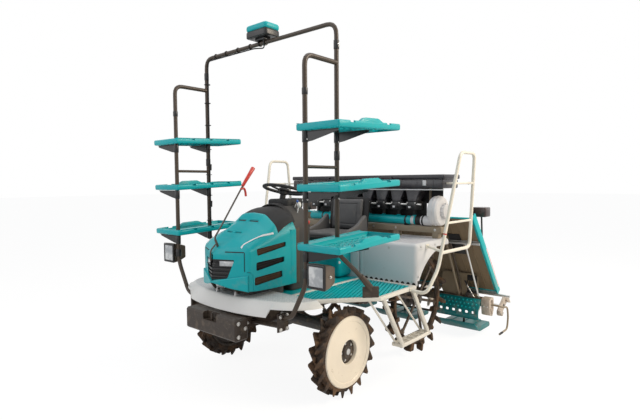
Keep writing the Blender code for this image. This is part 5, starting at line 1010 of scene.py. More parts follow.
def on_bonnet(x, y, out=0.0):
    """The place on the bonnet's top over a plan point."""
    half, low, shoulder, top = bonnet_at(x)
    rise = top - shoulder
    steps = ((0.0, top - rise * 0.07), (half * 0.45, shoulder + rise * 0.88),
             (half * 0.86, shoulder + rise * 0.45), (half, shoulder))
    for (y0, z0), (y1, z1) in zip(steps, steps[1:]):
        if y <= y1:
            return Vector((x, y, z0 + (z1 - z0) * (y - y0) / (y1 - y0) + out))
    return Vector((x, half, shoulder + out))


# A black sheet under each slot in the top is painted shade, the dark seen through the slot.
slot_shade_sheets = [coated(p, MAT_BLACK) for x in (1.489, 1.625)
             for p in both_sides(formed("slot_bed",
                 [[on_bonnet(x + along, y, -0.0095) for along in (-0.026, 0.0, 0.026)]
                  for y in (0.0, 0.03, 0.06, 0.09, 0.125)], 0.0015))]
stripe = [[on_bonnet(1.724 - 0.259 * i / 18, 0.197 + 0.052 * i / 18 + across, 0.0032)
           for across in (-0.006 + 0.003 * i / 18, 0.0, 0.004)] for i in range(19)]
stripes = [coated(p, WHITE_STRIPE) for p in both_sides(formed("stripe", stripe, 0.0025))]
COVER_LIFT = ((1.2515, 0.033), (1.257, 0.036), (1.3, 0.034), (1.35, 0.026), (1.39, 0.014), (1.412, 0.006),
              (1.424, 0.0008))
cover = formed("rear_cover", [[p + Vector((0, 0, lift)) for p in bonnet_section(x)[5:28]]
                              for x, lift in COVER_LIFT], 0.004)
# A black tube in the bottom of each cheek seam's groove is painted shade in the crease.
seams = [coated(p, MAT_BLACK) for p in both_sides(pipe("seam", [(x - 0.004, y, z) for x, y, z in cheek_seam],
    0.0036, 0.01, 8))]
chin_y = [0.017 * i for i in range(-15, 16)]
chin = formed("chin", [[(cheek(y) + out, y, bonnet_at(cheek(y))[1] + low
                         if high is None else 0.858 + 0.18 * abs(y) + high) for y in chin_y]
                       for out, high, low in ((-0.001, 0.0, 0), (0.008, -0.001, 0), (0.01, -0.005, 0),
                                              (0.01, None, 0.004), (0.006, None, -0.001),
                                              (-0.001, None, -0.001))], 0.003)
bonnet = joined("bonnet_dressed",
                [hood, *band, louvres, *stripes, *seams, *slot_shade_sheets, coated(chin, TEAL),
                 coated(cover, SOFT_BLACK)])
tabs = both_sides(cut_sheet("tab", [(1.692, 0.762), (1.708, 0.762), (1.762, 0.832), (1.73, 0.842)], "y",
                            0.122, 0.136, 0.001))
pins = both_sides(bar("pin", (1.7, 0.097, 0.766), (1.7, 0.14, 0.766), 0.006, 16))
bonnet = joined("bonnet_dressed", [bonnet, coated(joined("hinges", tabs + pins), BROWN)])
fitted(bonnet, "hood", "teal_plastic", "bonnet", crease=28)

# Grille. A black V-shaped moulding behind the prow's opening, with three bars across it and a
# slanted lamp under clear glass at each side.
SATIN_BLACK = enamel("satin_black", (0.014, 0.014, 0.015), 0.35, dusty=0.15, coat=0.3)
LENS, place, into, bump = material("lamp_glass", (0.8, 0.84, 0.86), 0.08, 0.0, 1.0, 0.05)
flutes = place.node("TexWave", {"wave_type": "BANDS", "bands_direction": "Y"},
                    {"Vector": place, "Scale": 40.0})
# The glass is opaque: its patches of dark and pale are painted reflections, striped by the flutes.
reflection_patch = place.noise(15.0, 2.0).ease(0.36, 0.64)
into("Base Color", reflection_patch.blend(flutes.blend((0.28, 0.3, 0.32), (0.5, 0.52, 0.54)),
                               flutes.blend((0.62, 0.64, 0.64), (0.9, 0.9, 0.88))))
bump(flutes, 0.4, 0.0008)


def prow_bar(name, reach, low, high, back=0.016, front=0.003, edge=0.0015):
    """A bar that follows both cheeks, from one side's reach to the other's."""
    run = [(cheek(reach) - front, reach), (cheek(0) - front, 0), (cheek(reach) - front, -reach)]
    return cut_sheet(name, run + [(x - back, y) for x, y in reversed(run)], "z", low, high, edge)


def v_reach(z):
    """Half width of the V-shaped opening at a height."""
    return 0.109 + (z - 0.88) * (0.16 - 0.109) / (1.013 - 0.88)


grille_parts = [prow_bar("back", 0.2, 0.85, 1.026, 0.012, 0.022, 0.0)]
grille_parts += [prow_bar("bar", v_reach(z + 0.006) - 0.003, z, z + 0.0122, 0.018)
                 for z in (0.885, 0.912, 0.939)]
grille_parts += [prow_bar("brow", v_reach(1.007) - 0.003, 1.0055, 1.013, 0.018),
                 prow_bar("lip", 0.108, 0.8725, 0.8775, 0.018)]
lamp_bed = [(cheek(0.05) - 0.006, 0.05), (cheek(0.154) - 0.006, 0.154), (cheek(0.154) - 0.02, 0.154),
            (cheek(0.05) - 0.02, 0.05)]
lamp_glass = [(cheek(0.055) - 0.002, 0.055), (cheek(0.149) - 0.002, 0.149), (cheek(0.149) - 0.008, 0.149),
              (cheek(0.055) - 0.008, 0.055)]
grille_parts += both_sides(cut_sheet("lamp_bed", lamp_bed, "z", 0.9615, 1.0055, 0.001))
lamps = both_sides(cut_sheet("lamp_glass", lamp_glass, "z", 0.9665, 1.001, 0.002))
star = both_sides(bar("star", (cheek(0) - 0.001, 0.012, 0.985), (cheek(0) - 0.003, 0.048, 0.985), 0.004, 8))
grille = joined("grille_dressed",
                [coated(joined("grille_body", grille_parts + star), SATIN_BLACK),
                 *(coated(p, LENS) for p in lamps)])
fitted(grille, "hood", "black_plastic", "grille")

# Centre pole. A slim dark rod that leans back from the prow to the driver's eye line, with a soft red
# grip and a hooked trigger.
POLE_STEM = moulding("pole_stem", (0.1, 0.085, 0.072), metallic=0.5, coat=0.0, grain=400.0, depth=0.04)
stem = [pipe("stem", [(1.79, 0, 1.13), (1.8, 0, 1.165), (1.745, 0, 1.235), (1.535, 0, 1.53)], 0.0062, 0.05),
        bar("socket", (1.772, 0, 1.092), (1.795, 0, 1.15), 0.0095, 20, 0.008, 0.002),
        pipe("prow_end", [(1.786, 0, 1.12), (1.836, 0, 1.078), (1.8405, 0, 1.035), (1.837, 0, 1.0)], 0.0055,
             0.02, 12)]
grip = bar("grip", (1.54, 0, 1.524), (1.43, 0, 1.664), 0.0115, 20, 0.016, 0.004)
hook = pipe("hook", [(1.556, 0, 1.503), (1.524, 0, 1.512), (1.512, 0, 1.484), (1.508, 0, 1.449)], 0.0085,
            0.02)
stem = coated(joined("stem", stem), POLE_STEM)
fitted(joined("centre_pole_dressed", [stem, coated(grip, RED_KNOB), coated(hook, RED_KNOB)]), "hood",
       "pale_grey_plastic", "centre_pole")

# Seedling racks. Brown tube posts on both sides of the bonnet, each pair carrying three teal moulded
# trays with holes in their floors, black gussets under them and a brown cross tie.
POST_Y, POST_R, RACK_FRONT, RACK_REAR, TRAY_Z = 0.726, 0.0163, 1.632, 1.316, (1.115, 1.492, 1.874)
TRAY_X, TRAY_Y, TRAY_TILT = (0.982, 1.662), (0.672, 1.024), math.radians(2.5)
TUBE_BROWN = enamel("tube_brown", (0.058, 0.04, 0.027), 0.4, dusty=0.12, coat=0.2, chips=0.3)


def round_box(u0, v0, u1, v1, corner):
    """The outline of a rectangle with round corners."""
    return flat_round([(u0, v0), (u1, v0), (u1, v1), (u0, v1)], corner)


def seed_tray(z):
    """One tray, level, then tilted about its front edge so that the rear stands higher."""
    (x0, x1), (y0, y1) = TRAY_X, TRAY_Y
    body = stock("tray", (x0, y0, z), (x1, y1, z + 0.045), 0.012, 3)
    body = carved(body, [stock("pan", (x0 + 0.02, y0 + 0.09, z + 0.018), (x1 - 0.02, y1 - 0.014, z + 0.08),
                               0.008)])
    body = carved(body, [stock("under", (x0 + 0.012, y0 + 0.012, z - 0.02),
                               (x1 - 0.012, y1 - 0.01, z + 0.012))])
    holes = [stock("h", (x0 + 0.05 + 0.06 * i, y0 + 0.106 + 0.034 * j, z - 0.1),
                   (x0 + 0.094 + 0.06 * i, y0 + 0.124 + 0.034 * j, z + 0.1)) for i in range(10)
             for j in range(6)]
    body = carved(body, holes)
    notches = [stock("n", (x, y0 - 0.01, z + 0.03), (x + 0.035, y0 + 0.02, z + 0.08))
               for x in (x0 + 0.14, x0 + 0.32, x0 + 0.5)]
    notches += [stock("n", (x, y1 - 0.03, z + 0.032), (x + 0.045, y1 + 0.01, z + 0.08))
                for x in (x0 + 0.12, x0 + 0.52)]
    body = carved(body, notches)
    rise = [(x0 + 0.19, z + 0.03), (x0 + 0.47, z + 0.03), (x0 + 0.455, z + 0.045), (x0 + 0.415, z + 0.067),
            (x0 + 0.265, z + 0.067), (x0 + 0.215, z + 0.045)]
    bump_up = cut_sheet("rise", flat_round(rise, 0.012), "y", y1 - 0.029, y1 - 0.003, 0.004)
    ribs = [stock("r", (x0 + 0.016, y0 + 0.016, z + 0.001), (x1 - 0.016, y0 + 0.024, z + 0.02)),
            stock("r", (x0 + 0.016, y0 + 0.17, z - 0.001), (x1 - 0.016, y0 + 0.176, z + 0.014))]
    lip = stock("lip", (x0 + 0.004, y0 + 0.004, z + 0.045), (x1 - 0.004, y0 + 0.012, z + 0.048), 0.001)
    tray = coated(joined("tray", [body, bump_up, lip, *ribs]), TEAL)
    tray.data.transform(Matrix.Translation((x1, 0, z)) @ Matrix.Rotation(TRAY_TILT, 4, "Y")
                        @ Matrix.Translation((-x1, 0, -z)))
    return tray


def gusset(x, z):
    """Black triangular arm that carries a tray's outer edge from a post."""
    lift = math.tan(TRAY_TILT) * (TRAY_X[1] - x)
    low, high, out = z - 0.072 + lift, z - 0.004 + lift, 0.99
    outline = [(POST_Y + 0.01, low), (POST_Y + 0.01, high), (out, high), (out, high - 0.014),
               (POST_Y + 0.06, low + 0.006)]
    arm = cut_sheet("arm", outline, "x", x - 0.003, x + 0.003)
    flange = stock("flange", (x - 0.013, POST_Y + 0.012, high - 0.0035), (x + 0.013, out, high), 0.0008)
    clamp = bar("clamp", (x, POST_Y, low), (x, POST_Y, high), POST_R + 0.0035, 20, edge=0.001)
    return coated(joined("arm", [arm, flange, clamp]), SATIN_BLACK)


front_post = pipe("front_post",
                  [(1.625, 0.508, 0.636), (RACK_FRONT, 0.595, 0.662), (RACK_FRONT, POST_Y, 0.9),
                   (RACK_FRONT, POST_Y, 2.351), (1.314, POST_Y, 2.351)], POST_R, 0.07, 16)
deck_corner, post_bend = Vector(SIDE_PLAN[3]), Vector((1.13, 0.772, 0.895))
along = (Vector(SIDE_PLAN[4]) - deck_corner).normalized()
spot = deck_corner + along * 0.085 + Vector((-along.y, along.x)) * 0.013
sleeve_foot = Vector((spot.x, spot.y, 0.79))
rear_post = pipe("rear_post", [(spot.x, spot.y, 0.765), post_bend, (RACK_REAR, POST_Y, 1.065),
                               (RACK_REAR, POST_Y, 2.44)], POST_R, 0.06, 16)
tie = pipe("tie", [(RACK_FRONT, POST_Y, 1.65), (RACK_REAR, POST_Y, 1.65)], 0.0108)
rack_tubes = coated(joined("tubes", [front_post, rear_post, tie]), TUBE_BROWN)
COLLARS = ((RACK_FRONT, 2.1, 2.14, 0.003), (RACK_REAR, 1.7, 1.76, 0.0035), (RACK_REAR, 1.1, 1.16, 0.0035))
collars = [bar("collar", (x, POST_Y, low), (x, POST_Y, high), POST_R + wall, 24, edge=0.001)
           for x, low, high, wall in COLLARS]
foot = cut_sheet("foot", round_box(1.581, 0.55, 1.669, 0.664, 0.014), "y", 0.5003, 0.5103, 0.001)
shoe = stock("shoe", (-0.06, -0.0125, 0), (0.06, 0.0125, 0.078), 0.004)
shoe.data.transform(Matrix.Translation((spot.x, spot.y, 0.7157))
                    @ Matrix.Rotation(math.atan2(along.y, along.x), 4, "Z"))
sleeve = bar("sleeve", sleeve_foot, sleeve_foot.lerp(post_bend, 0.85), POST_R + 0.005, 20, edge=0.002)
rack_bolts = [bolt("b", (x, POST_Y + POST_R + 0.002, z + 0.04), (0, 1, 0), 0.006, 0.005)
              for x in (RACK_FRONT, RACK_REAR) for z in (0.96, 1.4, 1.78)]
rack = joined("rack_left_dressed",
              [rack_tubes, *(coated(c, SATIN_BLACK) for c in collars), coated(foot, BROWN),
               coated(shoe, BROWN), coated(sleeve, TUBE_BROWN), *(seed_tray(z) for z in TRAY_Z),
               *(gusset(x, z) for x in (RACK_FRONT, RACK_REAR) for z in TRAY_Z), *rack_bolts])
fitted_pair(rack, "machine", "brown_tube", "rack_left", crease=30)

# Work lamps. Square fluted lenses in tapered brown sheet housings with a black bezel, hung from the
# front posts on short brackets.
LAMP_BROWN = enamel("lamp_brown", (0.11, 0.08, 0.055), 0.42, dusty=0.25, coat=0.2)
REFLECTOR, place, into, bump = material("reflector", (0.72, 0.74, 0.76), 0.12, 0.9)
cells = place.node("TexVoronoi", {"feature": "F1"}, {"Vector": place, "Scale": 130.0})
into("Base Color", cells.ease(0.1, 0.6).blend((0.42, 0.45, 0.48), (0.9, 0.92, 0.93)))
bump(cells, 0.8, 0.0012)
rings = [[(x, 0.8315 + hy * u, 0.9625 + hz * v) for u, v in round_box(-1, -1, 1, 1, 0.16)]
         for x, hy, hz in ((1.524, 0.04, 0.046), (1.53, 0.046, 0.052), (1.6, 0.066, 0.074),
                           (1.65, 0.074, 0.08))]
shell = coated(skinned("lamp_shell", rings), LAMP_BROWN)
fins = coated(joined("fins", [stock("fin", (1.5205, 0.797 + 0.014 * i, 0.925),
    (1.545, 0.8005 + 0.014 * i, 1.0), 0.001) for i in range(6)]), LAMP_BROWN)
bezel = stock("bezel", (1.648, 0.757, 0.882), (1.6645, 0.906, 1.043), 0.008, 3)
bezel = coated(carved(bezel, [stock("mouth", (1.64, 0.77, 0.898), (1.67, 0.893, 1.027), 0.008, 3)]),
               SATIN_BLACK)
bowl = coated(stock("bowl", (1.6492, 0.769, 0.897), (1.653, 0.894, 1.028), 0.001), REFLECTOR)
lens = coated(stock("lens", (1.654, 0.7705, 0.8985), (1.661, 0.8925, 1.0265), 0.003, 3), LENS)
lamp_clamp = [bar("clamp", (RACK_FRONT, POST_Y, 0.9405), (RACK_FRONT, POST_Y, 0.9995), POST_R + 0.006, 24,
                  edge=0.001), stock("ear", (1.612, 0.735, 0.945), (1.646, 0.764, 0.995), 0.002),
              stock("yoke", (1.56, 0.8, 0.8815), (1.64, 0.862, 0.889), 0.002)]
lamp = joined("work_lamp_left_dressed",
              [shell, fins, bezel, bowl, lens, coated(joined("clamp", lamp_clamp), SATIN_BLACK),
               bolt("b", (1.6, 0.9, 0.962), (0, 1, 0), 0.007)])
fitted_pair(lamp, "machine", "brown_tube", "work_lamp_left")

# Arch and satellite receiver. A brown tube arch between the rear posts; on it a flat receiver box,
# dark below and teal above, with its cable tied along the tube and down the right post.
ARCH_TOP, ARCH_FOOT = 2.62, 2.4405
arch_tube = pipe("arch", [(RACK_REAR, -POST_Y, ARCH_FOOT), (RACK_REAR, -POST_Y, ARCH_TOP),
                          (RACK_REAR, POST_Y, ARCH_TOP), (RACK_REAR, POST_Y, ARCH_FOOT)], 0.0153, 0.1, 16)
arch_collars = both_sides(bar("collar", (RACK_REAR, POST_Y, ARCH_FOOT), (RACK_REAR, POST_Y, 2.5), 0.0192, 24,
                              edge=0.002))
arch_bolts = both_sides(bolt("b", (RACK_REAR, POST_Y + 0.019, 2.47), (0, 1, 0), 0.006, 0.006))
fitted(joined("rack_arch_dressed",
              [coated(arch_tube, TUBE_BROWN), *(coated(c, SATIN_BLACK) for c in arch_collars), *arch_bolts]),
       "machine", "brown_tube", "rack_arch")


def slab(name, half_x, half_y, low, high, corner, edge, rounds=3):
    """A flat box with round corners about the arch's line."""
    piece = cut_sheet(name, round_box(RACK_REAR - half_x, -half_y, RACK_REAR + half_x, half_y, corner), "z",
                      low, high)
    return eased(piece, edge, rounds, 40)


saddle = coated(joined("saddle",
                       [stock("saddle", (1.281, -0.05, 2.637), (1.351, 0.05, 2.6555), 0.003),
                        bar("u", (RACK_REAR, -0.034, 2.621), (RACK_REAR, -0.026, 2.621), 0.0235, 24),
                        bar("u", (RACK_REAR, 0.026, 2.621), (RACK_REAR, 0.034, 2.621), 0.0235, 24)]),
                SATIN_BLACK)
base = coated(slab("base", 0.078, 0.115, 2.6553, 2.7, 0.03, 0.006), SATIN_BLACK)
seam = coated(slab("seam", 0.0745, 0.1115, 2.699, 2.703, 0.028, 0.0005), MAT_BLACK)
dome = coated(slab("dome", 0.0775, 0.1145, 2.7025, 2.7525, 0.03, 0.02, 5), TEAL)
plug = coated(bar("plug", (1.266, -0.04, 2.6535), (1.266, -0.04, 2.62), 0.01, 20, edge=0.002), SATIN_BLACK)
fitted(joined("antenna_dressed", [saddle, base, seam, dome, plug]), "machine", "teal_plastic", "antenna")
cable = pipe("cable", [(1.266, -0.04, 2.64), (1.266, -0.04, 2.599), (1.312, -0.1, 2.599),
                       (RACK_REAR, -0.69, 2.5985), (RACK_REAR, -0.7035, 2.55), (RACK_REAR, -0.7035, 1.13)],
             0.0048, 0.05)
cable_ties = [bar("tie", (RACK_REAR, -y, ARCH_TOP), (RACK_REAR, -y - 0.005, ARCH_TOP), 0.0212, 20)
              for y in (0.14, 0.29, 0.44, 0.58)]
cable_ties += [bar("tie", (RACK_REAR, -0.7195, z), (RACK_REAR, -0.7195, z + 0.005), 0.0262, 20)
               for z in (2.4, 2.24, 2.05, 1.84, 1.62, 1.44, 1.22)]
cable_lumps = [bar("lump", (1.313, -0.7, z), (1.313, -0.697, z + 0.055), 0.01, 16, edge=0.004)
               for z in (1.66, 1.34)]
fitted(coated(joined("antenna_cable_dressed", [cable, *cable_ties, *cable_lumps]), SOFT_BLACK), "machine",
       "black_plastic", "antenna_cable")

# Fertiliser unit. A long smoky plastic hopper over the fenders with one funnel and feed box for each
# row, a teal air duct under them on a folded beam, and a pale moulded blower at the left end.
HOPPER_SMOKE = enamel("hopper_smoke", (0.03, 0.028, 0.034), 0.28, dusty=0.25, coat=0.5)
LID_BLACK = enamel("lid_black", (0.022, 0.02, 0.026), 0.36, dusty=0.2, coat=0.35)
BEAM_BEIGE = enamel("beam_beige", (0.3, 0.245, 0.175), 0.45, dusty=0.5, chips=0.35)
BLOWER_WHITE = enamel("blower_white", (0.66, 0.66, 0.67), 0.42, dusty=0.25, coat=0.15)
HOPPER_HALF, HOPPER_X, HOPPER_Z = 0.89, (-0.22, 0.08), (1.49, 1.57)
METER_Y = [0.165 * (i - 3.5) for i in range(8)]
DUCT_X, DUCT_Z, VOLUTE_Y, BLOWER_Z = 0.01, 1.2, 0.8075, 1.29

trough = stock("trough", (HOPPER_X[0], -HOPPER_HALF, HOPPER_Z[0]), (HOPPER_X[1], HOPPER_HALF, HOPPER_Z[1]),
               0.012, 3)
trough = carved(trough, [stock("inside", (HOPPER_X[0] + 0.008, -HOPPER_HALF + 0.008, HOPPER_Z[0] + 0.01),
                               (HOPPER_X[1] - 0.008, HOPPER_HALF - 0.008, 1.62), 0.006)])
funnel_rings = []
for z, x, hx, hy, corner in ((1.496, -0.07, 0.119, 0.0775, 0.012), (1.474, -0.062, 0.11, 0.075, 0.014),
                             (1.4, 0.0, 0.058, 0.05, 0.01), (1.376, 0.01, 0.0495, 0.0445, 0.008)):
    funnel_rings.append([(p[0], p[1], z) for p in round_box(x - hx, -hy, x + hx, hy, corner)])
funnel = joined("funnel", [skinned("funnel", funnel_rings),
                           *[stock("web", (-0.14 + 0.03 * i, -0.08, 1.465), (-0.136 + 0.03 * i, 0.08, 1.4899))
                             for i in range(6)]])
funnels = [copy_at(funnel, Matrix.Translation((0, y, 0))) for y in METER_Y]
bpy.data.objects.remove(funnel, do_unlink=True)
walls = [stock("wall_rib", (HOPPER_X[1] - 0.001, y - 0.003, 1.497), (HOPPER_X[1] + 0.0035, y + 0.003, 1.56),
               0.001) for y in (-0.8 + 0.16 * i for i in range(11))]
hopper_hinge = both_sides(bar("hinge", (0.09, 0.301, 1.57), (0.09, 0.359, 1.57), 0.0078, 16))
hopper_hinge += both_sides(stock("lug", (0.075, 0.311, 1.541), (0.091, 0.349, 1.57), 0.002))
hopper = coated(joined("fertiliser_hopper_dressed", [trough, *funnels, *walls, *hopper_hinge]), HOPPER_SMOKE)
front_rod = coated(bar("front_rod", (0.0925, -0.905, 1.479), (0.0925, 0.905, 1.479), 0.0048, 12),
                   BLOWER_WHITE)
hopper_latches = both_sides(coated(stock("latch", (HOPPER_X[1] + 0.0005, 0.7, 1.515),
    (HOPPER_X[1] + 0.01, 0.735, 1.562), 0.003), BLOWER_WHITE))
fitted(joined("fertiliser_hopper_dressed", [hopper, front_rod, *hopper_latches]), "machine", "dark_grey",
       "fertiliser_hopper", crease=30)

lid = stock("lid", (-0.2318, -0.9018, 1.5705), (0.0838, 0.9018, 1.612), 0.012, 4)
lid = carved(lid, [stock("under", (HOPPER_X[0] + 0.012, -HOPPER_HALF + 0.012, 1.54),
                         (HOPPER_X[1] - 0.012, HOPPER_HALF - 0.012, 1.6))])
lid = carved(lid, [stock("line", (0.0815, -0.95, 1.588), (0.09, 0.95, 1.59)),
                   *[stock("line", (x - 0.0015, -0.86, 1.6105), (x + 0.0015, 0.86, 1.62))
                     for x in (-0.18, 0.03)]])
lid_arms = both_sides(stock("arm", (0.078, 0.365, 1.561), (0.096, 0.385, 1.598), 0.002))
lid_ribs = [stock("rib", (-0.165, y - 0.003, 1.6095), (0.015, y + 0.003, 1.6118), 0.0008)
            for y in (-0.75 + 0.25 * i for i in range(7))]
fitted(coated(joined("hopper_lid_dressed", [lid, *lid_arms, *lid_ribs]), LID_BLACK), "lid", "dark_grey",
       "hopper_lid")

unit_pieces = []
for y in METER_Y:
    unit_pieces += [coated(stock("box", (-0.0515, y - 0.0595, 1.296), (0.064, y + 0.0595, 1.3755), 0.008, 3),
                           SOFT_BLACK),
                    coated(stock("front", (0.0635, y - 0.048, 1.304), (0.071, y + 0.048, 1.366), 0.003),
                           SATIN_BLACK),
                    coated(bar("spout", (0.01, y, 1.305), (0.01, y, 1.2415), 0.021, 20, 0.013, 0.002),
                           SOFT_BLACK),
                    coated(bar("elbow", (0.01, y, 1.248), (0.01, y, 1.2405), 0.0185, 20, edge=0.001), TEAL),
                    coated(stock("dial", (0.07, y - 0.03, 1.312), (0.0755, y - 0.006, 1.33), 0.002),
                           BLOWER_WHITE)]
    unit_pieces += [bolt("b", (0.071, y + dy, 1.358), (1, 0, 0), 0.0045, 0.003) for dy in (-0.04, 0.04)]
# Two black plates behind the feed boxes and funnels are painted shade, the dark seen between them.
unit_pieces.append(coated(stock("splash_plate", (-0.06, -0.666, 1.206), (-0.056, 0.666, 1.372), 0.001),
                          SOFT_BLACK))
unit_pieces.append(coated(stock("dust_plate", (-0.112, -0.8, 1.35), (-0.108, 0.8, 1.4895), 0.001),
                          SOFT_BLACK))
shaft = coated(bar("shaft", (0.055, -0.6675, 1.346), (0.055, 0.6675, 1.346), 0.0098, 16), STEEL)
fitted(joined("metering_units_dressed", [*unit_pieces, shaft]), "machine", "black_plastic", "metering_units")

def on_duct(name, start, end, radius, sides, edge=0.0):
    """A round piece along the duct's line."""
    return bar(name, (DUCT_X, start, DUCT_Z), (DUCT_X, end, DUCT_Z), radius, sides, edge=edge)


duct = coated(on_duct("duct", -0.6675, 0.645, 0.0398, 40, edge=0.002), TEAL)
duct_end = coated(on_duct("end", 0.6, 0.6548, 0.0405, 40, edge=0.001), SOFT_BLACK)
duct_band = coated(on_duct("band", 0.555, 0.585, 0.0401, 40), BLOWER_WHITE)
duct_parts = [duct, duct_end, duct_band]
for y in (-0.5, 0.0, 0.5):
    duct_parts.append(coated(stock("cradle", (-0.015, y - 0.02, 1.1525), (0.035, y + 0.02, 1.19), 0.003),
                             SATIN_BLACK))
    duct_parts.append(coated(on_duct("strap", y - 0.009, y + 0.009, 0.0416, 36, edge=0.001), SATIN_BLACK))
fitted(joined("air_duct_dressed", duct_parts), "machine", "teal_plastic", "air_duct")

neck = on_duct("neck", 0.6553, 0.78, 0.0445, 32, edge=0.003)
clip = coated(on_duct("clip", 0.668, 0.684, 0.0462, 32, edge=0.001), SATIN_BLACK)
volute = spun("volute", [(0.0, -0.05), (0.095, -0.05), (0.12, -0.044), (0.1315, -0.03), (0.1315, 0.03),
                         (0.12, 0.044), (0.095, 0.05), (0.08, 0.0525), (0.06, 0.05), (0.0, 0.05)],
              (0, VOLUTE_Y, BLOWER_Z), 56)
volute_rim = spun("rim", [(0.12, -0.004), (0.1355, -0.004), (0.1355, 0.004), (0.12, 0.004)],
                  (0, VOLUTE_Y, BLOWER_Z), 56)
motor = bar("motor", (0, 0.85, BLOWER_Z), (0, 0.8895, BLOWER_Z), 0.068, 40, 0.06, 0.006)
motor_ribs = [stock("fin", (-0.0025, 0.855, 0), (0.0025, 0.882, 0.069), 0.0008) for i in range(12)]
for i, fin in enumerate(motor_ribs):
    fin.data.transform(Matrix.Translation((0, 0, BLOWER_Z)) @ Matrix.Rotation(2 * math.pi * i / 12, 4, "Y"))
blower_foot = coated(stock("foot", (-0.02, 0.766, 1.1525), (0.04, 0.826, 1.2), 0.004), BEAM_BEIGE)
blower_bolts = [bolt("b", (0.125 * math.cos(a), 0.8125, BLOWER_Z + 0.125 * math.sin(a)), (0, 1, 0), 0.005,
                     0.003) for a in (2 * math.pi * i / 6 + 0.3 for i in range(6))]
blower = coated(joined("blower_body", [neck, volute, volute_rim, motor, *motor_ribs]), BLOWER_WHITE)
fitted(joined("blower_dressed", [blower, clip, blower_foot, *blower_bolts]), "machine", "pale_grey_plastic",
       "blower")

beam = stock("beam", (-0.025, -0.86, 1.0975), (0.045, 0.86, 1.152), 0.004, 3)
beam = carved(beam, [stock("open", (-0.03, -0.856, 1.1015), (0.04, 0.856, 1.1465))])
feet = [p for y in (0.4, 0.8) for p in both_sides(stock("foot", (-0.02, y - 0.03, 1.0507),
    (0.04, y + 0.03, 1.102), 0.003))]
fert_arms = both_sides(stock("arm", (-0.12, 0.67, 1.107), (-0.01, 0.69, 1.146), 0.003))
fert_arms += both_sides(stock("post", (-0.12, 0.672, 1.122), (-0.085, 0.688, 1.4895), 0.003))
beam = coated(joined("beam", [beam, *feet, *fert_arms]), BEAM_BEIGE)
beam_bolts = [bolt("b", (0.0451, y, 1.125), (1, 0, 0), 0.008, 0.005)
              for y in (-0.8, -0.4, 0.4, 0.8, -0.15, 0.15)]
fitted(joined("fertiliser_frame_dressed", [beam, *beam_bolts]), "machine", "beige_paint", "fertiliser_frame")

# Handrails. Cream painted tube hoops beside the hopper, bolted to the deck's edge and the fender,
# with a cross bar and a thin rod between their legs.
RAIL_CREAM = pressed_cream("rail_cream", (0.8, 0.76, 0.66))
LEG_FOOT, LEG_TOP = Vector((0.43, 1.03, 0.86)), Vector((0.215, 1.11, 1.785))
hoop = pipe("hoop", [(0.565, 0.8693, 0.694), (0.565, 1.0, 0.68), LEG_FOOT, LEG_TOP, (-0.055, 1.11, 1.785),
                     (-0.085, 1.06, 0.985), (0.395, 1.036, 0.985)], 0.0143, 0.06, 16)
rail_parts = [hoop, pipe("bar", [(-0.076, 1.0747, 1.22), (0.346, 1.061, 1.22)], 0.01),
              pipe("stay", [(0.3, 0.867, 1.015), (0.347, 1.038, 0.985)], 0.0118),
              pipe("reach", [(0.01, 0.8903, 1.535), (0.01, 1.108, 1.535)], 0.0078),
              pipe("cross", [(-0.0644, 1.0944, 1.535), (0.273, 1.0884, 1.535)], 0.0088),
              stock("flange", (0.54, 0.8653, 0.6873), (0.59, 0.873, 0.713), 0.002),
              stock("flange", (0.275, 0.8623, 0.997), (0.325, 0.87, 1.033), 0.002)]
rail = coated(joined("rail", rail_parts), RAIL_CREAM)
mark = LEG_FOOT.lerp(LEG_TOP, 0.29)
along_leg = (LEG_TOP - LEG_FOOT).normalized()
marks = [coated(bar("mark", mark, mark + along_leg * 0.01, 0.015, 20), RED_KNOB),
         coated(bar("nut", (0.01, 1.085, 1.535), (0.01, 1.094, 1.535), 0.0125, 6), STEEL)]
rail = joined("handrail_left_dressed",
              [rail, *marks, bolt("b", (0.552, 0.8732, 0.7), (0, 1, 0), 0.006, 0.005),
               bolt("b", (0.288, 0.8702, 1.015), (0, 1, 0), 0.006, 0.005)])
fitted_pair(rail, "machine", "cream_paint", "handrail_left")

# Seat. A black moulded bucket with two foam cushions in dark grey vinyl, each with a sewn panel in
# its middle, on the teal and grey plinth.
def seat_vinyl():
    made, place, into, bump = material("seat_vinyl", (0.09, 0.09, 0.093), 0.5)
    grain = place.node("TexVoronoi", {"feature": "DISTANCE_TO_EDGE"},
                       {"Vector": place, "Scale": 420.0}).ease(0.0, 0.12)
    cloud = place.noise(7.0, 3.0)
    tone = cloud.blend((0.08, 0.08, 0.084), (0.125, 0.123, 0.122))
    into("Base Color", (place.noise(22.0, 5.0).ease(0.58, 0.72) * 0.4).blend(tone, (0.16, 0.14, 0.12)))
    into("Roughness", cloud * 0.15 + 0.4)
    bump(grain + cloud * 0.3, 0.2, 0.0006)
    return made


VINYL = seat_vinyl()


VOXEL, FILL_FRAMES, FILL_PRESSURE, SEAM_DEPTH, SEAM_WIDTH = 0.006, 20, 4.0, 0.0055, 0.0045


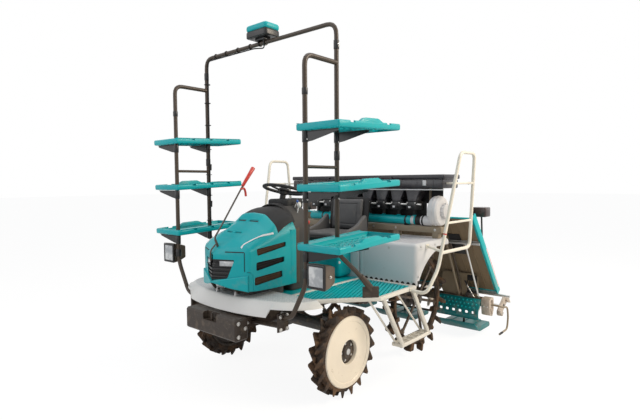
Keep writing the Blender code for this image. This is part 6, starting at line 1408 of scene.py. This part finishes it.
def cushion(name, low, high, edge, cap, seam):
    """Foam in a sewn cover: swollen by cloth simulation, then drawn in along its seam."""
    low, high = Vector(low), Vector(high)
    pad = stock(name, low, high, edge, 4)
    hold(pad)
    skin = pad.modifiers.new("skin", "REMESH")
    skin.mode, skin.voxel_size = "VOXEL", VOXEL
    bpy.ops.object.modifier_apply(modifier=skin.name)
    start = [v.co.copy() for v in pad.data.vertices]
    cloth = pad.modifiers.new("fill", "CLOTH")
    cloth.settings.use_pressure, cloth.settings.uniform_pressure_force = True, FILL_PRESSURE
    cloth.settings.effector_weights.gravity = 0.0
    for step in range(1, FILL_FRAMES + 1):
        bpy.context.scene.frame_set(step)
    swollen = pad.evaluated_get(bpy.context.evaluated_depsgraph_get()).data
    moves = [v.co - before for v, before in zip(swollen.vertices, start)]
    pad.modifiers.remove(cloth)
    for v, before, move in zip(pad.data.vertices, start, moves):
        v.co = before + move * min(1.0, cap / max(move.length, 1e-6))
    bpy.context.scene.frame_set(1)
    smooth = pad.modifiers.new("smooth", "SUBSURF")
    smooth.levels = smooth.render_levels = 1
    bpy.ops.object.modifier_apply(modifier=smooth.name)
    middle, half = (low + high) / 2, (high - low) / 2
    for v in pad.data.vertices:
        u, w = abs(v.co.x - middle.x) - (half.x - seam), abs(v.co.y - middle.y) - (half.y - seam)
        gap = abs(max(u, w)) if max(u, w) > -0.03 else 1.0
        if v.co.z > middle.z:
            v.co.z -= SEAM_DEPTH * math.exp(-(gap / SEAM_WIDTH) ** 2)
            v.co.z += 0.004 * max(0.0, min(1.0, -max(u, w) / 0.05))
    return coated(pad, VINYL)


BACK_FOOT, BACK_RAKE = (0.215, 0, 1.0703), math.radians(-7)


def raked(piece):
    """Turns a back that was made lying down up against the seat's rake."""
    upright = Matrix.Rotation(BACK_RAKE, 4, "Y") @ Matrix.Rotation(math.radians(90), 4, "Y")
    piece.data.transform(Matrix.Translation(BACK_FOOT) @ upright @ Matrix.Diagonal((-1, 1, 1, 1)))
    piece.data.flip_normals()
    return piece


pan_pad = cushion("seat_cushion", (0.3, -0.193, 1.062), (0.703, 0.193, 1.101), 0.018, 0.01, 0.06)
back_pad = raked(cushion("seat_back_cushion", (0.022, -0.18, 0.052), (0.322, 0.18, 0.086), 0.015, 0.009,
                         0.055))
pan_shell = skinned("pan_shell",
                    [rounded_ring(x0, x1, half, z, corner)
                     for z, x0, x1, half, corner in ((1.0205, 0.29, 0.66, 0.19, 0.05),
                         (1.036, 0.262, 0.702, 0.222, 0.06), (1.06, 0.25, 0.7175, 0.2335, 0.06),
                         (1.07, 0.252, 0.716, 0.2315, 0.06), (1.072, 0.262, 0.705, 0.22, 0.05))])
pan_shell = coated(pan_shell, SOFT_BLACK)
back_shell = [rounded_ring(x0, x1, half, z, 0.05)
              for z, x0, x1, half in ((0.002, 0.02, 0.32, 0.195), (0.02, 0.002, 0.333, 0.215),
                                      (0.048, -0.012, 0.3345, 0.2245), (0.054, 0.0, 0.328, 0.214))]
back_shell = raked(coated(skinned("back_shell", back_shell), SOFT_BLACK))
wing = cut_sheet("wing", flat_round([(0.255, 1.036), (0.64, 1.036), (0.655, 1.085), (0.56, 1.128),
    (0.43, 1.158), (0.285, 1.262)], 0.045), "y", 0.205, 0.2445)
wings = both_sides(coated(eased(wing, 0.017, 5, 50), VINYL))
fitted(pan_pad, "machine", "black_plastic")
fitted(back_pad, "machine", "black_plastic")
fitted(joined("seat_shell", [pan_shell, back_shell, *wings]), "machine", "black_plastic", "seat")

# Lift linkage. Forged brown bars and a hydraulic cylinder with a bright rod, which raise the
# planting unit. They stay as the CAD model has them and get their finishes here.
painted("upper_link", "lower_links", finish=BROWN)
painted("lift_cylinder", finish=CASE_GREY)
painted("lift_rod", finish=STEEL)

# Planting frame. A square toolbar with four gear cases behind it and the seedling table's rails on
# stays; at each end a sheet cover, a pulley with its lever, a casting and a side marker of bent rod.
CAST_PALE = enamel("cast_pale", (0.55, 0.48, 0.41), 0.5, dusty=0.6, metallic=0.25)
BAR_BROWN = enamel("bar_brown", (0.085, 0.065, 0.047), 0.45, dusty=0.7, chips=0.3)
COVER_BEIGE = enamel("cover_beige", (0.27, 0.215, 0.145), 0.5, dusty=0.35, coat=0.1)
RAIL_ALU, place, into, bump = material("rail_aluminium", (0.66, 0.66, 0.65), 0.32, 0.9)
bump(place.node("Mapping", None, {"Vector": place, "Scale": (300, 8, 300)}).noise(3.0), 0.1, 0.0004)
BAR_X, BAR_Z, BAR_HALF, ROTOR_X, ROTOR_Z = -0.72, 0.36, 0.93, -1.1, 0.25
ROTOR_LINES, STAY_LINES, MARKER_Y = (-0.84, -0.28, 0.28, 0.84), (-0.7, -0.21, 0.21, 0.7), 1.12
TABLE_TOP, TABLE_END, TABLE_LENGTH = Vector((-0.3, 0, 1.22)), Vector((-0.93, 0, 0.42)), 1.018
GUIDE_TOP, GUIDE_LOW, GUIDE_OUT = 0.3, TABLE_LENGTH - 0.01, -0.034
TABLE_DOWN = (TABLE_END - TABLE_TOP).normalized()
TABLE_OUT = Vector((TABLE_DOWN.z, 0, -TABLE_DOWN.x))


def on_table(down, out=0.0, y=0.0):
    """A point by its distance down the table's slope and out of its upper face."""
    return TABLE_TOP + TABLE_DOWN * down + TABLE_OUT * out + Vector((0, y, 0))


frame_parts = [coated(stock("toolbar", (BAR_X - 0.0398, -BAR_HALF, BAR_Z - 0.0398),
                            (BAR_X + 0.0398, BAR_HALF, BAR_Z + 0.0398), 0.006, 3), BAR_BROWN)]
low_end, top_end = Vector((-0.6536, 0, 0.2527)), Vector((-0.6536, 0, 0.5527))
hitch = [(BAR_X - 0.02, 0.3), (BAR_X - 0.02, 0.44), (top_end.x - 0.03, top_end.z + 0.03),
         (top_end.x + 0.028, top_end.z + 0.03), (top_end.x + 0.028, low_end.z - 0.03),
         (low_end.x - 0.03, low_end.z - 0.03)]
frame_parts += [coated(p, BROWN)
                for p in both_sides(cut_sheet("hitch", flat_round(hitch, 0.012), "y", 0.1502, 0.1618, 0.001))]
frame_parts += [coated(bar("pin", (p.x, -reach, p.z), (p.x, reach, p.z), 0.0138, 24, edge=0.001), STEEL)
                for p, reach in ((low_end, 0.231), (top_end, 0.154))]
for y in ROTOR_LINES:
    nose = [(ROTOR_X + 0.041 * math.cos(a), ROTOR_Z + 0.041 * math.sin(a))
            for a in (math.pi / 2 + math.pi * k / 12 for k in range(13))]
    case = cut_sheet("case", [(BAR_X - 0.036, BAR_Z + 0.031), *nose, (BAR_X - 0.036, BAR_Z - 0.035)], "y",
                     y - 0.0298, y + 0.0298, 0.006)
    case = carved(case, [bar("bore", (ROTOR_X, y - 0.05, ROTOR_Z), (ROTOR_X, y + 0.05, ROTOR_Z), 0.015, 24)])
    frame_parts.append(coated(case, CAST_PALE))
    frame_parts += [coated(bar("boss", (-0.93, y + s * 0.029, 0.3), (-0.93, y + s * 0.0299, 0.3), 0.02, 20),
                           CASE_GREY) for s in (-1, 1)]
for y in STAY_LINES:
    foot, guide = on_table(GUIDE_LOW, GUIDE_OUT, y), on_table(GUIDE_TOP, GUIDE_OUT, y)
    frame_parts += [coated(pipe("stay", [(BAR_X, y, BAR_Z), (BAR_X + 0.03, y, BAR_Z + 0.2), guide], 0.0118,
                                0.05), BAR_BROWN),
                    coated(pipe("stay", [(BAR_X, y, BAR_Z), foot], 0.0118), BAR_BROWN)]
frame_parts += [coated(pipe("rail", [on_table(down, GUIDE_OUT, -1.129), on_table(down, GUIDE_OUT, reach)],
                            0.0138, sides=16), RAIL_ALU)
                for down, reach in ((GUIDE_TOP, 0.995), (GUIDE_LOW, 1.129))]
cover = cut_sheet("cover", round_box(0.49, 0.397, 0.88, 0.625, 0.055), "x", BAR_X - 0.0038, BAR_X + 0.0038)


def pulley_gap():
    """Cutter for the window in the covers, which the pulley is seen through."""
    return cut_sheet("gap", round_box(0.775, 0.456, 0.86, 0.555, 0.008), "x", BAR_X - 0.02, BAR_X + 0.02)


cover = carved(cover, [pulley_gap()])
dark = cut_sheet("dark", round_box(0.768, 0.43, 0.868, 0.612, 0.008), "x", BAR_X + 0.003, BAR_X + 0.0052)
dark = carved(dark, [pulley_gap()])
half_parts = [coated(cover, COVER_BEIGE), coated(dark, SATIN_BLACK),
              coated(pipe("bead",
                          [(BAR_X + 0.002, 0.505, 0.42), (BAR_X + 0.002, 0.505, 0.6),
                           (BAR_X + 0.002, 0.755, 0.6), (BAR_X + 0.002, 0.755, 0.42)], 0.003, 0.02, 8),
                     COVER_BEIGE)]
half_parts.append(coated(pipe("strut", [(BAR_X + 0.004, 0.9, BAR_Z), on_table(GUIDE_TOP, GUIDE_OUT, 0.855)],
                              0.0088), RAIL_ALU))
half_parts.append(coated(pipe("strut", [(BAR_X + 0.01, 0.69, 0.39), on_table(GUIDE_TOP, GUIDE_OUT, 0.66)],
                              0.011), BEAM_BEIGE))
pulley = [(0.01, -0.016), (0.038, -0.016), (0.043, -0.0155), (0.043, -0.0125), (0.034, -0.01),
          (0.034, -0.005), (0.042, -0.003), (0.042, 0.001), (0.033, 0.003), (0.033, 0.007), (0.04, 0.01),
          (0.038, 0.0158), (0.01, 0.0158)]
wheel = spun("pulley", pulley, (0, 0, 0), 40)
wheel.data.transform(Matrix.Translation((BAR_X + 0.015, 0.8, BAR_Z + 0.056))
                     @ Matrix.Rotation(math.radians(90), 4, "X"))
half_parts += [coated(wheel, CASE_GREY),
               coated(bar("pulley_pin", (BAR_X + 0.015, 0.8, BAR_Z + 0.038),
                          (BAR_X + 0.015, 0.8, BAR_Z + 0.0715), 0.011, 6, edge=0.001), STEEL)]
half_parts += [coated(pipe("hand_lever",
                           [(BAR_X + 0.025, 0.85, BAR_Z + 0.036), (BAR_X + 0.022, 0.8, 0.47),
                            (BAR_X + 0.018, 0.76, 0.53)], 0.005, 0.02), STEEL),
               coated(bar("lever_grip", (BAR_X + 0.0195, 0.775, 0.51), (BAR_X + 0.017, 0.748, 0.552), 0.0085,
                          12, edge=0.002), SOFT_BLACK)]
cast = [(BAR_X - 0.06, 0.407), (BAR_X + 0.03, 0.407), (BAR_X + 0.054, 0.37), (BAR_X + 0.03, 0.241),
        (BAR_X - 0.035, 0.221), (BAR_X - 0.069, 0.29)]
cast = cut_sheet("cast", flat_round(cast, 0.016), "y", 0.929, 1.0148)
cast = eased(carved(cast, [cut_sheet("pocket",
    flat_round([(BAR_X - 0.035, 0.385), (BAR_X + 0.018, 0.385), (BAR_X + 0.03, 0.35), (BAR_X + 0.014, 0.262),
                (BAR_X - 0.022, 0.25), (BAR_X - 0.045, 0.295)], 0.01), "y", 1.0, 1.05)]), 0.004, 3, 40)
half_parts.append(coated(cast, CAST_PALE))
half_parts += [coated(bar("boss", (x, 0.999, z), (x, 1.014, z), r, 24, edge=0.002), CAST_PALE)
               for x, z, r in ((-0.712, 0.34, 0.022), (-0.735, 0.285, 0.014))]
half_parts.append(bolt("b", (-0.712, 1.008, 0.34), (0, 1, 0), 0.0055, 0.004))
half_parts += [bolt("b", (BAR_X + 0.041, y, 0.325), (1, 0, 0), 0.009, 0.006) for y in (0.955, 0.99)]
marker = [(BAR_X, 0.92, 0.35)]
marker += [(x, MARKER_Y, z) for x, z in ((-0.725, 0.335), (-0.86, 0.31), (-0.885, 0.2), (-0.86, 0.09),
    (-0.66, 0.085))]
half_parts += [coated(pipe("marker", marker, 0.0088, 0.04), BEAM_BEIGE),
               coated(bar("marker_grip", (-0.735, MARKER_Y, 0.087), (-0.6605, MARKER_Y, 0.085), 0.0098, 16,
                          edge=0.002), SOFT_BLACK)]
half_frame = joined("half_frame", half_parts)
frame_parts += both_sides(half_frame)
fitted(joined("planting_frame_dressed", frame_parts), "planting_unit", "beige_paint", "planting_frame")

# Mud guards. Teal moulded aprons under the toolbar, curled back at the foot, with rows of dimples
# over a row of open holes.
front = BAR_X + 0.0403
apron_plan = [(front, 0.39), (front + 0.012, 0.39), (front + 0.038, 0.35), (front + 0.06, 0.3),
              (front + 0.069, 0.268), (front + 0.072, 0.235), (front + 0.064, 0.205), (front + 0.048, 0.189),
              (front - 0.01, 0.18), (front - 0.006, 0.192), (front + 0.04, 0.204), (front + 0.053, 0.218),
              (front + 0.057, 0.24), (front + 0.055, 0.266), (front + 0.046, 0.296), (front, 0.33)]
apron = cut_sheet("apron", apron_plan, "y", 0.4805, 0.9255)
apron = carved(apron, [cut_sheet("hole", round_box(0.519 + 0.068 * i, 0.249, 0.551 + 0.068 * i, 0.275, 0.012),
                                 "x", front - 0.03, front + 0.12) for i in range(6)])
studs = []
for row, (x, z) in enumerate(((front + 0.0262, 0.368), (front + 0.043, 0.338), (front + 0.057, 0.306))):
    for i in range(10):
        y = 0.508 + 0.041 * i + 0.02 * (row % 2)
        studs.append(bar("stud", (x, y, z), (x + 0.0052, y, z + 0.003), 0.0085, 12, 0.005))
# The aprons' teal is darkened as painted shade; the dimples on them keep the plain teal.
guard = coated(eased(apron, 0.0015, 2, 40), TEAL_PAINTED_SHADE)
guard = joined("mud_guard_left_dressed", [guard, *(coated(s, TEAL) for s in studs)])
fitted_pair(guard, "planting_unit", "teal_plastic", "mud_guard_left")

# Floats. Grooved hulls of teal plastic with turned-up bows, which smooth the mud, hung on a
# brown cross pipe by two bent plates. The hulls' teal is darkened as painted shade.
float_parts = []
for y, front in ((0.0, -0.5), (0.7, -0.6), (-0.7, -0.6)):
    profile = [(front, 0.146), (front + 0.0035, 0.1595), (front - 0.04, 0.134), (front - 0.09, 0.105),
               (-0.97, 0.1), (-0.985, 0.07), (-0.97, 0.0505), (front - 0.14, 0.0505), (front - 0.07, 0.08),
               (front - 0.03, 0.115)]
    hull = eased(cut_sheet("hull", profile, "y", y - 0.1995, y + 0.1995), 0.01, 3, 40)
    grooves = [stock("groove", (-0.94, y + dy - 0.012, 0.096), (front - 0.11, y + dy + 0.012, 0.12), 0.003)
               for dy in (-0.12, 0.0, 0.12)]
    float_parts.append(coated(carved(hull, grooves), TEAL_PAINTED_SHADE))
iron = [bar("pipe", (-0.8, -0.84, 0.15), (-0.8, 0.84, 0.15), 0.0118, 20, edge=0.001)] + [stock("ear",
    (-0.8145, y - 0.006, 0.092), (-0.7855, y + 0.006, 0.1645), 0.002) for y in (-0.7, 0.0, 0.7)]
iron += both_sides(cut_sheet("hanger", [(-0.812, 0.141), (-0.789, 0.141), (-0.741, 0.319), (-0.757, 0.319)],
                             "y", 0.4142, 0.4258, 0.001))
fitted(joined("floats_dressed", [*float_parts, coated(joined("iron", iron), BROWN)]), "planting_unit",
       "teal_plastic", "floats")

# Rotary planting arms. Cast cases turn on shafts between the gear cases; each carries two arms with
# a fork that cuts a seedling off the mat and sets it. Two cases on a shaft stand a quarter turn apart.
CASE_REACH, CASE_ROUND = 0.085, 0.0395


def at(radius, angle):
    """(x, z) of a point by its distance and direction from the rotors' shafts."""
    return (ROTOR_X + radius * math.cos(angle), ROTOR_Z + radius * math.sin(angle))


def case_end(way):
    """The half circle at one end of a rotor's case."""
    x, z = at(CASE_REACH, way)
    return [(x + CASE_ROUND * math.cos(way + t), z + CASE_ROUND * math.sin(way + t))
            for t in (math.pi * (k / 10 - 0.5) for k in range(11))]


for index, y in enumerate(ROTOR_LINES, 1):
    rotor_parts = [coated(bar("shaft", (ROTOR_X, y - 0.149, ROTOR_Z), (ROTOR_X, y + 0.149, ROTOR_Z), 0.0138,
                              24, edge=0.001), STEEL)]
    for s in (1, -1):
        mid, lean = y + s * 0.14, math.pi - 0.62 + (0.0 if s > 0 else math.pi / 2)
        shape = case_end(lean) + case_end(lean + math.pi)
        rotor_parts.append(coated(cut_sheet("rotor_case", shape, "y", mid - 0.0168, mid + 0.0168, 0.005),
                                  CAST_PALE))
        rotor_parts.append(coated(bar("cap", (ROTOR_X, mid - 0.0198, ROTOR_Z),
                                      (ROTOR_X, mid + 0.0198, ROTOR_Z), 0.024, 28, edge=0.002), CASE_GREY))
        for a in (lean, lean + math.pi):
            arm = flat_round([at(0.07, a - 0.35), at(0.118, a - 0.25), at(0.128, a + 0.1), at(0.152, a + 0.5),
                              at(0.118, a + 0.5)], 0.01)
            rotor_parts.append(coated(cut_sheet("arm", arm, "y", mid - 0.0128 + s * 0.023,
                mid + 0.0128 + s * 0.023, 0.003), CAST_PALE))
            (fx, fz), (gx, gz) = at(0.128, a + 0.42), at(0.164, a + 0.61)
            rotor_parts += [coated(bar("fork", (fx, mid + s * 0.023 + d, fz), (gx, mid + s * 0.023 + d, gz),
                                       0.003, 8, 0.0014), STEEL) for d in (-0.008, 0.008)]
            rotor_parts.append(bolt("b", (at(0.1, a)[0], mid + s * 0.0358, at(0.1, a)[1]), (0, s, 0), 0.006,
                                    0.004))
    fitted(joined("rotor_%d_dressed" % index, rotor_parts), "rotors", "aluminium_casting", "rotor_%d" % index)

# Seedling table. A sloped teal panel in eight lanes with feed belts, standing on guide rails that it
# slides across; tail lamps on stalks at its ends and a pale marking line on each side plate.
BELT, place, into, bump = material("belt_rubber", (0.03, 0.029, 0.028), 0.8)
teeth = place.node("TexWave", {"wave_type": "BANDS", "bands_direction": "Z"},
                   {"Vector": place, "Scale": 26.0})
into("Base Color", place.noise(20.0, 4.0).ease(0.4, 0.7).blend((0.024, 0.023, 0.022), (0.07, 0.062, 0.05)))
bump(teeth, 0.6, 0.002)
UNDER_BROWN = enamel("under_brown", (0.22, 0.165, 0.105), 0.5, dusty=0.3)
TABLE_HALF, TABLE_SHIFT, LANES, LAMP_SHIFT = 1.12, -0.12, 8, 0.0535


def sloped(name, down, out, y, edge=0.0):
    """A block lying in the table's slope, by its ranges down, out of and across it."""
    corners = [on_table(d, o) for d, o in ((down[0], out[0]), (down[1], out[0]), (down[1], out[1]),
        (down[0], out[1]))]
    return cut_sheet(name, [(c.x, c.z) for c in corners], "y", y[0], y[1], edge)


lane = 2 * (TABLE_HALF - 0.006) / LANES
table_parts = [coated(sloped("panel", (0.002, TABLE_LENGTH - 0.002), (-0.0095, 0.0058),
                             (-TABLE_HALF + 0.002, TABLE_HALF - 0.002), 0.003), TEAL)]
table_parts += [coated(sloped("under", (0.012, TABLE_LENGTH - 0.05), (-0.0125, -0.0096),
                              (-TABLE_HALF + 0.02, TABLE_HALF - 0.02)), UNDER_BROWN)]
table_parts += [coated(sloped("rib", (0.06, TABLE_LENGTH - 0.06), (-0.018, -0.0126),
                              (-1.09 + 0.0726 * i, -1.084 + 0.0726 * i)), UNDER_BROWN) for i in range(31)]
table_parts += [coated(sloped("lane_rib", (0.022, TABLE_LENGTH - 0.022), (0.005, 0.0338),
                              (lane * (i - 3) - 0.004, lane * (i - 3) + 0.004), 0.0015), TEAL)
                for i in range(7)]
for i in range(LANES):
    y = lane * (i - 3.5)
    table_parts += [coated(sloped("belt", (0.58, 0.86), (0.005, 0.01), (y + dy - 0.034, y + dy + 0.034),
                                  0.002), BELT) for dy in (-0.052, 0.052)]
    table_parts.append(coated(sloped("gate", (TABLE_LENGTH - 0.03, TABLE_LENGTH - 0.004), (0.005, 0.02),
                                     (y - 0.12, y + 0.12), 0.003), SATIN_BLACK))
for s in (1, -1):
    y0, y1 = sorted((s * (TABLE_HALF - 0.008), s * (TABLE_HALF + 0.0055)))
    table_parts.append(coated(sloped("side", (-0.0098, TABLE_LENGTH + 0.0048), (-0.0178, 0.0518), (y0, y1),
                                     0.003), TEAL))
    ya, yb = sorted((s * (TABLE_HALF + 0.005), s * (TABLE_HALF + 0.0059)))
    table_parts.append(coated(sloped("line", (0.43, 0.97), (0.035, 0.044), (ya, yb)), WHITE_STRIPE))
    table_parts.append(coated(sloped("line", (0.43, 0.97), (0.044, 0.05), (ya, yb)), RED_KNOB))
table_parts += [coated(sloped("dark_panel", (0.205, 0.47), (-0.0188, -0.012), (ya, yb)), SATIN_BLACK)
                for ya, yb in ((0.815, 0.935), (-0.695, -0.575))]
table_parts += [coated(sloped("joist", (d, d + 0.03), (-0.0195, -0.004),
                              (-TABLE_HALF + 0.01, TABLE_HALF - 0.01), 0.002), RAIL_ALU)
                for d in (0.285, TABLE_LENGTH - 0.03)]
root = on_table(0.35)
LAMP_AMBER, place, into, bump = material("tail_lens", (0.2, 0.025, 0.015), 0.15, coat=0.8)
bump(place.node("TexWave", None, {"Vector": place, "Scale": 60.0}), 0.4, 0.0008)
LAMP_CASE = enamel("lamp_case", (0.04, 0.022, 0.018), 0.22, dusty=0.1, coat=0.6)
tail = []
tail.append(coated(pipe("stalk",
                        [(root.x, TABLE_HALF - 0.004, root.z),
                         (root.x + 0.004, TABLE_HALF - 0.004, root.z + 0.1),
                         (root.x + 0.02, TABLE_HALF - 0.004, 1.22)], 0.008, 0.03), SOFT_BLACK))
tail.append(coated(bar("knob", (root.x + 0.006, TABLE_HALF - 0.022, root.z + 0.14),
                       (root.x + 0.006, TABLE_HALF - 0.006, root.z + 0.14), 0.011, 16, edge=0.002),
                   CASE_GREY))
tail.append(coated(stock("housing", (root.x - 0.046, TABLE_HALF - 0.078, 1.218),
                         (root.x + 0.073, TABLE_HALF + 0.056, 1.309), 0.012, 4), LAMP_CASE))
tail.append(coated(stock("lens", (root.x - 0.0495, TABLE_HALF - 0.066, 1.228),
                         (root.x - 0.044, TABLE_HALF + 0.044, 1.299), 0.004, 3), LAMP_AMBER))
left_lamp, right_lamp = both_sides(joined("tail_lamp", tail))
right_lamp.data.transform(Matrix.Translation((0, LAMP_SHIFT, 0)))
table_parts += [left_lamp, right_lamp]
table = joined("seedling_table_dressed", table_parts)
table.data.transform(Matrix.Translation((0, TABLE_SHIFT, 0)))
fitted(table, "table", "teal_plastic", "seedling_table")
